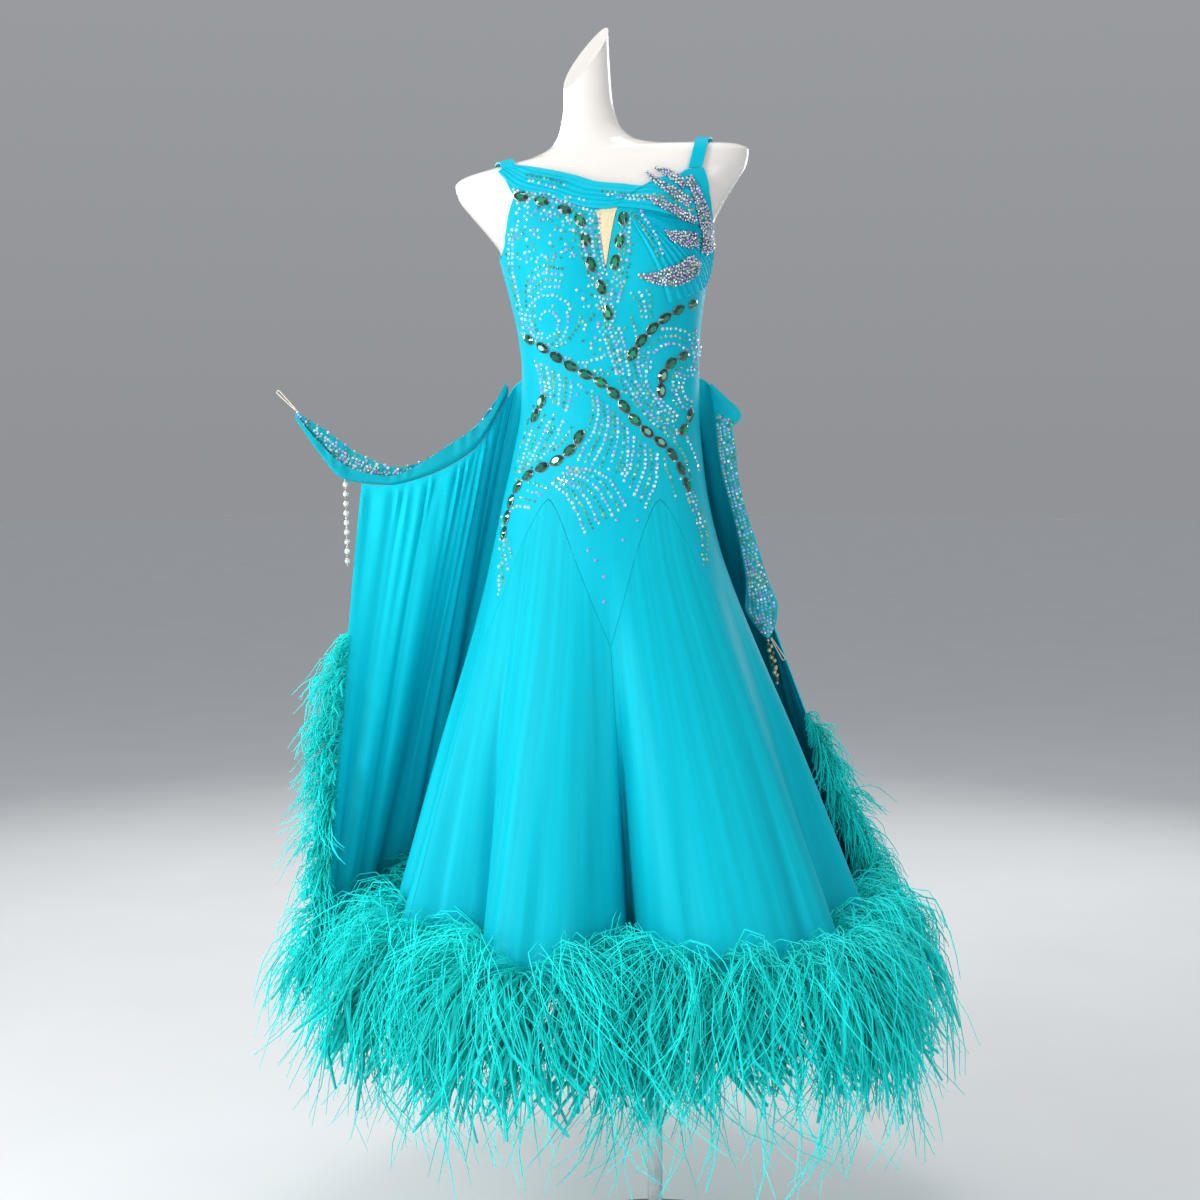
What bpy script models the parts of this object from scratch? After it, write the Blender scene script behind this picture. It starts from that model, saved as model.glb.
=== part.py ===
"""A turquoise ballroom gown with two floats, on a limbless dress form and its stand.

Metres, +Z up. The origin is the centre of the base plate's underside. The gown's front faces -Y, and
left and right are those of someone who looks at the front: right is +X. Angles round the body are in
degrees from the front, positive towards +X.

The body and skirt are one surface, made of the sections below. Every piece that lies on it is made
from its points, moved out along its normal. The torso is first drawn upright and then posed: its
shoulder line tilts, as the form's does. The two floats are curtains that hang from a line at the waist
behind, and the feather trims are narrow strips that carry separate locks.
"""

import math
import random
from collections import namedtuple

import bmesh
import bpy
import numpy as np
from mathutils import Vector
from mathutils.bvhtree import BVHTree

# ---- driving sizes -------------------------------------------------------------------------------

CLOTH = 0.002  # thickness of every cloth wall
SEAM = 0.0003  # gap between two pieces that are sewn together
LAYER = 0.0012  # gap between a panel and what lies on it
FORM_INSET = 0.0060  # the form's skin, under the gown's outer face

HEM_HEIGHT = 0.545
WAIST_HEIGHT = 1.452
GODET_COUNT = 6
GODET_APEX_HEIGHT = 1.258
GODET_FOOT_HEIGHT = 1.035
GODET_SEAM_CURVE = 1.5
FOLD_START_HEIGHT = 1.17
FOLD_GROWTH = 1.35
SHOULDER_TILT = 0.125
TILT_FROM, TILT_TO = 1.46, 1.72
SQUARENESS = 0.07

BUST_HEIGHT, BUST_OUT = 1.605, 0.020
BUST_SPREAD, BUST_HALF_GAP = 0.046, 0.074

FORM_FOOT_HEIGHT = 1.165
POLE_RADIUS = 0.0125
BASE_RADIUS, BASE_THICKNESS, BASE_EDGE = 0.19, 0.014, 0.004
COLLAR_RADIUS, COLLAR_TOP = 0.022, 0.060

# ---- the body and skirt, by height -----------------------------------------------------------------

Section = namedtuple("Section", "height centre_x half_width front_depth back_depth")
SECTIONS = [
    Section(0.450, -0.026, 0.412, 0.396, 0.430),
    Section(0.545, -0.035, 0.385, 0.370, 0.400),
    Section(0.700, -0.045, 0.338, 0.322, 0.345),
    Section(0.870, -0.056, 0.284, 0.262, 0.285),
    Section(1.030, -0.067, 0.228, 0.200, 0.225),
    Section(1.120, -0.074, 0.199, 0.162, 0.187),
    Section(1.180, -0.078, 0.182, 0.140, 0.163),
    Section(1.250, -0.079, 0.166, 0.123, 0.145),
    Section(1.320, -0.076, 0.153, 0.112, 0.128),
    Section(1.400, -0.072, 0.143, 0.103, 0.106),
    Section(1.460, -0.071, 0.142, 0.099, 0.097),
    Section(1.520, -0.073, 0.146, 0.104, 0.098),
    Section(1.580, -0.075, 0.156, 0.113, 0.104),
    Section(1.620, -0.076, 0.164, 0.116, 0.107),
    Section(1.665, -0.078, 0.174, 0.112, 0.108),
    Section(1.700, -0.080, 0.194, 0.103, 0.106),
    Section(1.735, -0.082, 0.219, 0.091, 0.098),
    Section(1.760, -0.083, 0.235, 0.083, 0.089),
    Section(1.777, -0.084, 0.238, 0.076, 0.081),
    Section(1.788, -0.086, 0.224, 0.070, 0.076),
    Section(1.796, -0.089, 0.180, 0.066, 0.072),
    Section(1.803, -0.094, 0.114, 0.062, 0.068),
    Section(1.817, -0.100, 0.071, 0.057, 0.062),
    Section(1.842, -0.104, 0.053, 0.051, 0.056),
    Section(1.880, -0.106, 0.045, 0.047, 0.052),
    Section(1.950, -0.108, 0.042, 0.044, 0.049),
    Section(2.030, -0.109, 0.040, 0.042, 0.046),
]

# Each crest and trough of the skirt at the hem, and how far it stands out from the mean section.
Fold = namedtuple("Fold", "angle out")
SKIRT_FOLDS = [
    Fold(-180, 0.026),
    Fold(-165, -0.036),
    Fold(-150, 0.030),
    Fold(-134, -0.040),
    Fold(-119, 0.026),
    Fold(-104, -0.036),
    Fold(-90, 0.018),
    Fold(-77, -0.038),
    Fold(-62, 0.028),
    Fold(-45, -0.062),
    Fold(-27, 0.034),
    Fold(-14, 0.008),
    Fold(0, -0.104),
    Fold(12, 0.006),
    Fold(31, 0.040),
    Fold(50, 0.030),
    Fold(66, -0.050),
    Fold(79, 0.014),
    Fold(92, -0.036),
    Fold(106, 0.022),
    Fold(120, -0.036),
    Fold(136, 0.028),
    Fold(150, -0.034),
    Fold(165, 0.020),
    Fold(180, 0.026),
]

# ---- curves through a table ------------------------------------------------------------------------


def column(table, name):
    return [getattr(row, name) for row in table]


def spaced(low, high, count):
    return [low + (high - low) * i / (count - 1) for i in range(count)]


def curve_through(places, values):
    """A smooth function through values at places, by cubic pieces that never overshoot."""
    steps = [b - a for a, b in zip(places, places[1:])]
    rises = [(b - a) / step for a, b, step in zip(values, values[1:], steps)]
    slopes = [rises[0]]
    for before, after in zip(rises, rises[1:]):
        slopes.append(0.0 if before * after <= 0 else 2 * before * after / (before + after))
    slopes.append(rises[-1])

    def value(place):
        place = min(max(place, places[0]), places[-1])
        span = next(i for i in range(len(steps)) if place <= places[i + 1])
        share = (place - places[span]) / steps[span]
        low, high = values[span], values[span + 1]
        low_slope, high_slope = slopes[span] * steps[span], slopes[span + 1] * steps[span]
        return (
            low * (1 + 2 * share) * (1 - share) ** 2
            + low_slope * share * (1 - share) ** 2
            + high * (3 - 2 * share) * share**2
            - high_slope * (1 - share) * share**2
        )

    return value


def straight_through(places, values):
    """The same by straight pieces, for an edge that has corners."""

    def value(place):
        place = min(max(place, places[0]), places[-1])
        span = next(i for i in range(len(places) - 1) if place <= places[i + 1])
        share = (place - places[span]) / (places[span + 1] - places[span])
        return values[span] + share * (values[span + 1] - values[span])

    return value


def smooth_rows(table, count):
    """A table with as many rows as asked for, on smooth curves through the rows of a short one."""
    curves = [curve_through(range(len(table)), column(table, name)) for name in table[0]._fields]
    row = type(table[0])
    return [row(*(curve(place) for curve in curves)) for place in spaced(0, len(table) - 1, count)]


def smooth_step(low, high, value):
    share = min(max((value - low) / (high - low), 0.0), 1.0)
    return share * share * (3 - 2 * share)


def by_height(name):
    return curve_through(column(SECTIONS, "height"), column(SECTIONS, name))


section_centre = by_height("centre_x")
section_width = by_height("half_width")
section_front = by_height("front_depth")
section_back = by_height("back_depth")
fold_out = curve_through(column(SKIRT_FOLDS, "angle"), column(SKIRT_FOLDS, "out"))

# ---- the surface -----------------------------------------------------------------------------------


def wrapped(angle):
    return (angle + 180) % 360 - 180


def fold_share(height):
    """How far the folds have grown: none at the hip, all at the hem."""
    share = (FOLD_START_HEIGHT - height) / (FOLD_START_HEIGHT - HEM_HEIGHT)
    return max(share, 0.0) ** FOLD_GROWTH


def upright(angle, height):
    """The gown's outer face before the pose."""
    turn = math.radians(angle)
    across, along = math.sin(turn), math.cos(turn)
    out = fold_out(wrapped(angle)) * fold_share(height)
    depth = section_front(height) if along > 0 else section_back(height)
    x = (section_width(height) + out) * across * (1 + SQUARENESS * along**2)
    y = -(depth + out) * along * (1 + SQUARENESS * across**2)
    if along > 0:
        for side in (-1, 1):
            off = math.hypot(x - side * BUST_HALF_GAP, height - BUST_HEIGHT)
            y -= BUST_OUT * math.exp(-(off**2) / (2 * BUST_SPREAD**2))
    return Vector((section_centre(height) + x, y, height))


def tilt_at(aside, height):
    return SHOULDER_TILT * aside * smooth_step(TILT_FROM, TILT_TO, height)


def posed(point):
    """Tilts the shoulder line, from the waist up."""
    point = Vector(point)
    point.z += tilt_at(point.x - section_centre(point.z), point.z)
    return point


def lifted(angle, height, lift, pose):
    """A point lift metres off the surface along its normal, posed or upright."""
    turn, rise = 0.5, 0.001
    across = pose(upright(angle + turn, height)) - pose(upright(angle - turn, height))
    along = pose(upright(angle, height + rise)) - pose(upright(angle, height - rise))
    return pose(upright(angle, height)) + lift * across.cross(along).normalized()


def cloth_point(angle, height, lift=0.0):
    return lifted(angle, height, lift, posed)


def seen_place(x, z):
    """Angle and height of the point of the gown's front that is seen at x, z by someone who faces it."""
    height = z
    for _ in range(8):
        height = z - tilt_at(x - section_centre(height), height)
    aside, half = x - section_centre(height), section_width(height)
    low, high = -90.0, 90.0
    for _ in range(30):
        angle = (low + high) / 2
        turn = math.radians(angle)
        reach = half * math.sin(turn) * (1 + SQUARENESS * math.cos(turn) ** 2)
        low, high = (angle, high) if reach < aside else (low, angle)
    return angle, height


GROUND_REACH = 0.015


def laid_point(ground, angle, height, lift):
    """A point lift metres off the pieces underneath, or off the bare surface where there is none."""
    face = cloth_point(angle, height)
    normal = (cloth_point(angle, height, 0.001) - face).normalized()
    hit = ground.ray_cast(face + GROUND_REACH * normal, -normal, 2 * GROUND_REACH)[0]
    return (hit or face) + lift * normal


# ---- meshes ----------------------------------------------------------------------------------------

MATERIALS = {}
Finish = namedtuple("Finish", "red green blue roughness metallic")
FINISHES = {
    "lycra": Finish(0.010, 0.540, 0.760, 0.45, 0.0),
    "chiffon": Finish(0.010, 0.500, 0.660, 0.55, 0.0),
    "feather": Finish(0.015, 0.520, 0.470, 0.80, 0.0),
    "nude_mesh": Finish(0.800, 0.640, 0.380, 0.60, 0.0),
    "crystal": Finish(0.620, 0.780, 0.820, 0.15, 0.0),
    "emerald": Finish(0.005, 0.090, 0.070, 0.12, 0.0),
    "pearl": Finish(0.850, 0.860, 0.840, 0.25, 0.0),
    "elastic": Finish(0.820, 0.740, 0.600, 0.70, 0.0),
    "form_skin": Finish(0.860, 0.840, 0.780, 0.25, 0.0),
    "chrome": Finish(0.700, 0.710, 0.720, 0.20, 1.0),
}


def material(name):
    if name not in MATERIALS:
        finish = FINISHES[name]
        made = bpy.data.materials.new(name)
        made.use_nodes = True
        shader = made.node_tree.nodes["Principled BSDF"]
        colour = (finish.red, finish.green, finish.blue, 1.0)
        shader.inputs["Base Color"].default_value = colour
        shader.inputs["Roughness"].default_value = finish.roughness
        shader.inputs["Metallic"].default_value = finish.metallic
        made.diffuse_color = colour
        MATERIALS[name] = made
    return MATERIALS[name]


def add_object(name, points, faces, finish, sharp_degrees=40):
    mesh = bpy.data.meshes.new(name)
    mesh.from_pydata([tuple(p) for p in points], [], faces)
    mesh.validate()
    mesh.materials.append(material(finish))
    mesh.shade_smooth()
    mesh.set_sharp_from_angle(angle=math.radians(sharp_degrees))
    made = bpy.data.objects.new(name, mesh)
    bpy.context.scene.collection.objects.link(made)
    return made


def wall_faces(rows, columns):
    """Faces of a wall whose outer points come first, row by row, and whose inner points follow.

    Seen from outside, columns run to the right and rows run down."""
    inner = rows * columns

    def at(row, place):
        return row * columns + place

    faces = []
    for row in range(rows - 1):
        for place in range(columns - 1):
            a, b = at(row, place), at(row, place + 1)
            c, d = at(row + 1, place + 1), at(row + 1, place)
            faces.append((a, d, c, b))
            faces.append((inner + a, inner + b, inner + c, inner + d))
    for place in range(columns - 1):
        a, b = at(0, place), at(0, place + 1)
        faces.append((a, b, inner + b, inner + a))
        c, d = at(rows - 1, place + 1), at(rows - 1, place)
        faces.append((c, d, inner + d, inner + c))
    for row in range(rows - 1):
        a, d = at(row, 0), at(row + 1, 0)
        faces.append((d, a, inner + a, inner + d))
        b, c = at(row, columns - 1), at(row + 1, columns - 1)
        faces.append((b, c, inner + c, inner + b))
    return faces


def add_wall(name, outer, inner, finish):
    """A cloth wall from two grids of points, each a list of rows."""
    points = [p for row in outer for p in row] + [p for row in inner for p in row]
    return add_object(name, points, wall_faces(len(outer), len(outer[0])), finish)


def grid_normals(grid):
    """The outward normal at each point of a grid whose rows run down and whose columns run right."""
    last_row, last_place = len(grid) - 1, len(grid[0]) - 1
    normals = []
    for r, row in enumerate(grid):
        line = []
        for c in range(len(row)):
            across = row[min(c + 1, last_place)] - row[max(c - 1, 0)]
            down = grid[min(r + 1, last_row)][c] - grid[max(r - 1, 0)][c]
            line.append(down.cross(across).normalized())
        normals.append(line)
    return normals


def tree_of(pieces):
    """One search tree for the faces of several pieces."""
    points, faces = [], []
    for made in pieces:
        base = len(points)
        points += [vertex.co.copy() for vertex in made.data.vertices]
        made.data.calc_loop_triangles()
        faces += [tuple(base + v for v in face.vertices) for face in made.data.loop_triangles]
    return BVHTree.FromPolygons(points, faces)


CELL_SHARES = (0.0, 0.33, 0.67, 1.0)
RAISE_PASSES = 8
RAISE_MARGIN = 0.0002
FINE_PASSES = 30


def blend(corners, u, v):
    """A point inside the four corners a, b (along u) and c, d (the same, further along v)."""
    a, b, c, d = corners
    return a.lerp(b, u).lerp(c.lerp(d, u), v)


def raise_clear(ground, outer, inner, rows=None):
    """Lifts a wall's grids in place, where they would cut the pieces underneath."""
    for _ in range(RAISE_PASSES):
        ups = [[(o - i).normalized() for o, i in zip(*pair)] for pair in zip(outer, inner)]
        needs = [[0.0] * len(line) for line in inner]
        for r in range(rows or len(inner) - 1):
            for c in range(len(inner[0]) - 1):
                spots = ((r, c), (r, c + 1), (r + 1, c), (r + 1, c + 1))
                corners = [inner[a][b] for a, b in spots]
                normals = [ups[a][b] for a, b in spots]
                worst = 0.0
                for u in CELL_SHARES:
                    for v in CELL_SHARES:
                        place, up = blend(corners, u, v), blend(normals, u, v).normalized()
                        hit = ground.ray_cast(place + GROUND_REACH * up, -up, 2 * GROUND_REACH)[0]
                        if hit:
                            worst = max(worst, SEAM - (place - hit).dot(up))
                for a, b in spots:
                    needs[a][b] = max(needs[a][b], worst)
        if not any(need for line in needs for need in line):
            break
        shift_points(outer, inner, needs)
    for _ in range(FINE_PASSES):
        cells, owners, points = [], [], [p for line in inner for p in line]
        wide = len(inner[0])
        for r in range(rows or len(inner) - 1):
            for c in range(wide - 1):
                a = r * wide + c
                b, d, e = a + 1, a + wide, a + wide + 1
                cells += [(a, b, e), (a, e, d), (a, b, d), (b, e, d)]
                owners += [(r, c)] * 4
        cut = BVHTree.FromPolygons(points, cells).overlap(ground)
        if not cut:
            return
        needs = [[0.0] * wide for _ in inner]
        for cell, _ in cut:
            r, c = owners[cell]
            for a, b in ((r, c), (r, c + 1), (r + 1, c), (r + 1, c + 1)):
                needs[a][b] = RAISE_MARGIN
        shift_points(outer, inner, needs)


def shift_points(outer, inner, needs):
    for r, line in enumerate(needs):
        for c, need in enumerate(line):
            if need:
                shift = (need + RAISE_MARGIN) * (outer[r][c] - inner[r][c]).normalized()
                outer[r][c] = outer[r][c] + shift
                inner[r][c] = inner[r][c] + shift


def behind(grid, distance):
    """The grid moved in, along its normals."""
    return [
        [point - distance * normal for point, normal in zip(row, line)]
        for row, line in zip(grid, grid_normals(grid))
    ]


# ---- stand and form --------------------------------------------------------------------------------

RING_SIDES = 26
# A flat cut through the form where a limb or the head would be; it reaches no lower than above.
Cut = namedtuple("Cut", "side_x height normal above")
CUTS = [
    Cut(-0.230, 1.745, (-0.90, -0.14, -0.42), 1.60),
    Cut(0.240, 1.750, (0.88, -0.14, -0.43), 1.60),
    Cut(0.000, 1.952, (-0.66, -0.42, 0.62), 1.85),
]
FORM_HEIGHTS = (
    [1.180, 1.220, 1.270, 1.330, 1.390, 1.450, 1.505, 1.545, 1.575, 1.605, 1.635, 1.668]
    + [1.698, 1.725, 1.748, 1.765, 1.778, 1.788, 1.794, 1.799, 1.806, 1.818, 1.840, 1.880]
    + [1.950, 2.030]
)
FOOT_NARROWING = 0.86


def form_ring(height, shrink=1.0):
    ring = []
    for i in range(RING_SIDES):
        point = lifted(-360 * i / RING_SIDES, height, -FORM_INSET, Vector)
        point.z = height
        centre = Vector((section_centre(height), 0, height))
        ring.append(centre + (point - centre) * shrink)
    return ring


def add_form():
    """The form as one closed skin: hips, torso, shoulder caps cut flat, and a slanting neck cut."""
    foot = [p + Vector((0, 0, FORM_FOOT_HEIGHT - p.z)) for p in form_ring(1.180, FOOT_NARROWING)]
    rings = [foot] + [form_ring(height) for height in FORM_HEIGHTS]
    shape = bmesh.new()
    made = [[shape.verts.new(p) for p in ring] for ring in rings]
    for low, high in zip(made, made[1:]):
        for i in range(RING_SIDES):
            j = (i + 1) % RING_SIDES
            shape.faces.new((low[i], high[i], high[j], low[j]))
    shape.faces.new(made[0])
    shape.faces.new(list(reversed(made[-1])))
    bmesh.ops.recalc_face_normals(shape, faces=shape.faces)
    for cut in CUTS:
        verts = [vert for vert in shape.verts if vert.co.z > cut.above]
        edges = [edge for edge in shape.edges if all(v.co.z > cut.above for v in edge.verts)]
        faces = [face for face in shape.faces if all(v.co.z > cut.above for v in face.verts)]
        cut_off = bmesh.ops.bisect_plane(
            shape,
            geom=verts + edges + faces,
            plane_co=(section_centre(cut.height) + cut.side_x, 0, cut.height),
            plane_no=Vector(cut.normal).normalized(),
            clear_outer=True,
        )
        rim = [edge for edge in cut_off["geom_cut"] if isinstance(edge, bmesh.types.BMEdge)]
        bmesh.ops.contextual_create(shape, geom=rim)
    bmesh.ops.remove_doubles(shape, verts=shape.verts, dist=0.0015)
    bmesh.ops.recalc_face_normals(shape, faces=shape.faces)
    bmesh.ops.triangulate(shape, faces=[face for face in shape.faces if len(face.verts) > 4])
    upright_skin = BVHTree.FromBMesh(shape)
    for vertex in shape.verts:
        vertex.co = posed(vertex.co)
    mesh = bpy.data.meshes.new("dress_form")
    shape.to_mesh(mesh)
    shape.free()
    mesh.materials.append(material("form_skin"))
    mesh.shade_smooth()
    mesh.set_sharp_from_angle(angle=math.radians(35))
    form = bpy.data.objects.new("dress_form", mesh)
    bpy.context.scene.collection.objects.link(form)
    return upright_skin


def add_turned(name, profile, sides, finish, centre=(0, 0)):
    """A solid turned about an upright axis, from (radius, height) points that run down its side."""
    points = [Vector((centre[0], centre[1], profile[0][1]))]
    for radius, height in profile:
        for i in range(sides):
            turn = 2 * math.pi * i / sides
            across, along = radius * math.cos(turn), radius * math.sin(turn)
            points.append(Vector((centre[0] + across, centre[1] + along, height)))
    points.append(Vector((centre[0], centre[1], profile[-1][1])))
    faces, last = [], len(points) - 1
    foot = 1 + (len(profile) - 1) * sides
    for i in range(sides):
        j = (i + 1) % sides
        faces.append((0, 1 + i, 1 + j))
        for ring in range(len(profile) - 1):
            top, low = 1 + ring * sides, 1 + (ring + 1) * sides
            faces.append((top + i, low + i, low + j, top + j))
        faces.append((last, foot + j, foot + i))
    return add_object(name, points, faces, finish)


def add_stand():
    """A round base plate with its collar, and the pole that the form is carried on."""
    add_turned(
        "stand_base",
        [
            (COLLAR_RADIUS - BASE_EDGE / 2, COLLAR_TOP),
            (COLLAR_RADIUS, COLLAR_TOP - BASE_EDGE / 2),
            (COLLAR_RADIUS, BASE_THICKNESS),
            (BASE_RADIUS - BASE_EDGE, BASE_THICKNESS),
            (BASE_RADIUS, BASE_THICKNESS - BASE_EDGE),
            (BASE_RADIUS, 0.0),
        ],
        28,
        "chrome",
    )
    add_turned(
        "stand_pole",
        [(POLE_RADIUS, FORM_FOOT_HEIGHT - SEAM), (POLE_RADIUS, COLLAR_TOP + SEAM)],
        12,
        "chrome",
    )


# ---- bodice, godets and keyhole --------------------------------------------------------------------

Edge = namedtuple("Edge", "angle height")
FRONT_TOP_EDGE = [
    Edge(-90, 1.650),
    Edge(-74, 1.652),
    Edge(-62, 1.669),
    Edge(-50, 1.697),
    Edge(-42, 1.721),
    Edge(-36, 1.741),
    Edge(-29, 1.748),
    Edge(-21, 1.739),
    Edge(-14, 1.721),
    Edge(-8, 1.711),
    Edge(-3.2, 1.7075),
    Edge(0.0, 1.603),
    Edge(6.4, 1.7045),
    Edge(15, 1.712),
    Edge(24, 1.730),
    Edge(33, 1.752),
    Edge(41, 1.752),
    Edge(46, 1.736),
    Edge(53, 1.712),
    Edge(62, 1.690),
    Edge(74, 1.670),
    Edge(90, 1.657),
]
KEYHOLE = FRONT_TOP_EDGE[10:13]
BACK_TOP_EDGE = [
    Edge(90, 1.657),
    Edge(104, 1.670),
    Edge(118, 1.700),
    Edge(130, 1.735),
    Edge(138, 1.735),
    Edge(150, 1.690),
    Edge(166, 1.640),
    Edge(180, 1.620),
    Edge(194, 1.640),
    Edge(210, 1.690),
    Edge(220, 1.735),
    Edge(228, 1.735),
    Edge(242, 1.700),
    Edge(256, 1.668),
    Edge(270, 1.650),
]


def edge_line(edge):
    return straight_through(column(edge, "angle"), column(edge, "height"))


front_top = edge_line(FRONT_TOP_EDGE)
back_top = edge_line(BACK_TOP_EDGE)
GODET_ANGLE = 360 / GODET_COUNT
GODET_COLUMNS = 9
GODET_ROWS = 8
FRONT_ROWS, BACK_ROWS = 18, 13
BODICE_ROW_EASE = 1.30  # above 1, rows lie closer together near the neckline
SEAM_DROP = 0.0006  # half the seam's gap, measured straight down
SEAM_TURN = 0.05  # half an upright seam's gap, in degrees


def godet_seam(angle):
    """Height of the seam between the bodice and the godets: each godet's apex points up."""
    aside = abs((angle % GODET_ANGLE) - GODET_ANGLE / 2) / (GODET_ANGLE / 2)
    return GODET_APEX_HEIGHT - (GODET_APEX_HEIGHT - GODET_FOOT_HEIGHT) * aside**GODET_SEAM_CURVE


def add_panel(name, angles, high_edge, low_edge, rows, ease, finish, ground=None):
    """A panel of the surface, cut between two edges."""
    outer, inner = [], []
    for share in spaced(0, 1, rows):
        heights = [high_edge(a) + share**ease * (low_edge(a) - high_edge(a)) for a in angles]
        outer.append([cloth_point(a, h) for a, h in zip(angles, heights)])
        inner.append([cloth_point(a, h, -CLOTH) for a, h in zip(angles, heights)])
    if ground:
        raise_clear(ground, outer, inner)
    return add_wall(name, outer, inner, finish), outer


def panel_angles(low, high, extra=()):
    """Columns at every column of the godets, moved onto the corners of an edge where it has some."""
    step = GODET_ANGLE / (GODET_COLUMNS - 1)
    angles = spaced(low, high, round((high - low) / step) + 1)
    on_seam = [a for a in angles if a % (GODET_ANGLE / 2) == 0]
    angles = [a for a in angles if a in on_seam or all(abs(a - e) > step * 0.6 for e in extra)]
    angles = sorted(set(angles) | set(extra))
    angles[0] += SEAM_TURN
    angles[-1] -= SEAM_TURN
    return angles


def bodice_foot(angle):
    return godet_seam(angle) + SEAM_DROP


def godet_top(angle):
    return godet_seam(angle) - SEAM_DROP


def add_bodice(form):
    """One front and two back halves, each from the neckline to the points between the godets."""
    left, foot, right = KEYHOLE
    notch = [left.angle, (left.angle + foot.angle) / 2, (foot.angle + right.angle) / 2, right.angle]
    front = panel_angles(-90, 90, notch)
    pieces = []
    for name, angles, top, rows in (
        ("bodice_front", front, front_top, FRONT_ROWS),
        ("bodice_back_right", panel_angles(90, 180), back_top, BACK_ROWS),
        ("bodice_back_left", panel_angles(180, 270), back_top, BACK_ROWS),
    ):
        pieces.append(
            add_panel(name, angles, top, bodice_foot, rows, BODICE_ROW_EASE, "lycra", form)[0]
        )
    return pieces


def add_keyhole(form):
    """The skin-coloured mesh that fills the notch in the bodice's front."""
    left, foot, right = KEYHOLE
    notch = edge_line(KEYHOLE)
    angles = [left.angle + 0.35, (left.angle + foot.angle) / 2, foot.angle + 0.1]
    angles += [(right.angle + foot.angle) / 2, right.angle - 0.35]

    def keyhole_top(angle):
        return min(left.height, right.height) - 0.001

    def keyhole_foot(angle):
        return min(notch(angle) + 0.007, keyhole_top(angle) - 0.003)

    add_panel("keyhole_mesh", angles, keyhole_top, keyhole_foot, 4, 1.0, "nude_mesh", form)


def add_godets():
    """The six godets. Their hem columns are given back: a point on the hem and the one above it."""
    hem = []
    names = ["front_right", "side_right", "back_right", "back_left", "side_left", "front_left"]
    for number, name in enumerate(names):
        angles = panel_angles(number * GODET_ANGLE, (number + 1) * GODET_ANGLE)
        _, grid = add_panel(
            "godet_" + name,
            angles,
            godet_top,
            lambda angle: HEM_HEIGHT,
            GODET_ROWS,
            1.0,
            "chiffon",
        )
        hem += list(zip(grid[-1], grid[-2]))[:-1]
    return hem


# ---- straps, scarf and pleated bust ----------------------------------------------------------------

Strap = namedtuple("Strap", "name angle height half_turn back_angle back_height swing")
STRAPS = [
    Strap("strap_left", -32.5, 1.7471, 3.4, 224.0, 1.735, -0.020),
    Strap("strap_right", 37.0, 1.7517, 3.4, 134.0, 1.735, 0.012),
]
STRAP_HUB_HEIGHT = 1.66
STRAP_STATIONS = 14
STRAP_GAP = 0.0009
STRAP_CROWN = 0.0012  # the strap stands a little further off over the shoulder


def add_strap(strap, skin):
    """A strap over the shoulder, laid on the form between the front's and the back's top edge."""
    grids = []
    for lift in (0.0, -CLOTH):
        grid = []
        for share in spaced(0, 1, STRAP_STATIONS):
            row = []
            for side in (-1, 0, 1):
                ends = [
                    lifted(strap.angle + side * strap.half_turn, strap.height, -FORM_INSET, Vector),
                    lifted(strap.back_angle - side * strap.half_turn, strap.back_height, -FORM_INSET, Vector),
                ]
                turns = [math.atan2(end.z - STRAP_HUB_HEIGHT, end.y) for end in ends]
                turns[0] -= STRAP_GAP / (ends[0].z - STRAP_HUB_HEIGHT)
                turns[1] += STRAP_GAP / (ends[1].z - STRAP_HUB_HEIGHT)
                turn = turns[0] + share * (turns[1] - turns[0])
                bow = math.sin(math.pi * share)
                across = ends[0].x + share * (ends[1].x - ends[0].x) + strap.swing * bow
                ray = Vector((0, math.cos(turn), math.sin(turn)))
                hub = Vector((across, 0, STRAP_HUB_HEIGHT))
                hit, normal, _, _ = skin.ray_cast(hub + 0.5 * ray, -ray)
                row.append(posed(hit + (FORM_INSET + lift + STRAP_CROWN * bow) * normal))
            grid.append(row)
        grids.append(list(reversed(grid)))
    return add_wall(strap.name, *grids, "lycra")


# The scarf's two edges as seen from the front, from the left shoulder to the right armhole.
Width = namedtuple("Width", "low_x low_z high_x high_z")
SCARF = [
    Width(-0.244, 1.765, -0.226, 1.776),
    Width(-0.236, 1.757, -0.205, 1.774),
    Width(-0.218, 1.746, -0.181, 1.770),
    Width(-0.198, 1.741, -0.156, 1.765),
    Width(-0.167, 1.735, -0.123, 1.757),
    Width(-0.134, 1.721, -0.086, 1.746),
    Width(-0.106, 1.712, -0.050, 1.743),
    Width(-0.078, 1.707, -0.021, 1.740),
    Width(-0.055, 1.706, -0.006, 1.748),
    Width(-0.008, 1.701, 0.012, 1.755),
    Width(0.034, 1.692, 0.034, 1.760),
    Width(0.066, 1.683, 0.053, 1.748),
]
SCARF_PLEATS = 3
SCARF_STATIONS = 21
SCARF_RIDGE = 0.0016

KNOT = Edge(9.5, 1.698)
FAN_START = 0.20
FAN_FAR_EDGE = [
    Edge(80, 1.643),
    Edge(86, 1.624),
    Edge(86, 1.600),
    Edge(78, 1.585),
    Edge(66, 1.576),
    Edge(52, 1.568),
    Edge(36.5, 1.558),
]
FAN_PLEATS = 10
FAN_STATIONS = 7
FAN_RIDGE = 0.0015


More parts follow.
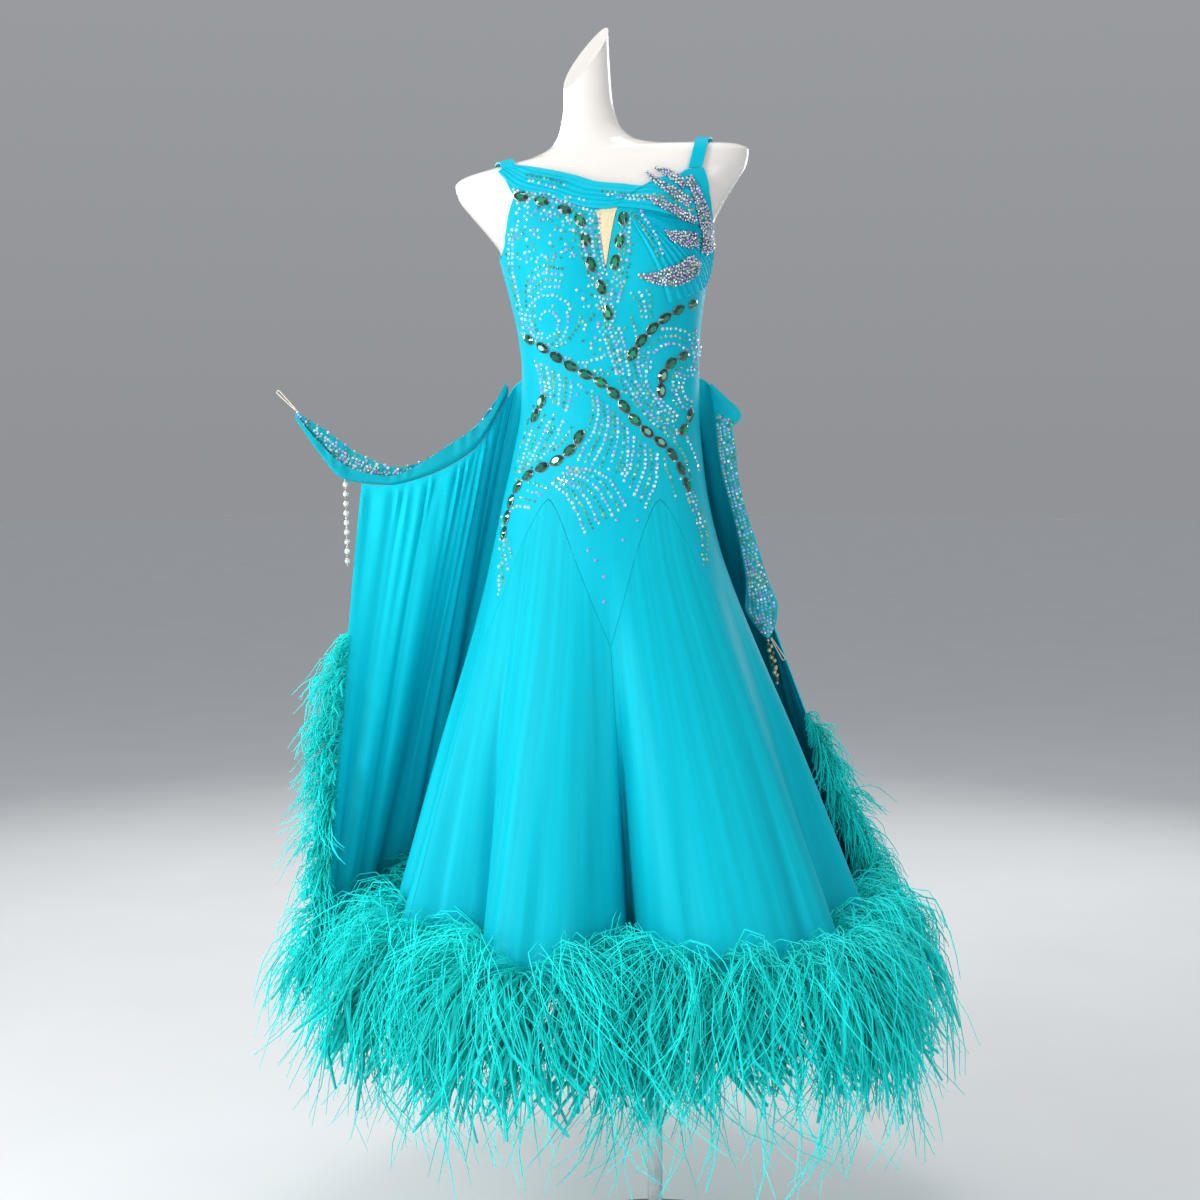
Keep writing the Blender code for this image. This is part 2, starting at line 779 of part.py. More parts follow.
def add_scarf(ground):
    """A long scarf of pleats across the chest, from the left shoulder to the right armhole."""
    stations = smooth_rows(SCARF, SCARF_STATIONS)
    outer, inner = [], []
    for number, share in enumerate(spaced(0, 1, 2 * SCARF_PLEATS + 1)):
        ridge = SCARF_RIDGE if number % 2 else 0.0
        line = [
            (s.high_x + share * (s.low_x - s.high_x), s.high_z + share * (s.low_z - s.high_z))
            for s in stations
        ]
        places = [seen_place(x, z) for x, z in line]
        outer.append([laid_point(ground, a, h, LAYER + CLOTH + ridge) for a, h in places])
        inner.append([laid_point(ground, a, h, LAYER) for a, h in places])
    raise_clear(ground, outer, inner)
    return add_wall("scarf_drape", outer, inner, "lycra")


def add_fan(ground):
    """The panel over the right bust: pleats that spread from the knot to the side and the chain."""
    outer, inner = [], []
    for number, far in enumerate(smooth_rows(FAN_FAR_EDGE, 2 * FAN_PLEATS + 1)):
        ridge = FAN_RIDGE if number % 2 else 0.0
        out_row, in_row = [], []
        for share in spaced(FAN_START, 1, FAN_STATIONS):
            angle = KNOT.angle + share * (far.angle - KNOT.angle)
            height = KNOT.height + share * (far.height - KNOT.height)
            raised = LAYER + CLOTH + ridge * smooth_step(FAN_START, 0.5, share)
            out_row.append(laid_point(ground, angle, height, raised))
            in_row.append(laid_point(ground, angle, height, LAYER))
        outer.append(out_row)
        inner.append(in_row)
    raise_clear(ground, outer, inner)
    return add_wall("pleated_bust_panel", outer, inner, "lycra")


# ---- crystal leaves and chains of large stones -----------------------------------------------------

Leaf = namedtuple("Leaf", "x z width")
LEAF_STEM = [
    Leaf(0.053, 1.757, 0.010),
    Leaf(0.058, 1.740, 0.014),
    Leaf(0.068, 1.717, 0.017),
    Leaf(0.077, 1.690, 0.019),
    Leaf(0.079, 1.662, 0.020),
    Leaf(0.073, 1.640, 0.012),
]
LEAVES = {
    "leaf_top": [
        Leaf(0.000, 1.769, 0.003),
        Leaf(0.018, 1.761, 0.011),
        Leaf(0.034, 1.749, 0.013),
        Leaf(0.045, 1.738, 0.010),
    ],
    "leaf_high": [
        Leaf(-0.014, 1.762, 0.003),
        Leaf(0.005, 1.744, 0.008),
        Leaf(0.030, 1.728, 0.013),
        Leaf(0.052, 1.714, 0.013),
    ],
    "leaf_middle": [
        Leaf(-0.014, 1.722, 0.003),
        Leaf(0.010, 1.710, 0.012),
        Leaf(0.038, 1.698, 0.014),
        Leaf(0.061, 1.687, 0.010),
    ],
    "leaf_low": [
        Leaf(0.014, 1.667, 0.003),
        Leaf(0.030, 1.660, 0.018),
        Leaf(0.048, 1.657, 0.024),
        Leaf(0.063, 1.658, 0.022),
    ],
    "leaf_crescent": [
        Leaf(-0.025, 1.600, 0.003),
        Leaf(0.000, 1.597, 0.016),
        Leaf(0.027, 1.602, 0.028),
        Leaf(0.048, 1.614, 0.028),
        Leaf(0.062, 1.629, 0.016),
    ],
}
LEAF_LIFT = 0.0008
LEAF_THICKNESS = 0.0025
LEAF_CROWN = 0.0015

StonePlace = namedtuple("StonePlace", "x z")
CHAINS = {
    "stones_waist": [
        StonePlace(-0.209, 1.513),
        StonePlace(-0.179, 1.496),
        StonePlace(-0.148, 1.475),
        StonePlace(-0.117, 1.456),
        StonePlace(-0.086, 1.440),
        StonePlace(-0.061, 1.419),
        StonePlace(-0.039, 1.389),
        StonePlace(-0.012, 1.362),
        StonePlace(0.020, 1.336),
        StonePlace(0.040, 1.306),
        StonePlace(0.054, 1.268),
    ],
    "stones_bust": [
        StonePlace(0.070, 1.567),
        StonePlace(0.056, 1.560),
        StonePlace(0.038, 1.552),
        StonePlace(0.018, 1.540),
        StonePlace(-0.004, 1.522),
        StonePlace(-0.024, 1.500),
        StonePlace(-0.042, 1.472),
    ],
    "stones_ring_high": [
        StonePlace(0.056, 1.484),
        StonePlace(0.039, 1.479),
        StonePlace(0.020, 1.464),
        StonePlace(0.010, 1.441),
        StonePlace(0.009, 1.414),
    ],
    "stones_ring_low": [
        StonePlace(0.058, 1.400),
        StonePlace(0.051, 1.377),
        StonePlace(0.037, 1.356),
    ],
    "stones_hip": [
        StonePlace(-0.112, 1.366),
        StonePlace(-0.126, 1.341),
        StonePlace(-0.153, 1.318),
        StonePlace(-0.181, 1.305),
        StonePlace(-0.206, 1.289),
        StonePlace(-0.224, 1.262),
        StonePlace(-0.234, 1.226),
        StonePlace(-0.240, 1.190),
    ],
    "stones_hip_high": [
        StonePlace(-0.173, 1.420),
        StonePlace(-0.182, 1.400),
        StonePlace(-0.193, 1.378),
    ],
    "stones_neckline": [
        StonePlace(-0.207, 1.725),
        StonePlace(-0.175, 1.717),
        StonePlace(-0.139, 1.703),
        StonePlace(-0.115, 1.685),
        StonePlace(-0.106, 1.655),
        StonePlace(-0.098, 1.617),
        StonePlace(-0.083, 1.583),
        StonePlace(-0.073, 1.545),
    ],
    "stones_keyhole": [
        StonePlace(-0.049, 1.688),
        StonePlace(-0.054, 1.653),
        StonePlace(-0.061, 1.620),
    ],
}
STONE_PITCH = 0.0260
STONE_WIDTH, STONE_NECK_WIDTH = 0.012, 0.005
STONE_LIFT, STONE_RIM, STONE_CROWN = 0.0008, 0.0012, 0.0042


def add_laid_strip(name, ground, centres, widths, lift, rims, crowns, finish):
    """A strip laid on the front: its centre line and widths as seen, its rim and crown heights."""
    outer, inner = [[], [], []], [[], [], []]
    last = len(centres) - 1
    for i, (x, z) in enumerate(centres):
        before, after = centres[max(i - 1, 0)], centres[min(i + 1, last)]
        run = Vector((after[0] - before[0], after[1] - before[1])).normalized()
        for row, side in enumerate((0.5, 0.0, -0.5)):
            px, pz = x - run.y * side * widths[i], z + run.x * side * widths[i]
            height = crowns[i] if side == 0.0 else rims[i]
            angle, level = seen_place(px, pz)
            outer[row].append(laid_point(ground, angle, level, lift + height))
            inner[row].append(laid_point(ground, angle, level, lift))
    raise_clear(ground, outer, inner)
    add_wall(name, outer, inner, finish)


def add_leaves(ground):
    for name, leaf in [("leaf_stem", LEAF_STEM)] + list(LEAVES.items()):
        stations = smooth_rows(leaf, len(leaf) + 1)
        add_laid_strip(
            name,
            ground,
            [(s.x, s.z) for s in stations],
            column(stations, "width"),
            LEAF_LIFT,
            [LEAF_THICKNESS] * len(stations),
            [LEAF_THICKNESS + LEAF_CROWN] * len(stations),
            "crystal",
        )


def add_chains(ground):
    """Chains of pointed oval stones: narrow between two stones, wide and high on each."""
    for name, places in CHAINS.items():
        fine = smooth_rows(places, 12 * len(places))
        reach = [0.0]
        for a, b in zip(fine, fine[1:]):
            reach.append(reach[-1] + math.hypot(b.x - a.x, b.z - a.z))
        stones = max(round(reach[-1] / STONE_PITCH), 1)
        x_at = straight_through(reach, column(fine, "x"))
        z_at = straight_through(reach, column(fine, "z"))
        stations = spaced(0, reach[-1], 2 * stones + 1)
        on_stone = [i % 2 == 1 for i in range(len(stations))]
        add_laid_strip(
            name,
            ground,
            [(x_at(s), z_at(s)) for s in stations],
            [STONE_WIDTH if on else STONE_NECK_WIDTH for on in on_stone],
            STONE_LIFT,
            [STONE_RIM] * len(stations),
            [STONE_CROWN if on else STONE_RIM * 1.5 for on in on_stone],
            "emerald",
        )


# ---- floats ----------------------------------------------------------------------------------------

# Each float hangs between a line at its top and one at its foot, from the middle of the back to its
# free edge. sewn is how far the top is sewn to the bodice; from there on it is held by the wrist band.
FloatLine = namedtuple("FloatLine", "top_x top_y top_z foot_x foot_y foot_z")
LEFT_FREE = [
    FloatLine(-0.226, 0.050, 1.440, -0.422, 0.312, 0.535),
    FloatLine(-0.262, 0.040, 1.380, -0.447, 0.256, 0.532),
    FloatLine(-0.290, 0.036, 1.338, -0.470, 0.205, 0.530),
    FloatLine(-0.323, 0.034, 1.314, -0.492, 0.160, 0.528),
    FloatLine(-0.352, 0.033, 1.299, -0.512, 0.122, 0.526),
    FloatLine(-0.381, 0.033, 1.288, -0.528, 0.090, 0.524),
    FloatLine(-0.410, 0.033, 1.280, -0.541, 0.064, 0.522),
    FloatLine(-0.443, 0.033, 1.276, -0.551, 0.044, 0.520),
    FloatLine(-0.477, 0.033, 1.279, -0.558, 0.028, 0.518),
]
RIGHT_FREE = [
    FloatLine(0.083, 0.050, 1.446, 0.262, 0.376, 0.535),
    FloatLine(0.104, 0.049, 1.402, 0.288, 0.354, 0.534),
    FloatLine(0.118, 0.054, 1.340, 0.311, 0.327, 0.533),
    FloatLine(0.131, 0.061, 1.270, 0.335, 0.293, 0.532),
    FloatLine(0.151, 0.067, 1.195, 0.356, 0.256, 0.531),
    FloatLine(0.172, 0.072, 1.120, 0.375, 0.215, 0.530),
    FloatLine(0.197, 0.077, 1.044, 0.394, 0.165, 0.530),
]
Sewn = namedtuple("Sewn", "from_angle to_angle foot_from foot_to")
LEFT_SEWN = Sewn(-177, -116, (-0.055, 0.500), (-0.400, 0.362))
RIGHT_SEWN = Sewn(177, 116, (-0.018, 0.512), (0.238, 0.396))
SEWN_STATIONS = 6
SEWN_LIFT = CLOTH + 0.0017
FOOT_BULGE = 0.045  # how far the sewn part's foot line bows out behind

Pleat = namedtuple("Pleat", "width depth gather")
LEFT_PLEATS = [
    Pleat(1.2, 0.016, 0.0010),
    Pleat(1.3, 0.020, 0.0010),
    Pleat(1.1, 0.018, 0.0010),
    Pleat(1.3, 0.022, 0.0010),
    Pleat(1.0, 0.020, 0.0015),
    Pleat(0.8, 0.018, 0.0025),
    Pleat(0.9, 0.022, 0.0030),
    Pleat(0.7, 0.016, 0.0025),
    Pleat(0.8, 0.020, 0.0030),
    Pleat(0.7, 0.015, 0.0025),
    Pleat(0.7, 0.013, 0.0020),
]
RIGHT_PLEATS = [
    Pleat(1.2, 0.016, 0.0010),
    Pleat(1.3, 0.020, 0.0010),
    Pleat(1.1, 0.018, 0.0010),
    Pleat(1.2, 0.018, 0.0010),
    Pleat(0.9, 0.015, 0.0010),
    Pleat(0.8, 0.012, 0.0),
    Pleat(0.7, 0.010, 0.0),
    Pleat(0.8, 0.008, 0.0),
]
FLOAT_ROWS = 9
GATHER_FADE = 4.0
PLEAT_GROWTH = 0.9


def float_lines(ground, sewn, free):
    """The float's top and foot lines: the sewn part on the bodice's surface, then the free part."""
    lines = []
    for share in spaced(0, 1, SEWN_STATIONS):
        angle = sewn.from_angle + share * (sewn.to_angle - sewn.from_angle)
        top = laid_point(ground, angle, WAIST_HEIGHT, SEWN_LIFT)
        start, end = Vector((*sewn.foot_from, 0)), Vector((*sewn.foot_to, 0))
        out = FOOT_BULGE * math.sin(math.pi * share)
        foot = start.lerp(end, share)
        foot += out * foot.normalized()
        lines.append(FloatLine(top.x, top.y, top.z, foot.x, foot.y, 0.535))
    return lines + free


def float_grid(lines, pleats, sign):
    """Rows of points down the float. sign is 1 where columns already run to the right from outside."""
    widths = [pleat.width / 4 for pleat in pleats for _ in range(4)]
    places = [0.0]
    for width in widths:
        places.append(places[-1] + width)
    rows = smooth_rows(lines, 161)
    reach = [0.0]
    for a, b in zip(rows, rows[1:]):
        top = Vector(b[:3]) - Vector(a[:3])
        foot = Vector(b[3:]) - Vector(a[3:])
        reach.append(reach[-1] + (top.length + foot.length) / 2)
    curves = [straight_through(reach, column(rows, name)) for name in FloatLine._fields]
    stations = []
    for place in places:
        at = reach[-1] * place / places[-1]
        values = [curve(at) for curve in curves]
        stations.append((Vector(values[:3]), Vector(values[3:])))
    waves = []
    for number in range(len(places)):
        pleat = pleats[min(number // 4, len(pleats) - 1)]
        phase = (0, 1, 0, -1)[number % 4]
        gather = (-1, 1)[number % 2]
        waves.append((phase * pleat.depth, gather * pleat.gather))
    grid = []
    last = len(stations) - 1
    for share in spaced(0, 1, FLOAT_ROWS):
        row = []
        for i, (top, foot) in enumerate(stations):
            here = top.lerp(foot, share)
            before, after = stations[max(i - 1, 0)], stations[min(i + 1, last)]
            run = after[0].lerp(after[1], share) - before[0].lerp(before[1], share)
            hang = (foot - top).normalized()
            out = hang.cross(run).normalized() * sign
            depth, gather = waves[i]
            free = smooth_step(0.0, 0.12, share)
            wave = depth * share**PLEAT_GROWTH + gather * free * (1 - share) ** GATHER_FADE
            row.append(here + out * wave)
        grid.append(row)
    if sign < 0:
        grid = [list(reversed(row)) for row in grid]
    return grid


def add_floats(ground):
    """Both floats; the grids of their outer faces are kept for the trims."""
    grids = {}
    for side, sewn, free, pleats, sign in (
        ("left", LEFT_SEWN, LEFT_FREE, LEFT_PLEATS, 1),
        ("right", RIGHT_SEWN, RIGHT_FREE, RIGHT_PLEATS, -1),
    ):
        grid = float_grid(float_lines(ground, sewn, free), pleats, sign)
        back = behind(grid, CLOTH)
        raise_clear(ground, grid, back, rows=2)
        add_wall("float_" + side, grid, back, "chiffon")
        grids[side] = grid
    return grids


# ---- wrist bands, bead strands and finger loops -----------------------------------------------------

# The left wrist band is a folded strip: its fold lies on the float's top edge, with a plain flap in
# front and a stoned one behind. Beyond the float it narrows to the point that the finger loop holds.
BandRise = namedtuple("BandRise", "x front back spread")
BAND_RISES = [
    BandRise(-0.580, 0.0100, 0.0135, 0.0042),
    BandRise(-0.562, 0.0140, 0.029, 0.0060),
    BandRise(-0.538, 0.020, 0.048, 0.0070),
    BandRise(-0.513, 0.026, 0.059, 0.0075),
    BandRise(-0.489, 0.021, 0.050, 0.0075),
    BandRise(-0.454, 0.016, 0.037, 0.0075),
    BandRise(-0.431, 0.015, 0.030, 0.0075),
    BandRise(-0.410, 0.017, 0.026, 0.0075),
    BandRise(-0.381, 0.024, 0.026, 0.0075),
    BandRise(-0.351, 0.030, 0.032, 0.0075),
    BandRise(-0.323, 0.034, 0.036, 0.0075),
    BandRise(-0.288, 0.034, 0.036, 0.0070),
    BandRise(-0.265, 0.025, 0.036, 0.0070),
    BandRise(-0.242, 0.019, 0.030, 0.0070),
    BandRise(-0.226, 0.016, 0.022, 0.0070),
]
FoldPoint = namedtuple("FoldPoint", "x y z")
BAND_POINT = [
    FoldPoint(-0.580, 0.018, 1.383),
    FoldPoint(-0.562, 0.019, 1.355),
    FoldPoint(-0.538, 0.020, 1.321),
    FoldPoint(-0.514, 0.022, 1.292),
    FoldPoint(-0.495, 0.027, 1.283),
]
BAND_GAP = 0.0005

# The right wrist band hangs loose: its two edges as seen from the front, and how far back it lies.
HangingBand = namedtuple("HangingBand", "left_x left_z right_x right_z y")
HANGING_BAND = [
    HangingBand(0.0855, 1.437, 0.092, 1.442, 0.0468),
    HangingBand(0.094, 1.412, 0.141, 1.390, 0.0412),
    HangingBand(0.098, 1.377, 0.126, 1.367, 0.0400),
    HangingBand(0.101, 1.3435, 0.131, 1.3435, 0.0410),
    HangingBand(0.108, 1.301, 0.135, 1.301, 0.0430),
    HangingBand(0.121, 1.252, 0.145, 1.252, 0.0460),
    HangingBand(0.134, 1.203, 0.160, 1.203, 0.0500),
    HangingBand(0.143, 1.160, 0.174, 1.160, 0.0530),
    HangingBand(0.150, 1.116, 0.188, 1.116, 0.0560),
    HangingBand(0.149, 1.076, 0.203, 1.076, 0.0590),
    HangingBand(0.160, 1.052, 0.201, 1.052, 0.0600),
    HangingBand(0.180, 1.026, 0.190, 1.024, 0.0610),
]
HANGING_BULGE = 0.006

BEAD_RADIUS, BEAD_NECK, BEAD_PITCH = 0.0048, 0.0007, 0.0155
LOOP_RADIUS, LOOP_HALF_WIDTH = 0.0009, 0.0022


def add_left_band(float_grid_points):
    """The band along the float's free top edge, from the waist to the point."""
    top = [p for p in float_grid_points[0] if p.x < LEFT_FREE[0].top_x + 0.002]
    folds = []
    for i, point in enumerate(top):
        run = top[min(i + 1, len(top) - 1)] - top[max(i - 1, 0)]
        up = Vector((run.z, 0, -run.x)).normalized()
        folds.append(point + BAND_GAP * up)
    folds += [Vector(p) for p in reversed(BAND_POINT)]
    folds.reverse()
    rises = {
        name: curve_through(column(BAND_RISES, "x"), column(BAND_RISES, name))
        for name in ("front", "back", "spread")
    }
    grid = [[] for _ in range(5)]
    for fold in folds:
        front, back, spread = (rises[name](fold.x) for name in ("front", "back", "spread"))
        for row, (along, up) in enumerate(
            [(-0.9, front), (-1.0, 0.35 * front), (0.0, 0.0), (1.0, 0.3 * back), (0.8, back)]
        ):
            grid[row].append(fold + Vector((0, along * spread, up)))
    thickness = [min(CLOTH, 0.36 * rises["spread"](fold.x)) for fold in folds]
    inner = [
        [p - t * n for p, n, t in zip(row, line, thickness)]
        for row, line in zip(grid, grid_normals(grid))
    ]
    add_wall("wrist_band_left", grid, inner, "lycra")


def add_right_band():
    grid = []
    for s in smooth_rows(HANGING_BAND, 15):
        row = []
        for share in spaced(0, 1, 4):
            x = s.left_x + share * (s.right_x - s.left_x)
            z = s.left_z + share * (s.right_z - s.left_z)
            bulge = HANGING_BULGE * math.sin(math.pi * share)
            row.append(Vector((x, s.y - bulge, z)))
        grid.append(row)
    add_wall("wrist_band_right", grid, behind(grid, CLOTH), "lycra")


def add_tube(name, path, radii, sides, finish):
    """A closed round bar along a path, with a radius at each of its points."""
    points, faces = [], []
    last = len(path) - 1
    side = Vector((0, 1, 0))
    for i, (centre, radius) in enumerate(zip(path, radii)):
        run = (path[min(i + 1, last)] - path[max(i - 1, 0)]).normalized()
        side = (side - side.dot(run) * run).normalized()
        other = run.cross(side)
        for k in range(sides):
            turn = 2 * math.pi * k / sides
            points.append(centre + radius * (math.cos(turn) * side + math.sin(turn) * other))
    for i in range(last):
        for k in range(sides):
            m = (k + 1) % sides
            a, b = i * sides + k, i * sides + m
            faces.append((a, b, b + sides, a + sides))
    faces.append(tuple(reversed(range(sides))))
    faces.append(tuple(last * sides + k for k in range(sides)))
    return add_object(name, points, faces, finish)


def add_strand(name, top, foot, beads, finish):
    """Round beads on a thread."""
    run = foot - top
    step = run / beads
    path, radii = [top], [BEAD_NECK]
    for bead in range(beads):
        centre = top + step * (bead + 0.5)
        for share, radius in ((-0.92, 0.30), (-0.45, 0.88), (0.45, 0.88), (0.92, 0.30)):
            path.append(centre + run.normalized() * share * BEAD_RADIUS)
            radii.append(radius * BEAD_RADIUS)
    path.append(foot)
    radii.append(BEAD_NECK)
    add_tube(name, path, radii, 6, finish)


def add_loop(name, root, tip, finish):
    """An elastic loop: out along one side, round the end and back along the other."""
    run = (tip - root).normalized()
    side = run.cross(Vector((0, 1, 0))).normalized() * LOOP_HALF_WIDTH
    end = tip - run * LOOP_HALF_WIDTH
    path = [root + 0.6 * side, root.lerp(end, 0.5) + side]
    path += [
        end + side * math.cos(turn) + run * LOOP_HALF_WIDTH * math.sin(turn)
        for turn in spaced(0, math.pi, 5)
    ]
    path += [root.lerp(end, 0.5) - side, root - 0.6 * side]
    add_tube(name, path, [LOOP_RADIUS] * len(path), 4, finish)


# ---- feather trims ---------------------------------------------------------------------------------

TRIM_HEIGHT, TRIM_DEPTH = 0.024, 0.012
TRIM_LIFT = 0.0009
TRIM_NARROW = (0.15, 0.45)  # hollow per width, from where a fold starts to narrow the trim
TRIM_DEPTH_NARROW = 0.005
TRIM_BRIDGE = 0.012  # how far the trim spans off the cloth in the narrowest fold
TRIM_ABOVE_HEM = 0.012
RIM_TRIM_HALF_WIDTH, RIM_TRIM_DEPTH = 0.005, 0.010
EDGE_TRIM_FOOT = 0.575
EDGE_TRIM_TOP = {"left": 1.050, "right": 0.900}
DOWN = Vector((0, 0, -1))

# How a lock leaves its root and how it hangs past its bend: shares of outwards and of downwards.
Lock = namedtuple("Lock", "length out down bend_out bend_down")
SKIRT_LOCKS = [Lock(0.235, 0.60, 0.90, 0.22, 1.0), Lock(0.150, 1.00, 0.02, 0.75, 0.70)]
FLOAT_LOCKS = [Lock(0.180, 0.55, 0.95, 0.18, 1.0), Lock(0.160, 0.50, 1.00, 0.10, 1.0)]
EDGE_LOCKS = [Lock(0.095, 0.90, 0.60, 0.45, 1.0), Lock(0.080, 1.00, 0.50, 0.50, 1.0)]
LOCK_BEND = 0.45  # where a lock bends, along its length
LOCK_NARROWING = 0.62
LOCK_SAMPLES = 14
LOCK_CLEARANCE = 0.0022
ROOT_STEP = 0.0006
ROOT_RISE = 0.35  # the least rise of a lock off its root's face
STRIP_RADIUS = 0.010
LENGTH_TRIES = (1.0, 0.82, 0.66, 0.5, 0.38)
SWING_TRIES = (0.0, 0.25, -0.25, 0.5, -0.5, 0.9, -0.9)
STEEP_TRIES = (0.0, 0.6, 1.6)

Trim = namedtuple("Trim", "name stations locks closed bare")


class FeatherBed:
    """Keeps what a lock must stay clear of: the cloth, the strips and the locks already there."""

    def __init__(self, cloth, trims):
        self.cloth = tree_of(cloth)
        self.strip_places, self.strip_owners = [], []
        owner = 0
        self.first_cell = {}
        for trim in trims:
            self.first_cell[trim.name] = owner
            for here, after in zip(trim.stations, trim.stations[1:] + trim.stations[:1]):
                for share in (0.0, 0.5):
                    corners = [a.lerp(b, share) for a, b in zip(here, after)]
                    if share and (corners[2] - here[2]).length > 0.1:
                        continue
                    self.strip_places.append(tuple(sum(corners, Vector()) / 3))
                    self.strip_owners.append(owner)
                owner += 1
        points = [p for trim in trims for station in trim.stations for p in station]
        faces, base = [], 0
        for trim in trims:
            count = len(trim.stations)
            for i in range(count if trim.closed else count - 1):
                a, b = base + 3 * i, base + 3 * ((i + 1) % count)
                faces += [(a, b, b + 1), (a, b + 1, a + 1)]
                faces += [(a + 2, a + 1, b + 1), (a + 2, b + 1, b + 2)]
                faces += [(a, a + 2, b + 2), (a, b + 2, b)]
            base += 3 * count
        self.strips = BVHTree.FromPolygons(points, faces)
        self.locks = []
        self.strip_places = np.array(self.strip_places)
        self.strip_owners = np.array(self.strip_owners)
        self.places, self.radii = np.zeros((0, 3)), np.zeros(0)
        self.owners = np.zeros(0, dtype=int)
        self.chance = random.Random(7)

    def path(self, root, lock, out, side, length, swing, steep):
        centre = sum(root, Vector()) / 4
        first = (out * lock.out + DOWN * (lock.down + steep) + side * swing).normalized()
        second = (out * lock.bend_out + DOWN * (lock.bend_down + steep) + side * swing).normalized()
        bend = centre + first * length * LOCK_BEND
        return centre, bend, bend + second * length * (1 - LOCK_BEND)

    def samples(self, root, path):
        centre, bend, tip = path
        wide = max((corner - centre).length for corner in root)
        places, radii = [], []
        for share in spaced(0.08, 1, LOCK_SAMPLES):
            if share < LOCK_BEND:
                part = share / LOCK_BEND
                places.append(tuple(centre.lerp(bend, part)))
                radii.append(wide * (1 + part * (LOCK_NARROWING - 1)))
            else:
                part = (share - LOCK_BEND) / (1 - LOCK_BEND)
                places.append(tuple(bend.lerp(tip, part)))
                radii.append(wide * LOCK_NARROWING * (1 - part) + 0.001)
        return np.array(places), np.array(radii)

    def clear(self, cell, places, radii):
        for place, radius in zip(places[3:], radii[3:]):
            if self.cloth.find_nearest(place, radius + LOCK_CLEARANCE)[0] is not None:
                return False

        def gaps(others, reach):
            apart = np.linalg.norm(places[:, None, :] - others[None, :, :], axis=2)
            return apart - radii[:, None] - reach - LOCK_CLEARANCE

        far = np.abs(self.strip_owners - cell) > 1
        to_strips = gaps(self.strip_places, STRIP_RADIUS)
        if (to_strips[3:][:, far] < 0).any() or (to_strips[6:][:, ~far] < 0).any():
            return False
        if len(self.places) == 0:
            return True
        to_locks = gaps(self.places, self.radii[None, :])
        own = self.owners == cell
        return not ((to_locks[:, ~own] < 0).any() or (to_locks[5:][:, own] < 0).any())

    def apart(self, cell, root, ring, tip, out):
        """True where the lock's own faces cut no cloth, no strip and no lock of the same cell."""
        centre = sum(root, Vector()) / 4
        foot = [corner.lerp(centre, 0.04) + ROOT_STEP * out for corner in root]
        faces = []
        for k in range(4):
            m = (k + 1) % 4
            faces += [(k, m, 4 + m), (k, 4 + m, 4 + k), (4 + k, 4 + m, 8)]
        tree = BVHTree.FromPolygons(foot + ring + [tip], faces)
        if tree.overlap(self.strips) or tree.overlap(self.cloth):
            return False
        if any(tree.overlap(other) for owner, other in self.locks if abs(owner - cell) < 3):
            return False
        self.locks.append((cell, tree))
        return True

    def grow(self, cell, root, lock, out, side):
        """The ring and tip of a lock from its root, or nothing where none fits."""
        length = lock.length * self.chance.uniform(0.86, 1.0)
        lean = self.chance.uniform(-0.12, 0.12)
        face = (root[1] - root[0]).cross(root[3] - root[0]).normalized()
        for steep in STEEP_TRIES:
            for part in LENGTH_TRIES:
                for swing in SWING_TRIES:
                    path = self.path(root, lock, out, side, length * part, swing + lean, steep)
                    if (path[1] - path[0]).normalized().dot(face) < ROOT_RISE:
                        continue
                    places, radii = self.samples(root, path)
                    centre, bend, tip = path
                    along = (bend - centre).normalized() + (tip - bend).normalized()
                    turn = face.rotation_difference(along)
                    ring = [bend + turn @ (corner - centre) * LOCK_NARROWING for corner in root]
                    if not self.clear(cell, places, radii):
                        continue
                    if not self.apart(cell, root, ring, tip, out):
                        continue
                    self.places = np.vstack([self.places, places])
                    self.radii = np.append(self.radii, radii)
                    self.owners = np.append(self.owners, [cell] * len(radii))
                    return ring, tip
        return None


def add_trim(trim, bed):
    """A narrow strip of three-cornered section, with two locks on every other cell.

    Each station is (first, second, edge): two points on the cloth side and the outer edge. Stations run
    to the right as seen from outside, with the first point above the second."""
    points = [p for station in trim.stations for p in station]
    count = len(trim.stations)
    faces = []
    if not trim.closed:
        faces += [(0, 1, 2), (3 * count - 1, 3 * count - 2, 3 * count - 3)]
    for i in range(count if trim.closed else count - 1):
        a, b = 3 * i, 3 * ((i + 1) % count)
        faces.append((a, b, b + 1, a + 1))
        run = (points[b + 2] - points[a + 2]).normalized()
        for lock, quad in zip(trim.locks, ((a + 2, a + 1, b + 1, b + 2), (a, a + 2, b + 2, b))):
            root = [points[v] for v in quad]
            out = (root[1] - root[0]).cross(root[3] - root[0])
            out = (out - out.dot(run) * run).normalized()
            flat = out - out.dot(DOWN) * DOWN
            out = flat.normalized() if flat.length > 0.3 else out
            grown = None
            if i % 2 == 0 and i not in trim.bare:
                grown = bed.grow(bed.first_cell[trim.name] + i, root, lock, out, run)
            if grown is None:
                faces.append(quad)
                continue
            ring, tip = grown
            base = len(points)
            points += ring + [tip]
            for k in range(4):
                m = (k + 1) % 4
                faces.append((quad[k], quad[m], base + m, base + k))
                faces.append((base + k, base + m, base + 4))
    return add_object(trim.name, points, faces, "feather")


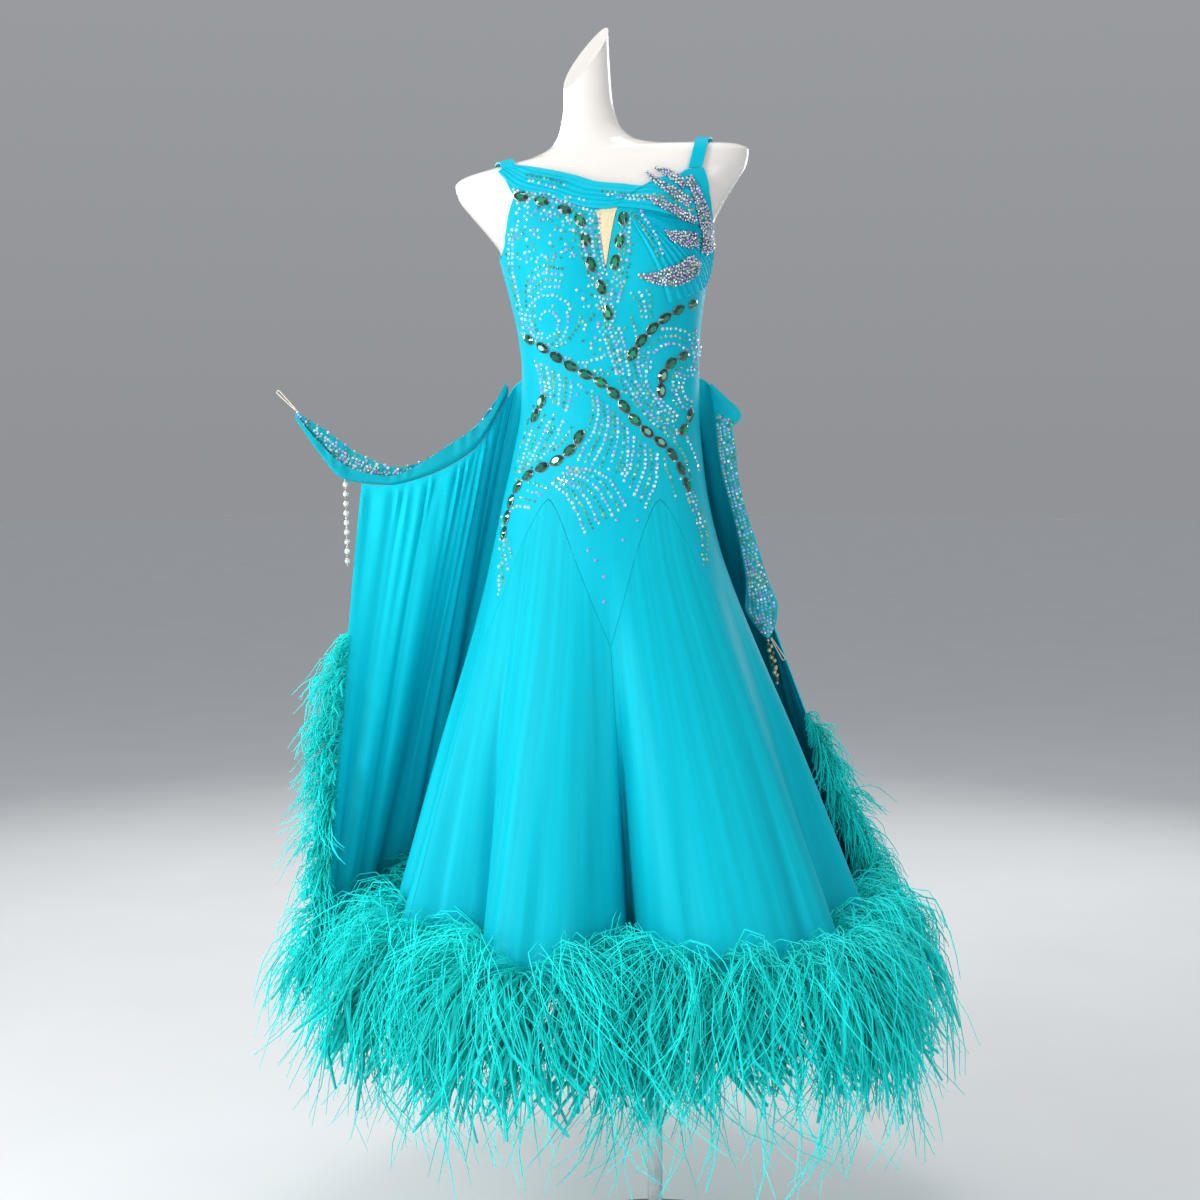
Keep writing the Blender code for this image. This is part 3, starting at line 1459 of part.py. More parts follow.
def skirt_trim(hem, skirt):
    """The trim right round the skirt, on its outer face just above the hem."""
    count = len(hem)
    ups = [(above - foot).normalized() for foot, above in hem]
    normals = [
        (hem[(i + 1) % count][0] - hem[i - 1][0]).cross(up).normalized() for i, up in enumerate(ups)
    ]
    inner, outer, depths, bare = [[], []], [[], []], [], set()
    for i, ((foot, _), up, normal) in enumerate(zip(hem, ups, normals)):
        beside = hem[i - 1][0].lerp(hem[(i + 1) % count][0], 0.5)
        hollow = max((beside - foot).dot(normal), 0)
        span = (hem[(i + 1) % count][0] - hem[i - 1][0]).length
        narrow = smooth_step(*TRIM_NARROW, hollow / span)
        off = TRIM_LIFT + min(hollow * narrow, TRIM_BRIDGE)
        depths.append(TRIM_DEPTH + narrow * (TRIM_DEPTH_NARROW - TRIM_DEPTH))
        if narrow > 0.5:
            bare |= {(2 * i - 1) % (2 * count), 2 * i}
        for row, height in enumerate((TRIM_ABOVE_HEM + TRIM_HEIGHT, TRIM_ABOVE_HEM)):
            inner[row].append(foot + height * up + off * normal)
            outer[row].append(inner[row][-1] + CLOTH * normal)
    for line in inner + outer:
        line.append(line[0])
    raise_clear(skirt, outer, inner)
    walls = []
    for high, low, normal, depth in zip(inner[0], inner[1], normals, depths):
        walls.append((high, low, high.lerp(low, 0.5) + depth * normal))
    stations = []
    for here, after in zip(walls, walls[1:] + walls[:1]):
        stations.append(here)
        stations.append(tuple(a.lerp(b, 0.5) for a, b in zip(here, after)))
    return Trim("feathers_skirt", stations, SKIRT_LOCKS, True, bare)


def rim_station(rim, normal, out):
    """A trim's section off the rim of a wall: out points away from the cloth."""
    middle = rim - CLOTH / 2 * normal + TRIM_LIFT * out
    side = RIM_TRIM_HALF_WIDTH * normal
    return middle + side, middle - side, middle + RIM_TRIM_DEPTH * out


def float_trims(side, grid):
    """A trim under a float's foot, and one down its free edge."""
    normals = grid_normals(grid)
    foot = [
        rim_station(here, normal, (here - above).normalized())
        for here, above, normal in zip(grid[-1], grid[-2], normals[-1])
    ]
    place, beside = (0, 1) if side == "right" else (-1, -2)
    foot = foot[2:] if side == "right" else foot[:-2]
    edge = []
    for row in range(len(grid) - 1):
        for share in (0.0, 0.25, 0.5, 0.75):
            here = grid[row][place].lerp(grid[row + 1][place], share)
            away = here - grid[row][beside].lerp(grid[row + 1][beside], share)
            run = (grid[row + 1][place] - grid[row][place]).normalized()
            out = (away - away.dot(run) * run).normalized()
            normal = normals[row][place].lerp(normals[row + 1][place], share).normalized()
            if EDGE_TRIM_FOOT < here.z < EDGE_TRIM_TOP[side]:
                edge.append(rim_station(here, normal, out))
    if side == "left":
        edge.reverse()
    return [
        Trim("feathers_float_" + side, foot, FLOAT_LOCKS, False, set()),
        Trim("feathers_edge_" + side, edge, EDGE_LOCKS, False, set()),
    ]


# ---- the whole -------------------------------------------------------------------------------------


def add_bands_and_beads(grids):
    add_left_band(grids["left"])
    add_right_band()
    add_strand(
        "bead_strand_left",
        Vector((-0.5027, 0.0246, 1.2857)),
        Vector((-0.500, 0.0200, 1.2857 - 9 * BEAD_PITCH)),
        9,
        "pearl",
    )
    add_strand(
        "bead_strand_right",
        Vector((0.1861, 0.0596, 1.0241)),
        Vector((0.2026, 0.0616, 1.0241 - 5 * BEAD_PITCH)),
        5,
        "emerald",
    )
    add_loop(
        "finger_loop_left",
        Vector((-0.5794, 0.0188, 1.3976)),
        Vector((-0.6094, 0.0188, 1.4286)),
        "elastic",
    )
    add_loop(
        "finger_loop_right",
        Vector((0.1916, 0.0606, 1.0242)),
        Vector((0.2142, 0.0611, 0.9872)),
        "elastic",
    )


def build():
    for old in list(bpy.data.objects):
        bpy.data.objects.remove(old)
    skin = add_form()
    add_stand()
    form = tree_of([bpy.data.objects["dress_form"]])
    bodice = add_bodice(form)
    add_keyhole(form)
    hem = add_godets()
    straps = [add_strap(strap, skin) for strap in STRAPS]
    ground = tree_of(bodice + straps)
    drapes = [add_scarf(ground), add_fan(ground)]
    draped = tree_of(bodice + straps + drapes)
    add_leaves(draped)
    add_chains(draped)
    grids = add_floats(ground)
    add_bands_and_beads(grids)
    skirt = tree_of([made for made in bpy.data.objects if made.name.startswith("godet")])
    trims = [skirt_trim(hem, skirt)]
    for side in ("left", "right"):
        trims += float_trims(side, grids[side])
    soft = ("godet", "float", "wrist", "bead")
    bed = FeatherBed([made for made in bpy.data.objects if made.name.startswith(soft)], trims)
    for trim in trims:
        add_trim(trim, bed)


build()
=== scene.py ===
"""The looks of a turquoise ballroom gown on its dress form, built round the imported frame.

Metres, +Z up, the gown's front faces -Y, and right is +X. Angles round the body are in degrees from
the front, positive towards +X. The file follows the gown as it is put together: the studio, the form
and its stand, the bodice, the keyhole and the skirt, the straps and pleats, the leaves, the floats
with their bands and beads, the feathers, and the stones.
"""

import math
from collections import namedtuple

import bmesh
import bpy
import numpy as np
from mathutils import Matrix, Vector
from mathutils.bvhtree import BVHTree


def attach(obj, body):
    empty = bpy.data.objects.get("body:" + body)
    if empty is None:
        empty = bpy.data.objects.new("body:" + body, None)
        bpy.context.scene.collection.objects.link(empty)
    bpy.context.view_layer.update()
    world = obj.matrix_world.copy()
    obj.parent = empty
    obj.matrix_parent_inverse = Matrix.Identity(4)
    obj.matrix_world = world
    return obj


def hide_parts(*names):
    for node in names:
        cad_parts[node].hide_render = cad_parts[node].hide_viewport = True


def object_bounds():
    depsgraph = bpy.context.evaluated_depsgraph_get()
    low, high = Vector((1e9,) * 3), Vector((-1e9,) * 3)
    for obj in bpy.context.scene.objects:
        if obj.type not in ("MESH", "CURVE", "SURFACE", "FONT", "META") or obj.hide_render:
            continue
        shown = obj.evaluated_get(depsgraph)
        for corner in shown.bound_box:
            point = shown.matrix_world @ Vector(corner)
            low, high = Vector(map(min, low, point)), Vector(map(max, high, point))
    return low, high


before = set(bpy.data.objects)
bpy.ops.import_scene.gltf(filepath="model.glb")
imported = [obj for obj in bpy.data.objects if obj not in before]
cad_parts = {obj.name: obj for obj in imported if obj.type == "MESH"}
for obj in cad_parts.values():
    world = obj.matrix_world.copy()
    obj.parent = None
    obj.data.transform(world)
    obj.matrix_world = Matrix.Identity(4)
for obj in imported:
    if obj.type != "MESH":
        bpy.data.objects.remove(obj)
cad_box = [list(corner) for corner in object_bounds()]

# ---- the studio ----
# A plain pale floor and soft boxes all round. The camera stands level with the bust, a little to the
# gown's left of centre, and looks slightly down.

CAMERA_PLACE = (0.0, -3.0, 1.35)
PICTURE_SIDE, FOCAL_LENGTH = 1200, 1860  # both in pixels
AXIS_COLUMN, LEVEL_ROW = 655, 440  # where the gown's axis and the camera's height are in the picture
SENSOR = 36.0

scene = bpy.context.scene
scene.view_settings.view_transform = "Standard"

camera = bpy.data.objects.new("camera", bpy.data.cameras.new("camera"))
scene.collection.objects.link(camera)
scene.camera = camera
camera.data.sensor_width = SENSOR
camera.data.lens = SENSOR * FOCAL_LENGTH / PICTURE_SIDE
camera.location = CAMERA_PLACE
camera.rotation_euler.x = math.pi / 2 - math.atan((PICTURE_SIDE / 2 - LEVEL_ROW) / FOCAL_LENGTH)
camera.data.shift_x = (PICTURE_SIDE / 2 - AXIS_COLUMN) / PICTURE_SIDE

SoftBox = namedtuple("SoftBox", "name place side power")
SOFT_BOXES = [
    SoftBox("key", (-2.5, -2.7, 2.7), 0.9, 72),
    SoftBox("fill", (2.6, -3.0, 1.6), 2.0, 31),
    SoftBox("low", (-0.8, -3.6, 0.9), 1.2, 19),
    SoftBox("side_left", (-3.0, -0.9, 1.2), 1.4, 44),
    SoftBox("back_left", (-2.0, 3.2, 2.6), 1.4, 42),
    SoftBox("back_right", (2.0, 3.2, 2.2), 1.4, 36),
    SoftBox("top", (0.0, 0.2, 4.0), 1.2, 26),
]
LIT_CENTRE = Vector((-0.05, 0.0, 1.15))
for box in SOFT_BOXES:
    light = bpy.data.lights.new(box.name, "AREA")
    light.size, light.energy = box.side, box.power
    lamp = bpy.data.objects.new(box.name, light)
    scene.collection.objects.link(lamp)
    lamp.location = box.place
    lamp.rotation_euler = (LIT_CENTRE - lamp.location).to_track_quat("-Z", "Y").to_euler()


def feed(tree, node, inputs):
    """Sets a node's inputs, each to a value or to the output that feeds it."""
    for socket, value in inputs.items():
        if isinstance(value, bpy.types.NodeSocket):
            tree.links.new(value, node.inputs[socket])
        else:
            node.inputs[socket].default_value = value


def add_node(tree, kind, inputs=None, **settings):
    made = tree.nodes.new(kind)
    for name, value in settings.items():
        setattr(made, name, value)
    feed(tree, made, inputs or {})
    return made


def output_of(tree, kind, inputs=None, **settings):
    """The first output in use of a new node."""
    made = add_node(tree, kind, inputs, **settings)
    return next(socket for socket in made.outputs if socket.enabled)


def two_tone(tree, share, dark, light, low=0.0, high=1.0):
    """A colour that goes from dark to light while its share goes from low to high."""
    ramp = add_node(tree, "ShaderNodeValToRGB", {"Fac": share})
    for element, place, colour in zip(ramp.color_ramp.elements, (low, high), (dark, light)):
        element.position, element.color = place, (*colour, 1)
    return ramp.outputs["Color"]


def new_material(name, **values):
    """A Principled material. The values are its sockets', with their spaces as underscores."""
    made = bpy.data.materials.new(name)
    made.use_nodes = True
    shader = made.node_tree.nodes["Principled BSDF"]
    for socket, value in values.items():
        shader.inputs[socket.replace("_", " ")].default_value = value
    return made, made.node_tree, shader


SKY_LOW, SKY_HIGH = (0.285, 0.295, 0.310), (0.44, 0.455, 0.48)
world = bpy.data.worlds.new("studio")
scene.world = world
world.use_nodes = True
sky = world.node_tree
sky_place = add_node(sky, "ShaderNodeTexCoord").outputs["Generated"]
sky_height = add_node(sky, "ShaderNodeSeparateXYZ", {0: sky_place}).outputs["Z"]
feed(sky, sky.nodes["Background"], {"Color": two_tone(sky, sky_height, SKY_LOW, SKY_HIGH)})

FLOOR_RADIUS, FLOOR_DROP, FLOOR_SIDES = 30.0, 0.0004, 96
FLOOR_DARK, FLOOR_LIGHT, FLOOR_MOTTLING = (0.70, 0.71, 0.72), (0.75, 0.76, 0.77), 3.0
floor_material, floor_tree, floor_shader = new_material("pale_floor", Roughness=0.7, Specular_IOR_Level=0.1)
floor_place = add_node(floor_tree, "ShaderNodeTexCoord").outputs["Object"]
floor_noise = output_of(floor_tree, "ShaderNodeTexNoise", {"Vector": floor_place, "Scale": FLOOR_MOTTLING})
feed(floor_tree, floor_shader, {"Base Color": two_tone(floor_tree, floor_noise, FLOOR_DARK, FLOOR_LIGHT)})
floor_shape = bmesh.new()
bmesh.ops.create_circle(floor_shape, cap_ends=True, radius=FLOOR_RADIUS, segments=FLOOR_SIDES)
for vertex in floor_shape.verts:
    vertex.co.z = -FLOOR_DROP
floor_mesh = bpy.data.meshes.new("floor")
floor_shape.to_mesh(floor_mesh)
floor_shape.free()
floor_mesh.materials.append(floor_material)
floor = bpy.data.objects.new("floor", floor_mesh)
scene.collection.objects.link(floor)

# ---- the dress form ----
# A limbless torso of glossy off-white plastic, hollow-moulded in one piece: hips, bust, shoulder caps
# cut flat and a slanting neck. Its shoulder line tilts, and the gown's outer face is its skin, let out.

FORM_INSET = 0.0060  # the form's skin, under the gown's outer face
CLOTH, SEAM, LAYER = 0.002, 0.0003, 0.0012  # the cloth's thickness, and the gaps between pieces
HEM_HEIGHT, WAIST_HEIGHT = 0.545, 1.452
FOLD_START_HEIGHT, FOLD_GROWTH = 1.17, 1.35
SHOULDER_TILT, TILT_FROM, TILT_TO = 0.125, 1.46, 1.72
SQUARENESS = 0.07
BUST_HEIGHT, BUST_OUT, BUST_SPREAD, BUST_HALF_GAP = 1.605, 0.020, 0.046, 0.074
BUST_FADE = 0.30  # the bust dies out towards the sides


def table_of(kind, *rows):
    """The rows of a table, with the names of its kind's columns."""
    return [kind(*row) for row in rows]


Section = namedtuple("Section", "height centre_x half_width front_depth back_depth")
SECTIONS = table_of(
    Section,
    (0.450, -0.026, 0.412, 0.396, 0.430), (0.545, -0.035, 0.385, 0.370, 0.400),
    (0.700, -0.045, 0.338, 0.322, 0.345), (0.870, -0.056, 0.284, 0.262, 0.285),
    (1.030, -0.067, 0.228, 0.200, 0.225), (1.120, -0.074, 0.199, 0.162, 0.187),
    (1.180, -0.078, 0.182, 0.140, 0.163), (1.250, -0.079, 0.166, 0.123, 0.145),
    (1.320, -0.076, 0.153, 0.112, 0.128), (1.400, -0.072, 0.143, 0.103, 0.106),
    (1.460, -0.071, 0.142, 0.099, 0.097), (1.520, -0.073, 0.146, 0.104, 0.098),
    (1.580, -0.075, 0.156, 0.113, 0.104), (1.620, -0.076, 0.164, 0.116, 0.107),
    (1.665, -0.078, 0.174, 0.112, 0.108), (1.700, -0.080, 0.194, 0.103, 0.106),
    (1.735, -0.082, 0.219, 0.091, 0.098), (1.760, -0.083, 0.235, 0.083, 0.089),
    (1.777, -0.084, 0.238, 0.076, 0.081), (1.788, -0.086, 0.224, 0.070, 0.076),
    (1.796, -0.089, 0.180, 0.066, 0.072), (1.803, -0.094, 0.114, 0.062, 0.068),
    (1.817, -0.100, 0.071, 0.057, 0.062), (1.842, -0.104, 0.053, 0.051, 0.056),
    (1.880, -0.106, 0.045, 0.047, 0.052), (1.950, -0.108, 0.042, 0.044, 0.049),
    (2.030, -0.109, 0.040, 0.042, 0.046),
)
Fold = namedtuple("Fold", "angle out")
SKIRT_FOLDS = table_of(
    Fold,
    (-180, 0.026), (-165, -0.036), (-150, 0.030), (-134, -0.040), (-119, 0.026), (-104, -0.036),
    (-90, 0.018), (-77, -0.038), (-62, 0.028), (-45, -0.062), (-27, 0.034), (-14, 0.008), (0, -0.104),
    (12, 0.006), (31, 0.040), (50, 0.030), (66, -0.050), (79, 0.014), (92, -0.036), (106, 0.022),
    (120, -0.036), (136, 0.028), (150, -0.034), (165, 0.020), (180, 0.026),
)


def column(table, name):
    return np.array([getattr(row, name) for row in table], float)


def curve_through(places, values):
    """A smooth function of arrays through values at places, by cubic pieces that never overshoot."""
    places, values = np.asarray(places, float), np.asarray(values, float)
    steps = np.diff(places)
    rises = np.diff(values) / steps
    product = rises[:-1] * rises[1:]
    total = np.where(product > 0, rises[:-1] + rises[1:], 1.0)
    inner = np.where(product > 0, 2 * product / total, 0.0)
    slopes = np.concatenate([rises[:1], inner, rises[-1:]])

    def value(place):
        place = np.clip(np.asarray(place, float), places[0], places[-1])
        span = np.clip(np.searchsorted(places, place, side="right") - 1, 0, len(steps) - 1)
        share = (place - places[span]) / steps[span]
        low, high = values[span], values[span + 1]
        low_slope, high_slope = slopes[span] * steps[span], slopes[span + 1] * steps[span]
        return (
            low * (1 + 2 * share) * (1 - share) ** 2
            + low_slope * share * (1 - share) ** 2
            + high * (3 - 2 * share) * share**2
            - high_slope * (1 - share) * share**2
        )

    return value


def smooth_rows(table, count):
    """As many rows as asked for, on smooth curves through the rows of a short table."""
    table = np.asarray(table, float)
    places = np.linspace(0, len(table) - 1, count)
    return np.stack([curve_through(range(len(table)), line)(places) for line in table.T], axis=1)


def smooth_step(low, high, value):
    share = np.clip((value - low) / (high - low), 0.0, 1.0)
    return share * share * (3 - 2 * share)


heights = column(SECTIONS, "height")
section_centre = curve_through(heights, column(SECTIONS, "centre_x"))
section_width = curve_through(heights, column(SECTIONS, "half_width"))
section_front = curve_through(heights, column(SECTIONS, "front_depth"))
section_back = curve_through(heights, column(SECTIONS, "back_depth"))
fold_out = curve_through(column(SKIRT_FOLDS, "angle"), column(SKIRT_FOLDS, "out"))


def fold_share(height):
    """How far the skirt's folds have grown: none at the hip, all at the hem."""
    share = (FOLD_START_HEIGHT - height) / (FOLD_START_HEIGHT - HEM_HEIGHT)
    return np.maximum(share, 0.0) ** FOLD_GROWTH


# Sharp soft creases in the hanging skirt: the angle each lies at, its half width there, how deep it is
# at the hem, and the height from which it has grown.
Crease = namedtuple("Crease", "angle half_width depth from_height")
CREASES = table_of(
    Crease,
    (1.6, 1.7, 0.060, 1.08), (0.2, 0.7, 0.014, 1.12), (-44.0, 2.2, 0.030, 1.06),
    (-33.0, 2.6, 0.014, 1.08), (-20.5, 1.6, 0.006, 0.90), (-9.0, 1.8, 0.006, 0.86),
    (15.0, 2.0, 0.007, 0.95), (24.5, 1.5, 0.005, 0.82), (41.0, 1.9, 0.009, 1.00),
    (57.0, 2.2, 0.012, 1.04), (-55.0, 2.2, 0.012, 1.02), (-84.0, 2.4, 0.012, 1.00),
    (86.0, 2.2, 0.010, 0.98), (113.0, 2.0, 0.009, 0.96), (143.0, 2.2, 0.012, 1.02),
    (172.0, 1.8, 0.008, 0.92), (-158.0, 2.0, 0.009, 0.96), (-127.0, 2.2, 0.012, 1.02),
    (-111.0, 1.8, 0.008, 0.90),
)


def creases(angle, height):
    """How far the creases draw the skirt in."""
    total = np.zeros_like(angle)
    for crease in CREASES:
        off = (angle - crease.angle + 180) % 360 - 180
        off = off / crease.half_width + 0.5 * np.sin(9.0 * height + crease.angle)
        grown = smooth_step(crease.from_height, HEM_HEIGHT, height)
        total = total + crease.depth * grown * np.exp(-(off**2))
    return total


def upright(angle, height):
    """The gown's outer face before the shoulder line tilts."""
    angle, height = np.broadcast_arrays(np.asarray(angle, float), np.asarray(height, float))
    across, along = np.sin(np.radians(angle)), np.cos(np.radians(angle))
    out = fold_out((angle + 180) % 360 - 180) * fold_share(height) - creases(angle, height)
    depth = np.where(along > 0, section_front(height), section_back(height))
    x = (section_width(height) + out) * across * (1 + SQUARENESS * along**2)
    y = -(depth + out) * along * (1 + SQUARENESS * across**2)
    for side in (-1, 1):
        off = (x - side * BUST_HALF_GAP) ** 2 + (height - BUST_HEIGHT) ** 2
        bust = BUST_OUT * np.exp(-off / (2 * BUST_SPREAD**2))
        y = y - bust * smooth_step(0, BUST_FADE, along)
    return np.stack([section_centre(height) + x, y, height], axis=-1)


def tilt_at(aside, height):
    return SHOULDER_TILT * aside * smooth_step(TILT_FROM, TILT_TO, height)


def posed(points):
    """Tilts the shoulder line, from the waist up."""
    points = np.array(points, float)
    height = points[..., 2].copy()
    points[..., 2] += tilt_at(points[..., 0] - section_centre(height), height)
    return points


def unit(vectors):
    length = np.linalg.norm(vectors, axis=-1, keepdims=True)
    return vectors / np.maximum(length, 1e-12)


def lifted(angle, height, lift, pose):
    """Points lift metres off the surface along its normal, posed or upright."""
    angle, height = np.asarray(angle, float), np.asarray(height, float)
    turn, rise = 0.5, 0.001
    across = pose(upright(angle + turn, height)) - pose(upright(angle - turn, height))
    along = pose(upright(angle, height + rise)) - pose(upright(angle, height - rise))
    return pose(upright(angle, height)) + np.expand_dims(lift, -1) * unit(np.cross(across, along))


def cloth_point(angle, height, lift=0.0):
    return lifted(angle, height, lift, posed)


def add_object(name, mesh, material, nodes=(), sharp_degrees=40):
    """A piece of the gown in the scene, riding on the frame, with the nodes that it stands for."""
    mesh.materials.clear()
    mesh.materials.append(material)
    mesh.shade_smooth()
    if sharp_degrees:
        mesh.set_sharp_from_angle(angle=math.radians(sharp_degrees))
    made = bpy.data.objects.new(name, mesh)
    scene.collection.objects.link(made)
    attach(made, "root")
    if nodes:
        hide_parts(*nodes)
    return made


def new_group(name, kind, inputs, outputs):
    """A node group with named sockets, the sockets that it is given, and its last node."""
    tree = bpy.data.node_groups.new(name, kind)
    for way, sockets in (("INPUT", inputs), ("OUTPUT", outputs)):
        for socket, form in sockets.items():
            tree.interface.new_socket(socket, in_out=way, socket_type="NodeSocket" + form)
    return tree, add_node(tree, "NodeGroupInput").outputs, add_node(tree, "NodeGroupOutput")


FINE_SPECKS = 12.0  # how many times finer than the rubs


def wear_group():
    """Faint rubs and specks for hard surfaces: a mask of wear, and a fine height."""
    inputs, outputs = {"Place": "Vector", "Size": "Float"}, {"Mask": "Float", "Height": "Float"}
    tree, given, last = new_group("faint_wear", "ShaderNodeTree", inputs, outputs)
    finer = output_of(tree, "ShaderNodeMath", {0: given["Size"], 1: FINE_SPECKS}, operation="MULTIPLY")
    rubs = {"Vector": given["Place"], "Scale": given["Size"], "Detail": 5.0}
    specks = {"Vector": given["Place"], "Scale": finer}
    mask, height = (output_of(tree, "ShaderNodeTexNoise", noise) for noise in (rubs, specks))
    feed(tree, last, {"Mask": mask, "Height": height})
    return tree


WEAR = wear_group()


def hard_material(name, dark, light, rough, size, bump, **values):
    """A smooth hard finish whose colour and gloss vary faintly with wear."""
    made, tree, shader = new_material(name, **values)
    place = add_node(tree, "ShaderNodeTexCoord").outputs["Object"]
    wear = add_node(tree, "ShaderNodeGroup", {"Place": place, "Size": size}, node_tree=WEAR).outputs
    gloss = {"Value": wear["Mask"], "To Min": rough[0], "To Max": rough[1]}
    raised = {"Height": wear["Height"], "Strength": bump, "Distance": 0.0004}
    inputs = {
        "Base Color": two_tone(tree, wear["Mask"], dark, light, 0.3, 0.7),
        "Roughness": output_of(tree, "ShaderNodeMapRange", gloss),
        "Normal": output_of(tree, "ShaderNodeBump", raised),
    }
    feed(tree, shader, inputs)
    return made


FORM_SIDES = 120
FORM_FOOT_HEIGHT, FOOT_RING_HEIGHT, FOOT_NARROWING = 1.165, 1.180, 0.86
# A flat cut through the form where a limb or the head would be; it reaches no lower than above.
Cut = namedtuple("Cut", "side_x height normal above")
CUTS = [
    Cut(-0.230, 1.745, (-0.90, -0.14, -0.42), 1.60), Cut(0.240, 1.750, (0.88, -0.14, -0.43), 1.60),
    Cut(0.000, 1.952, (-0.66, -0.42, 0.62), 1.85),
]


def form_ring(height, shrink=1.0):
    angles = -360 * np.arange(FORM_SIDES) / FORM_SIDES
    ring = lifted(angles, np.full(FORM_SIDES, height), -FORM_INSET, lambda points: points)
    ring[:, 2] = height
    centre = np.array([float(section_centre(height)), 0, height])
    return centre + (ring - centre) * shrink


def form_shape():
    """The form before its pose, as a bmesh of rings cut by the flat planes."""
    levels = np.concatenate([np.linspace(FOOT_RING_HEIGHT, 1.765, 76), np.linspace(1.770, 1.842, 36)])
    levels = np.concatenate([levels, np.linspace(1.848, 2.030, 16)])
    foot = form_ring(FOOT_RING_HEIGHT, FOOT_NARROWING)
    foot[:, 2] = FORM_FOOT_HEIGHT
    rings = [foot] + [form_ring(float(level)) for level in levels]
    shape = bmesh.new()
    made = [[shape.verts.new(p) for p in ring] for ring in rings]
    for low, high in zip(made, made[1:]):
        for i in range(FORM_SIDES):
            j = (i + 1) % FORM_SIDES
            shape.faces.new((low[i], high[i], high[j], low[j]))
    shape.faces.new(made[0])
    shape.faces.new(list(reversed(made[-1])))
    bmesh.ops.recalc_face_normals(shape, faces=shape.faces)
    for cut in CUTS:
        verts = [vert for vert in shape.verts if vert.co.z > cut.above]
        edges = [edge for edge in shape.edges if all(v.co.z > cut.above for v in edge.verts)]
        faces = [face for face in shape.faces if all(v.co.z > cut.above for v in face.verts)]
        cut_off = bmesh.ops.bisect_plane(
            shape, geom=verts + edges + faces,
            plane_co=(float(section_centre(cut.height)) + cut.side_x, 0, cut.height),
            plane_no=Vector(cut.normal).normalized(), clear_outer=True,
        )
        rim = [edge for edge in cut_off["geom_cut"] if isinstance(edge, bmesh.types.BMEdge)]
        bmesh.ops.contextual_create(shape, geom=rim)
    bmesh.ops.remove_doubles(shape, verts=shape.verts, dist=0.0004)
    bmesh.ops.recalc_face_normals(shape, faces=shape.faces)
    return shape


form_bmesh = form_shape()
upright_skin = BVHTree.FromBMesh(form_bmesh)
for vertex in form_bmesh.verts:
    vertex.co = Vector(posed(np.array(vertex.co)))
form_mesh = bpy.data.meshes.new("form_skin")
form_bmesh.to_mesh(form_mesh)
form_bmesh.free()
form_material = hard_material(
    "moulded_plastic", (0.80, 0.75, 0.70), (0.88, 0.84, 0.79), (0.16, 0.26), 7.0, 0.05,
    Coat_Weight=0.35, Coat_Roughness=0.12,
)
add_object("form_torso", form_mesh, form_material, ["dress_form"], 35)

# ---- the stand ----
# A round steel base plate with a turned collar, and a chromed pole that carries the form. Both are
# turned about an upright axis from their profile.

POLE_RADIUS, POLE_JOIN_HEIGHT = 0.0125, 0.62
BASE_RADIUS, BASE_THICKNESS = 0.19, 0.014
COLLAR_RADIUS, COLLAR_TOP = 0.022, 0.060
EDGE_RADIUS = 0.004
TURNED_SIDES = 96
BASE_PROFILE = [
    (COLLAR_RADIUS - 0.0025, COLLAR_TOP), (COLLAR_RADIUS - 0.0007, COLLAR_TOP - 0.0007),
    (COLLAR_RADIUS, COLLAR_TOP - 0.0025), (COLLAR_RADIUS, BASE_THICKNESS + 0.004),
    (COLLAR_RADIUS + 0.0012, BASE_THICKNESS + 0.0012), (COLLAR_RADIUS + 0.004, BASE_THICKNESS),
    (BASE_RADIUS - EDGE_RADIUS, BASE_THICKNESS),
    (BASE_RADIUS - 0.3 * EDGE_RADIUS, BASE_THICKNESS - 0.3 * EDGE_RADIUS),
    (BASE_RADIUS, BASE_THICKNESS - EDGE_RADIUS), (BASE_RADIUS, 0.0015), (BASE_RADIUS - 0.0015, 0.0),
]
POLE_PROFILE = [
    (POLE_RADIUS, FORM_FOOT_HEIGHT - SEAM), (POLE_RADIUS, POLE_JOIN_HEIGHT),
    (POLE_RADIUS, COLLAR_TOP + SEAM),
]


def mesh_from(name, points, faces, edges=()):
    mesh = bpy.data.meshes.new(name)
    mesh.from_pydata(points, edges, faces)
    return mesh


def turned(name, profile, sides):
    """A closed solid turned about the upright axis, from (radius, height) points that run down."""
    points = [(0.0, 0.0, profile[0][1])]
    for radius, height in profile:
        for i in range(sides):
            turn = 2 * math.pi * i / sides
            points.append((radius * math.cos(turn), radius * math.sin(turn), height))
    points.append((0.0, 0.0, profile[-1][1]))
    faces, last, foot = [], len(points) - 1, 1 + (len(profile) - 1) * sides
    for i in range(sides):
        j = (i + 1) % sides
        faces.append((0, 1 + i, 1 + j))
        for ring in range(len(profile) - 1):
            top, low = 1 + ring * sides, 1 + (ring + 1) * sides
            faces.append((top + i, low + i, low + j, top + j))
        faces.append((last, foot + j, foot + i))
    return mesh_from(name, points, faces)


chrome = hard_material(
    "brushed_chrome", (0.52, 0.54, 0.55), (0.70, 0.72, 0.73), (0.16, 0.30), 30.0, 0.06, Metallic=1.0
)
for node, profile in (("stand_base", BASE_PROFILE), ("stand_pole", POLE_PROFILE)):
    add_object("turned_" + node, turned(node, profile, TURNED_SIDES), chrome, [node], 35)

# ---- the bodice ----
# Stretch lycra with a silky face, cut as one front and two back halves, from the neckline down to
# points between the godets. A notch in the front's neckline is the keyhole.

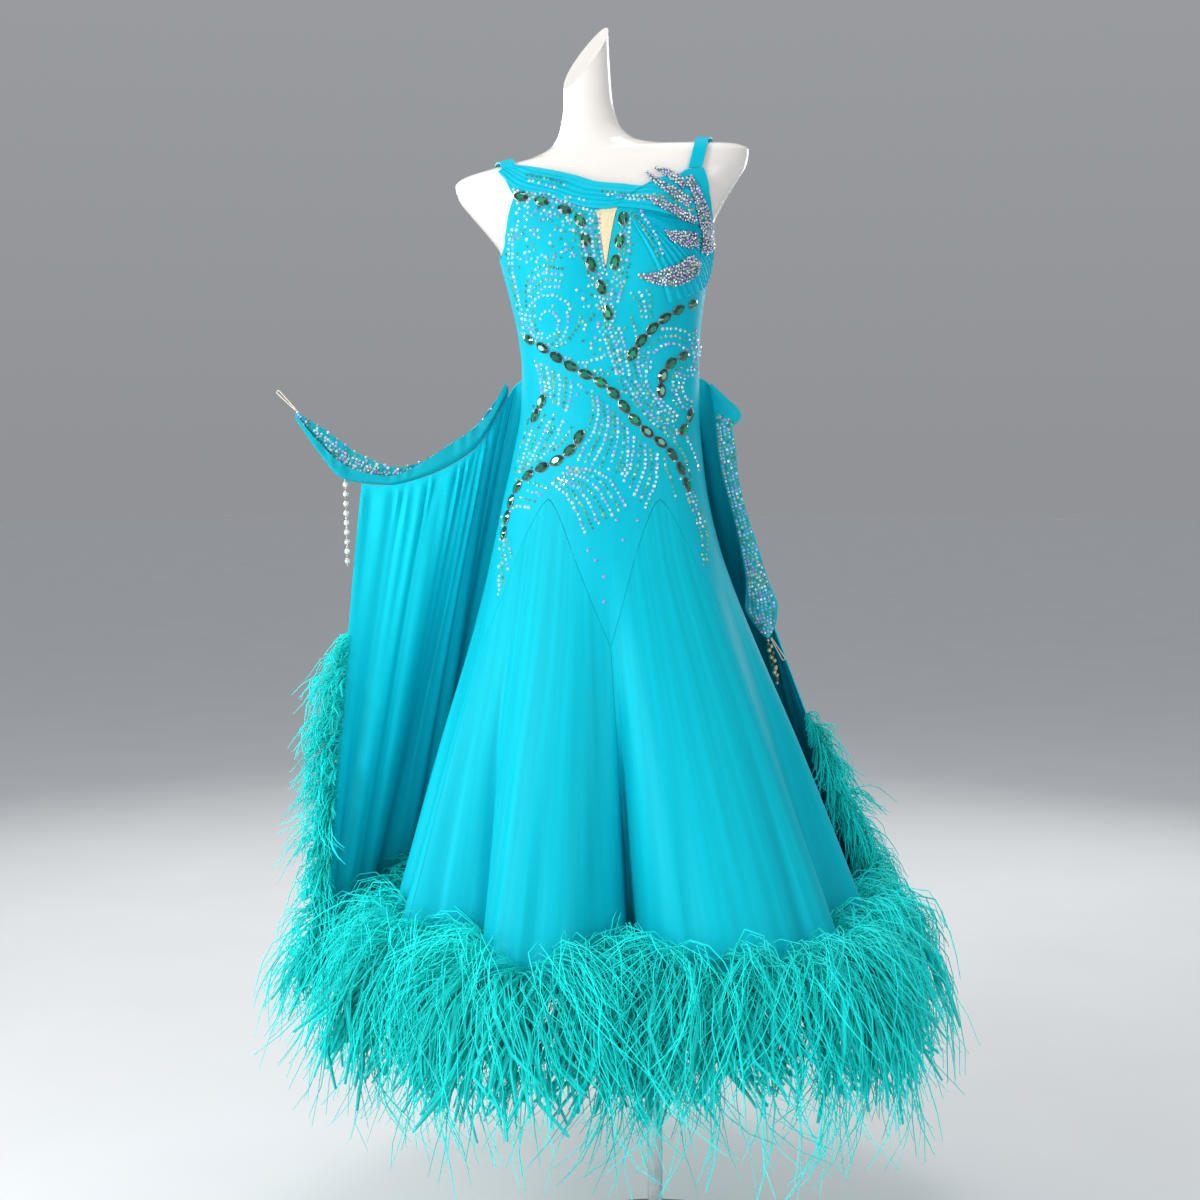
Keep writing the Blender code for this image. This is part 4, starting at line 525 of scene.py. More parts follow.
Edge = namedtuple("Edge", "angle height")
FRONT_TOP_EDGE = table_of(
    Edge,
    (-90, 1.650), (-74, 1.652), (-62, 1.669), (-50, 1.697), (-42, 1.721), (-36, 1.741), (-29, 1.748),
    (-21, 1.739), (-14, 1.721), (-8, 1.711), (-3.2, 1.7075), (0.0, 1.603), (6.4, 1.7045), (15, 1.712),
    (24, 1.730), (33, 1.752), (41, 1.752), (46, 1.736), (53, 1.712), (62, 1.690), (74, 1.670),
    (90, 1.657),
)
KEYHOLE = FRONT_TOP_EDGE[10:13]
BACK_TOP_EDGE = table_of(
    Edge,
    (90, 1.657), (104, 1.670), (118, 1.700), (130, 1.735), (138, 1.735), (150, 1.690), (166, 1.640),
    (180, 1.620), (194, 1.640), (210, 1.690), (220, 1.735), (228, 1.735), (242, 1.700), (256, 1.668),
    (270, 1.650),
)
GODET_ANGLE = 60
GODET_APEX_HEIGHT, GODET_FOOT_HEIGHT, GODET_SEAM_CURVE = 1.258, 1.035, 1.5
SEAM_DROP, SEAM_TURN = 0.0006, 0.05


def godet_seam(angle):
    """Height of the seam between the bodice and the godets: each godet's apex points up."""
    aside = np.abs((angle % GODET_ANGLE) - GODET_ANGLE / 2) / (GODET_ANGLE / 2)
    return GODET_APEX_HEIGHT - (GODET_APEX_HEIGHT - GODET_FOOT_HEIGHT) * aside**GODET_SEAM_CURVE


def wall_faces(rows, columns):
    """Faces of a wall whose outer points come first, row by row, and whose inner points follow.

    Seen from outside, columns run to the right and rows run down."""
    inner = rows * columns
    at = np.arange(inner).reshape(rows, columns)
    a, b, c, d = at[:-1, :-1].ravel(), at[:-1, 1:].ravel(), at[1:, 1:].ravel(), at[1:, :-1].ravel()
    faces = [np.stack([a, d, c, b], 1), np.stack([a, b, c, d], 1) + inner]
    for high, low in ((at[0, :-1], at[0, 1:]), (at[-1, 1:], at[-1, :-1])):
        faces.append(np.stack([high, low, low + inner, high + inner], 1))
    for high, low in ((at[1:, 0], at[:-1, 0]), (at[:-1, -1], at[1:, -1])):
        faces.append(np.stack([high, low, low + inner, high + inner], 1))
    return np.concatenate(faces).tolist()


def reaches(grid, axis):
    """Distance along the rows or columns of a grid, from its first line."""
    steps = np.linalg.norm(np.diff(grid, axis=axis), axis=-1)
    start = np.zeros_like(np.take(steps, [0], axis=axis))
    return np.concatenate([start, np.cumsum(steps, axis=axis)], axis=axis)


def store(mesh, name, kind, domain, values):
    """Keeps values on a mesh, one for each of its points or faces."""
    kept = mesh.attributes.new(name, kind, domain).data
    field = "vector" if kind == "FLOAT_VECTOR" else "value"
    kept.foreach_set(field, np.ascontiguousarray(values, np.float32).ravel())


def cloth_piece(name, outer, inner, material, node):
    """A cloth wall from two grids of points, with a UV map of the flat sheet that it was cut from."""
    rows, columns = outer.shape[:2]
    points = np.concatenate([outer.reshape(-1, 3), inner.reshape(-1, 3)])
    mesh = mesh_from(name, points.tolist(), wall_faces(rows, columns))
    across, down = reaches(outer, 1), reaches(outer, 0)
    flat = np.stack([across + 0 * down, down + 0 * across], axis=-1).reshape(-1, 2)
    flat = np.concatenate([flat, flat])
    corners = np.zeros(len(mesh.loops), np.int32)
    mesh.loops.foreach_get("vertex_index", corners)
    mesh.uv_layers.new(name="cut").data.foreach_set("uv", flat[corners].astype(np.float32).ravel())
    places = np.zeros((rows, columns, 3), np.float32)
    places[..., 0] = np.linspace(0, across.mean(axis=0)[-1], columns) + outer[0, 0, 0]
    places[..., 1] = down.mean(axis=1)[:, None]
    store(mesh, "hang", "FLOAT_VECTOR", "POINT", np.concatenate([places.ravel(), places.ravel()]))
    made = add_object(name, mesh, material, [node])


# Long light and dark streaks along each piece's hang are painted sheen and shade of fine folds; the same
# noise also raises a bump.
SHEEN_STREAK_STRETCH, SHEEN_STREAK_DETAIL, MOTTLE_SIZE = (42.0, 1.3, 1.0), 3.0, 6.0
WEAVE_SHADE, SHEEN_STREAK_HEIGHT = 0.04, 0.6


def cloth_group():
    """Cloth: fine threads on the flat cut, long streaks of painted sheen and shade, and broad mottling."""
    vectors, amounts = ("Cut", "Place", "Hang"), ("Threads", "Streaks", "Mottling")
    inputs = {**dict.fromkeys(vectors, "Vector"), **dict.fromkeys(amounts, "Float")}
    outputs = {"Shade": "Float", "Height": "Float"}
    tree, given, last = new_group("cloth_face", "ShaderNodeTree", inputs, outputs)

    def sum_of(first, second, operation="ADD"):
        return output_of(tree, "ShaderNodeMath", {0: first, 1: second}, operation=operation)

    cut = add_node(tree, "ShaderNodeSeparateXYZ", {0: given["Cut"]}).outputs
    waves = []
    for axis in ("X", "Y"):
        turn = sum_of(sum_of(cut[axis], given["Threads"], "MULTIPLY"), math.tau, "MULTIPLY")
        waves.append(output_of(tree, "ShaderNodeMath", {0: turn}, operation="SINE"))
    weave = sum_of(*waves, "MULTIPLY")
    # Painted sheen and shade: a noise drawn out along the hang.
    drawn = {0: given["Hang"], 1: SHEEN_STREAK_STRETCH}
    drawn = output_of(tree, "ShaderNodeVectorMath", drawn, operation="MULTIPLY")
    sheen_streak = {"Vector": drawn, "Scale": 1.0, "Detail": SHEEN_STREAK_DETAIL}
    sheen_streak = output_of(tree, "ShaderNodeTexNoise", sheen_streak)
    mottle = output_of(tree, "ShaderNodeTexNoise", {"Vector": given["Place"], "Scale": MOTTLE_SIZE})
    shade = 0.5
    for noise, amount in ((sheen_streak, "Streaks"), (mottle, "Mottling")):
        shade = sum_of(shade, sum_of(sum_of(noise, 0.5, "SUBTRACT"), given[amount], "MULTIPLY"))
    shade = sum_of(shade, sum_of(weave, WEAVE_SHADE, "MULTIPLY"))
    height = sum_of(weave, sum_of(sheen_streak, SHEEN_STREAK_HEIGHT, "MULTIPLY"))
    feed(tree, last, {"Shade": shade, "Height": height})
    return tree


CLOTH_FACE = cloth_group()


def cloth_material(name, dark, light, threads, sheen_streaks, mottling, bump, **values):
    """Cloth: threads to the metre, and how deep its painted sheen streaks and its mottling are."""
    made, tree, shader = new_material(name, **values)
    place = add_node(tree, "ShaderNodeTexCoord").outputs
    hang = add_node(tree, "ShaderNodeAttribute", attribute_name="hang").outputs["Vector"]
    inputs = {"Cut": place["UV"], "Place": place["Object"], "Hang": hang}
    inputs.update({"Threads": threads, "Streaks": sheen_streaks, "Mottling": mottling})
    cloth = add_node(tree, "ShaderNodeGroup", inputs, node_tree=CLOTH_FACE).outputs
    raised = {"Height": cloth["Height"], "Strength": bump, "Distance": 0.0003}
    normal = output_of(tree, "ShaderNodeBump", raised)
    tone = two_tone(tree, cloth["Shade"], dark, light, 0.2, 0.8)
    feed(tree, shader, {"Base Color": tone, "Normal": normal})
    return made


LYCRA_FACE = {
    "Roughness": 0.46, "Specular_IOR_Level": 0.08, "Sheen_Weight": 0.04, "Sheen_Roughness": 0.4,
    "Sheen_Tint": (0.20, 0.90, 1.0, 1),
}
lycra = cloth_material(
    "silky_lycra", (0.0015, 0.40, 0.52), (0.003, 0.58, 0.73), 1600, 0.25, 0.3, 0.10, **LYCRA_FACE
)

front_top = (column(FRONT_TOP_EDGE, "angle"), column(FRONT_TOP_EDGE, "height"))
back_top = (column(BACK_TOP_EDGE, "angle"), column(BACK_TOP_EDGE, "height"))
notch_left, notch_foot, notch_right = KEYHOLE
NOTCH_COLUMNS, NOTCH_CLEARANCE = 22, 0.4  # the clearance in degrees, to the front's even columns
notch_angles = np.linspace(notch_left.angle, notch_right.angle, NOTCH_COLUMNS)
BODICE_STEP = 1.25  # degrees between columns
BODICE_ROWS, BODICE_EASE = 72, 1.15


def panel(angles, top, foot, rows, ease=1.0, thickness=CLOTH):
    """Outer and inner grids of a panel of the gown's surface, between two edges."""
    shares = np.linspace(0, 1, rows)[:, None] ** ease
    levels = top[None, :] + shares * (foot - top)[None, :]
    turns = np.broadcast_to(angles, levels.shape)
    return cloth_point(turns, levels), cloth_point(turns, levels, -thickness)


def panel_angles(low, high, step):
    angles = np.linspace(low, high, round((high - low) / step) + 1)
    angles[0] += SEAM_TURN
    angles[-1] -= SEAM_TURN
    return angles


front_angles = panel_angles(-90, 90, BODICE_STEP)
left_of = front_angles < notch_left.angle - NOTCH_CLEARANCE
right_of = front_angles > notch_right.angle + NOTCH_CLEARANCE
front_angles = np.sort(np.concatenate([front_angles[left_of | right_of], notch_angles]))
front_angles = np.sort(np.append(front_angles, notch_foot.angle))
for node, angles, edge in (
    ("bodice_front", front_angles, front_top),
    ("bodice_back_right", panel_angles(90, 180, BODICE_STEP), back_top),
    ("bodice_back_left", panel_angles(180, 270, BODICE_STEP), back_top),
):
    outer, inner = panel(
        angles, np.interp(angles, *edge), godet_seam(angles) + SEAM_DROP, BODICE_ROWS, BODICE_EASE
    )
    cloth_piece("cloth_" + node, outer, inner, lycra, node)

# ---- the keyhole ----
# Skin-coloured stretch net that fills the notch, set in behind the bodice's edges.

net = cloth_material("nude_net", (0.72, 0.58, 0.32), (0.98, 0.88, 0.58), 700, 0.2, 0.3, 0.4, Roughness=0.6)
NET_COLUMNS, NET_ROWS, NET_INSET = 15, 20, 0.35  # the inset in degrees, from the notch's corners
NET_LAP, NET_LEAST = 0.007, 0.003  # how far the net's foot clears the notch's, and its least length
net_angles = np.linspace(notch_left.angle + NET_INSET, notch_right.angle - NET_INSET, NET_COLUMNS)
net_top = min(notch_left.height, notch_right.height) - 0.001
notch_heights = np.interp(net_angles, *(column(KEYHOLE, name) for name in ("angle", "height")))
net_foot = np.minimum(notch_heights + NET_LAP, net_top - NET_LEAST)
outer, inner = panel(net_angles, np.full(NET_COLUMNS, net_top), net_foot, NET_ROWS)
cloth_piece(
    "cloth_keyhole_mesh", outer, inner, net, "keyhole_mesh",
)

# ---- the godets ----
# Six flared panels of chiffon over a firm lining, set between the bodice's points. They fall in broad
# folds that open towards the hem.

CHIFFON_FACE = {**LYCRA_FACE, "Specular_IOR_Level": 0.06, "Sheen_Roughness": 0.35}
# Its strong streaks are painted sheen and shade of the chiffon's fine hanging folds.
chiffon = cloth_material(
    "smooth_chiffon", (0.0015, 0.39, 0.50), (0.003, 0.58, 0.71), 1100, 0.9, 0.06, 0.10, **CHIFFON_FACE
)
GODETS = ["front_right", "side_right", "back_right", "back_left", "side_left", "front_left"]
GODET_COLUMN_STEP, GODET_ROWS = 1.0, 60
for number, name in enumerate(GODETS):
    angles = panel_angles(number * GODET_ANGLE, (number + 1) * GODET_ANGLE, GODET_COLUMN_STEP)
    top = godet_seam(angles) - SEAM_DROP
    outer, inner = panel(angles, top, np.full(len(angles), HEM_HEIGHT), GODET_ROWS)
    node = "godet_" + name
    cloth_piece("cloth_" + node, outer, inner, chiffon, node)

# ---- the straps ----
# Narrow lycra straps over each shoulder, laid on the form between the front's and the back's edge.

Strap = namedtuple("Strap", "name angle height half_turn back_angle back_height swing")
STRAPS = [
    Strap("strap_left", -32.5, 1.7471, 3.4, 224.0, 1.735, -0.020),
    Strap("strap_right", 37.0, 1.7517, 3.4, 134.0, 1.735, 0.012),
]
STRAP_HUB_HEIGHT, STRAP_GAP, STRAP_CROWN = 1.66, 0.0009, 0.0012
STRAP_STATIONS, STRAP_COLUMNS = 46, 9


def strap_grid(strap, lift):
    """Rows along a strap, from the front's edge over the shoulder to the back's."""
    shares = np.linspace(0, 1, STRAP_STATIONS)
    lines = []
    for side in np.linspace(-1, 1, STRAP_COLUMNS):
        places = (
            (strap.angle + side * strap.half_turn, strap.height),
            (strap.back_angle - side * strap.half_turn, strap.back_height),
        )
        ends = [lifted(a, h, -FORM_INSET, lambda points: points) for a, h in places]
        turns = [math.atan2(end[2] - STRAP_HUB_HEIGHT, end[1]) for end in ends]
        turns[0] -= STRAP_GAP / (ends[0][2] - STRAP_HUB_HEIGHT)
        turns[1] += STRAP_GAP / (ends[1][2] - STRAP_HUB_HEIGHT)
        line = []
        for share in shares:
            turn = turns[0] + share * (turns[1] - turns[0])
            bow = math.sin(math.pi * share)
            across = ends[0][0] + share * (ends[1][0] - ends[0][0]) + strap.swing * bow
            ray = Vector((0, math.cos(turn), math.sin(turn)))
            hub = Vector((across, 0, STRAP_HUB_HEIGHT))
            hit, normal = upright_skin.ray_cast(hub + 0.5 * ray, -ray)[:2]
            line.append(hit + (FORM_INSET + lift + STRAP_CROWN * bow) * normal)
        lines.append(line)
    return posed(np.array(lines).transpose(1, 0, 2)[::-1])


for strap in STRAPS:
    cloth_piece(
        "cloth_" + strap.name, strap_grid(strap, 0.0), strap_grid(strap, -CLOTH), lycra, strap.name,
    )

# ---- scarf and pleated bust ----
# A bias-cut scarf lies in lengthwise pleats from the left shoulder to the right armhole. A panel of
# fine pleats spreads over the right bust from the knot under it. Both are hand-pleated and tacked down.


def seen_place(x, z):
    """Angle and height of the points of the gown's front that are seen at x, z from the front."""
    x, z = np.asarray(x, float), np.asarray(z, float)
    height = z
    for _ in range(8):
        height = z - tilt_at(x - section_centre(height), height)
    aside, half = x - section_centre(height), section_width(height)
    low, high = np.full_like(aside, -90.0), np.full_like(aside, 90.0)
    for _ in range(30):
        angle = (low + high) / 2
        turn = np.radians(angle)
        reach = half * np.sin(turn) * (1 + SQUARENESS * np.cos(turn) ** 2)
        low, high = np.where(reach < aside, angle, low), np.where(reach < aside, high, angle)
    return angle, height


SCARF_EDGES = [  # low x, low z, high x, high z
    (-0.244, 1.765, -0.226, 1.776), (-0.236, 1.757, -0.205, 1.774), (-0.218, 1.740, -0.181, 1.770),
    (-0.198, 1.733, -0.156, 1.765), (-0.167, 1.727, -0.123, 1.757), (-0.134, 1.714, -0.086, 1.746),
    (-0.106, 1.706, -0.050, 1.743), (-0.078, 1.703, -0.021, 1.740), (-0.055, 1.706, -0.006, 1.748),
    (-0.008, 1.701, 0.012, 1.755), (0.034, 1.692, 0.034, 1.760), (0.066, 1.683, 0.053, 1.748),
]
KNOT = Edge(9.5, 1.698)
FAN_FAR_EDGE = table_of(
    Edge,
    (80, 1.643), (86, 1.624), (86, 1.600), (78, 1.585), (66, 1.576), (52, 1.568), (36.5, 1.558),
)
SCARF_PLEATS, SCARF_PLEAT_RISE, SCARF_STATIONS, SCARF_COLUMNS = 6, 0.0030, 120, 73
FAN_PLEATS, FAN_PLEAT_RISE, FAN_START, FAN_ROWS, FAN_COLUMNS = 15, 0.0036, 0.075, 240, 36
PLEAT_CREST = 0.72  # how far along a knife pleat its edge lies
THIN_CLOTH = 0.0010


def knife_pleats(phase):
    """Height, 0 to 1, of cloth that lies in knife pleats: a slow rise, a rounded edge, a quick fall."""
    along = phase % 1.0
    rise = smooth_step(0.0, PLEAT_CREST, along)
    fall = smooth_step(PLEAT_CREST, 1.0, along)
    return rise * (1 - fall)


stations = smooth_rows(SCARF_EDGES, SCARF_STATIONS)
across = np.linspace(0, 1, SCARF_COLUMNS)[:, None]
x = stations[None, :, 2] + across * (stations[None, :, 0] - stations[None, :, 2])
z = stations[None, :, 3] + across * (stations[None, :, 1] - stations[None, :, 3])
along = np.linspace(0, 1, SCARF_STATIONS)[None, :]
wander = 0.22 * np.sin(7.0 * along + 2.0) + 0.13 * np.sin(17.0 * along + 5.0 * across)
phase = SCARF_PLEATS * across + wander * np.sin(np.pi * across)
uneven = 0.75 + 0.25 * np.sin(5.0 * np.floor(phase) + 9.0 * along)
rise = SCARF_PLEAT_RISE * knife_pleats(phase) * uneven
rise *= np.sin(np.pi * np.clip(across, 0.06, 0.94)) ** 0.4
angle, height = seen_place(x, z)
scarf_base = LAYER + THIN_CLOTH
scarf_grid = cloth_point(angle, height, scarf_base + rise)
# A slightly lighter copy of the bodice's lycra: painted light on the scarf and the pleated bust.
pleated_painted_light = cloth_material(
    "pleated_lycra", (0.002, 0.40, 0.54), (0.004, 0.62, 0.77), 1600, 0.2, 0.3, 0.10, **LYCRA_FACE
)
cloth_piece(
    "cloth_scarf_drape", scarf_grid, cloth_point(angle, height, scarf_base + rise - THIN_CLOTH),
    pleated_painted_light, "scarf_drape",
)

far = smooth_rows(FAN_FAR_EDGE, FAN_ROWS)
share = np.linspace(FAN_START, 1, FAN_COLUMNS)[None, :]
spread = np.linspace(0, 1, FAN_ROWS)[:, None]
angle = KNOT.angle + share * (far[:, None, 0] - KNOT.angle)
height = KNOT.height + share * (far[:, None, 1] - KNOT.height)
phase = FAN_PLEATS * spread + 0.10 * np.sin(19.0 * spread + 3.0 * share)
growth = smooth_step(-0.05, 0.34, share) * (0.75 + 0.25 * np.sin(7.0 * np.floor(phase)))
rise = FAN_PLEAT_RISE * knife_pleats(phase) * growth
fan_grid = cloth_point(angle, height, LAYER + THIN_CLOTH + rise)
cloth_piece(
    "cloth_pleated_bust", fan_grid, cloth_point(angle, height, LAYER + rise), pleated_painted_light,
    "pleated_bust_panel",
)

# ---- crystal leaves ----
# Five leaves on a stem over the right strap and bust: padded shapes covered with small cut stones.


def search_tree(pieces):
    points, faces = [], []
    for made in pieces:
        base = len(points)
        points += [vertex.co.copy() for vertex in made.data.vertices]
        faces += [[base + v for v in face.vertices] for face in made.data.polygons]
    return BVHTree.FromPolygons(points, faces)


GROUND_REACH = 0.012
dressed = search_tree(
    bpy.data.objects["cloth_" + node]
    for node in ("bodice_front", "strap_left", "strap_right", "scarf_drape", "pleated_bust")
)


def laid(angle, height, lift):
    """Points lift metres off the front's cloth, and the outward normals there."""
    angle, height = np.atleast_1d(np.asarray(angle, float)), np.atleast_1d(np.asarray(height, float))
    base = cloth_point(angle, height)
    normals = unit(cloth_point(angle, height, 0.001) - base)
    flat_base, flat_normals = base.reshape(-1, 3), normals.reshape(-1, 3)
    placed = []
    for point, normal in zip(flat_base, flat_normals):
        start = Vector(point + GROUND_REACH * normal)
        hit = dressed.ray_cast(start, Vector(-normal), 2 * GROUND_REACH)[0]
        placed.append(hit if hit else Vector(point))
    placed = np.array(placed).reshape(base.shape)
    return placed + np.expand_dims(lift * np.ones_like(angle), -1) * normals, normals


LEAVES = {  # x, z and width
    "leaf_stem": [
        (0.053, 1.757, 0.010), (0.058, 1.740, 0.014), (0.068, 1.717, 0.017), (0.077, 1.690, 0.019),
        (0.079, 1.662, 0.020), (0.073, 1.640, 0.012),
    ],
    "leaf_top": [
        (0.000, 1.769, 0.003), (0.018, 1.761, 0.011), (0.034, 1.749, 0.013), (0.045, 1.738, 0.010),
    ],
    "leaf_high": [
        (-0.014, 1.762, 0.003), (0.005, 1.744, 0.008), (0.030, 1.728, 0.013), (0.052, 1.714, 0.013),
    ],
    "leaf_middle": [
        (-0.014, 1.722, 0.003), (0.010, 1.710, 0.012), (0.038, 1.698, 0.014), (0.061, 1.687, 0.010),
    ],
    "leaf_low": [
        (0.014, 1.667, 0.003), (0.030, 1.660, 0.018), (0.048, 1.657, 0.024), (0.063, 1.658, 0.022),
    ],
    "leaf_crescent": [
        (-0.025, 1.600, 0.003), (0.000, 1.597, 0.016), (0.027, 1.602, 0.028), (0.048, 1.614, 0.028),
        (0.062, 1.629, 0.016),
    ],
}
LEAF_LIFT, LEAF_THICKNESS, LEAF_CROWN, LEAF_SEAT = 0.0008, 0.0022, 0.0016, 0.0003
LEAF_STATIONS, LEAF_COLUMNS = 26, 9

crystal_pad = hard_material(
    "crystal_backing", (0.03, 0.10, 0.13), (0.16, 0.26, 0.30), (0.25, 0.45), 90.0, 0.3, Metallic=0.3
)


def strip_lines(table, stations, columns):
    """x and z of rows across a strip that follows a table of centres and widths."""
    rows = smooth_rows(table, stations)
    run = unit(np.gradient(rows[:, :2], axis=0))
    side = np.linspace(0.5, -0.5, columns)[:, None]
    x = rows[None, :, 0] - run[None, :, 1] * side * rows[None, :, 2]
    z = rows[None, :, 1] + run[None, :, 0] * side * rows[None, :, 2]
    return x, z


leaf_faces = {}
for node, table in LEAVES.items():
    x, z = strip_lines(table, LEAF_STATIONS, LEAF_COLUMNS)
    angle, height = seen_place(x, z)
    crown = np.sin(np.pi * np.linspace(0.04, 0.96, LEAF_COLUMNS))[:, None]
    way = np.linspace(0, 1, LEAF_STATIONS)
    ends = np.minimum(1, 6 * np.minimum(way, way[::-1]))
    raised = LEAF_THICKNESS * (0.55 + 0.45 * ends) + LEAF_CROWN * crown * ends
    outer, normals = laid(angle, height, LEAF_LIFT + raised)
    inner = outer - (raised + LEAF_SEAT)[..., None] * normals
    points = np.concatenate([outer.reshape(-1, 3), inner.reshape(-1, 3)])
    mesh = mesh_from(node, points.tolist(), wall_faces(LEAF_COLUMNS, LEAF_STATIONS))
    add_object("pad_" + node, mesh, crystal_pad, [node])
    leaf_faces[node] = (outer, normals)

# ---- floats ----
# Two long curtains of chiffon, sewn round the back of the waist. The left one is held out by its wrist
# band, gathered under it; the right one hangs from its own band at the side.

# A lighter copy of the skirt's chiffon: painted light on the floats.
float_chiffon = cloth_material(
    "float_chiffon", (0.002, 0.47, 0.58), (0.004, 0.70, 0.84), 1100, 0.9, 0.06, 0.10, **CHIFFON_FACE
)
FloatLine = namedtuple("FloatLine", "top_x top_y top_z foot_x foot_y foot_z")
LEFT_FREE = table_of(
    FloatLine,
    (-0.226, 0.050, 1.440, -0.422, 0.312, 0.535), (-0.262, 0.040, 1.380, -0.447, 0.256, 0.532),
    (-0.290, 0.036, 1.338, -0.470, 0.205, 0.530), (-0.323, 0.034, 1.314, -0.492, 0.160, 0.528),
    (-0.352, 0.033, 1.299, -0.512, 0.122, 0.526), (-0.381, 0.033, 1.288, -0.528, 0.090, 0.524),
    (-0.410, 0.033, 1.280, -0.541, 0.064, 0.522), (-0.443, 0.033, 1.276, -0.551, 0.044, 0.520),
    (-0.477, 0.033, 1.279, -0.558, 0.028, 0.518),
)
RIGHT_FREE = table_of(
    FloatLine,
    (0.083, 0.050, 1.446, 0.262, 0.376, 0.535), (0.104, 0.049, 1.402, 0.288, 0.354, 0.534),
    (0.118, 0.054, 1.340, 0.311, 0.327, 0.533), (0.131, 0.061, 1.270, 0.335, 0.293, 0.532),
    (0.151, 0.067, 1.195, 0.356, 0.256, 0.531), (0.172, 0.072, 1.120, 0.375, 0.215, 0.530),
    (0.197, 0.077, 1.044, 0.394, 0.165, 0.530),
)
Sewn = namedtuple("Sewn", "from_angle to_angle foot_from foot_to")
LEFT_SEWN = Sewn(-177, -116, (-0.055, 0.500), (-0.400, 0.362))
RIGHT_SEWN = Sewn(177, 116, (-0.018, 0.512), (0.238, 0.396))
SEWN_STATIONS, SEWN_LIFT = 6, CLOTH + 0.0017
FOOT_BULGE, FOOT_HEIGHT = 0.045, 0.535
Pleat = namedtuple("Pleat", "width depth gather")
LEFT_PLEATS = table_of(
    Pleat,
    (1.2, 0.014, 0.0010), (1.3, 0.016, 0.0010), (1.1, 0.014, 0.0010), (1.3, 0.018, 0.0010),
    (1.3, 0.020, 0.0026), (0.9, 0.014, 0.0036), (1.5, 0.024, 0.0042), (0.8, 0.013, 0.0036),
    (1.1, 0.014, 0.0030),
)
RIGHT_PLEATS = table_of(
    Pleat,
    (1.2, 0.016, 0.0010), (1.3, 0.020, 0.0010), (1.1, 0.018, 0.0010), (1.2, 0.018, 0.0010),
    (0.9, 0.015, 0.0010), (0.8, 0.012, 0.0), (0.7, 0.010, 0.0), (0.8, 0.008, 0.0),
)
FLOAT_STATIONS, FLOAT_ROWS = 161, 46
FLOAT_FINE = 5  # columns in each quarter of a pleat
GATHER_FADE, PLEAT_GROWTH = 5.0, 0.9
FOLD_SOFTNESS = 0.15  # how deep the shallowest folds are, as a share of the deepest


def float_lines(sewn, free):
    """The float's top and foot lines: the sewn part on the bodice, then the free part."""
    lines = []
    for share in np.linspace(0, 1, SEWN_STATIONS):
        angle = sewn.from_angle + share * (sewn.to_angle - sewn.from_angle)
        top = cloth_point(angle, WAIST_HEIGHT, SEWN_LIFT)
        foot = np.array(sewn.foot_from) * (1 - share) + np.array(sewn.foot_to) * share
        foot += FOOT_BULGE * math.sin(math.pi * share) * foot / np.linalg.norm(foot)
        lines.append(FloatLine(*top, *foot, FOOT_HEIGHT))
    return lines + free


def grid_normals(grid):
    """Outward normals of a grid whose rows run down and whose columns run to the right."""
    return unit(np.cross(np.gradient(grid, axis=0), np.gradient(grid, axis=1)))


def at_reach(line, reach, at):
    """Points of a line at distances along it, from the distance that each of its own points is at."""
    return np.stack([np.interp(at, reach, values) for values in line.T], axis=1)


def float_grid(lines, pleats, sign):
    """Points down the float. sign is 1 where its columns already run to the right from outside."""
    rows = smooth_rows(lines, FLOAT_STATIONS)
    steps = np.linalg.norm(np.diff(rows[:, :3], axis=0), axis=1)
    steps += np.linalg.norm(np.diff(rows[:, 3:], axis=0), axis=1)
    reach = np.concatenate([[0], np.cumsum(steps / 2)])
    quarter = np.linspace(0, 4 * len(pleats), 4 * len(pleats) * FLOAT_FINE + 1)
    edges = np.concatenate([[0], np.cumsum(column(pleats, "width"))])
    at = reach[-1] * np.interp(quarter / 4, range(len(edges)), edges) / edges[-1]
    line = at_reach(rows, reach, at)
    top, foot = line[None, :, :3], line[None, :, 3:]
    share = np.linspace(0, 1, FLOAT_ROWS)[:, None] ** 1.4
    here = top + share[..., None] * (foot - top)
    hang, run = unit(foot - top), np.gradient(here, axis=1)
    out = unit(np.cross(np.broadcast_to(hang, here.shape), run)) * sign
    number = np.minimum(quarter // 4, len(pleats) - 1).astype(int)
    drift = 1.3 * np.sin(0.31 * quarter + 2.2 * share) + 0.6 * np.sin(0.83 * quarter - 3.0 * share + 1.0)
    soft = FOLD_SOFTNESS + (1 - FOLD_SOFTNESS) * np.sin(0.47 * quarter + 1.3 * share + 0.6) ** 2
    broad = np.sin(np.pi / 4 * quarter + 0.6 * drift + 0.8)
    narrow = np.sin(np.pi / 2 * quarter + drift * share) * soft * (1 - 0.45 * share)
    depth = 0.55 * broad * smooth_step(0.05, 0.5, share) + 0.75 * narrow
    depth = column(pleats, "depth")[number] * depth
    middles = np.arange(len(pleats)) * 4 + 2
    gathered = np.interp(quarter, middles, column(pleats, "gather"))
    gather = -gathered * np.cos(np.pi * quarter)
    wander = np.sin(1.7 * quarter + 1.0) * 0.9 + np.sin(0.73 * quarter) * 1.4
    pinch = gathered * np.sin(1.15 * np.pi * quarter + 2 * wander)
    free = smooth_step(0.0, 0.12, share)
    fine = smooth_step(0.0, 0.03, share) * np.exp(-share / 0.14)
    wave = depth * share**PLEAT_GROWTH + gather * free * (1 - share) ** GATHER_FADE
    grid = here + out * (wave + 1.1 * pinch * fine)[..., None]
    return grid if sign > 0 else grid[:, ::-1]


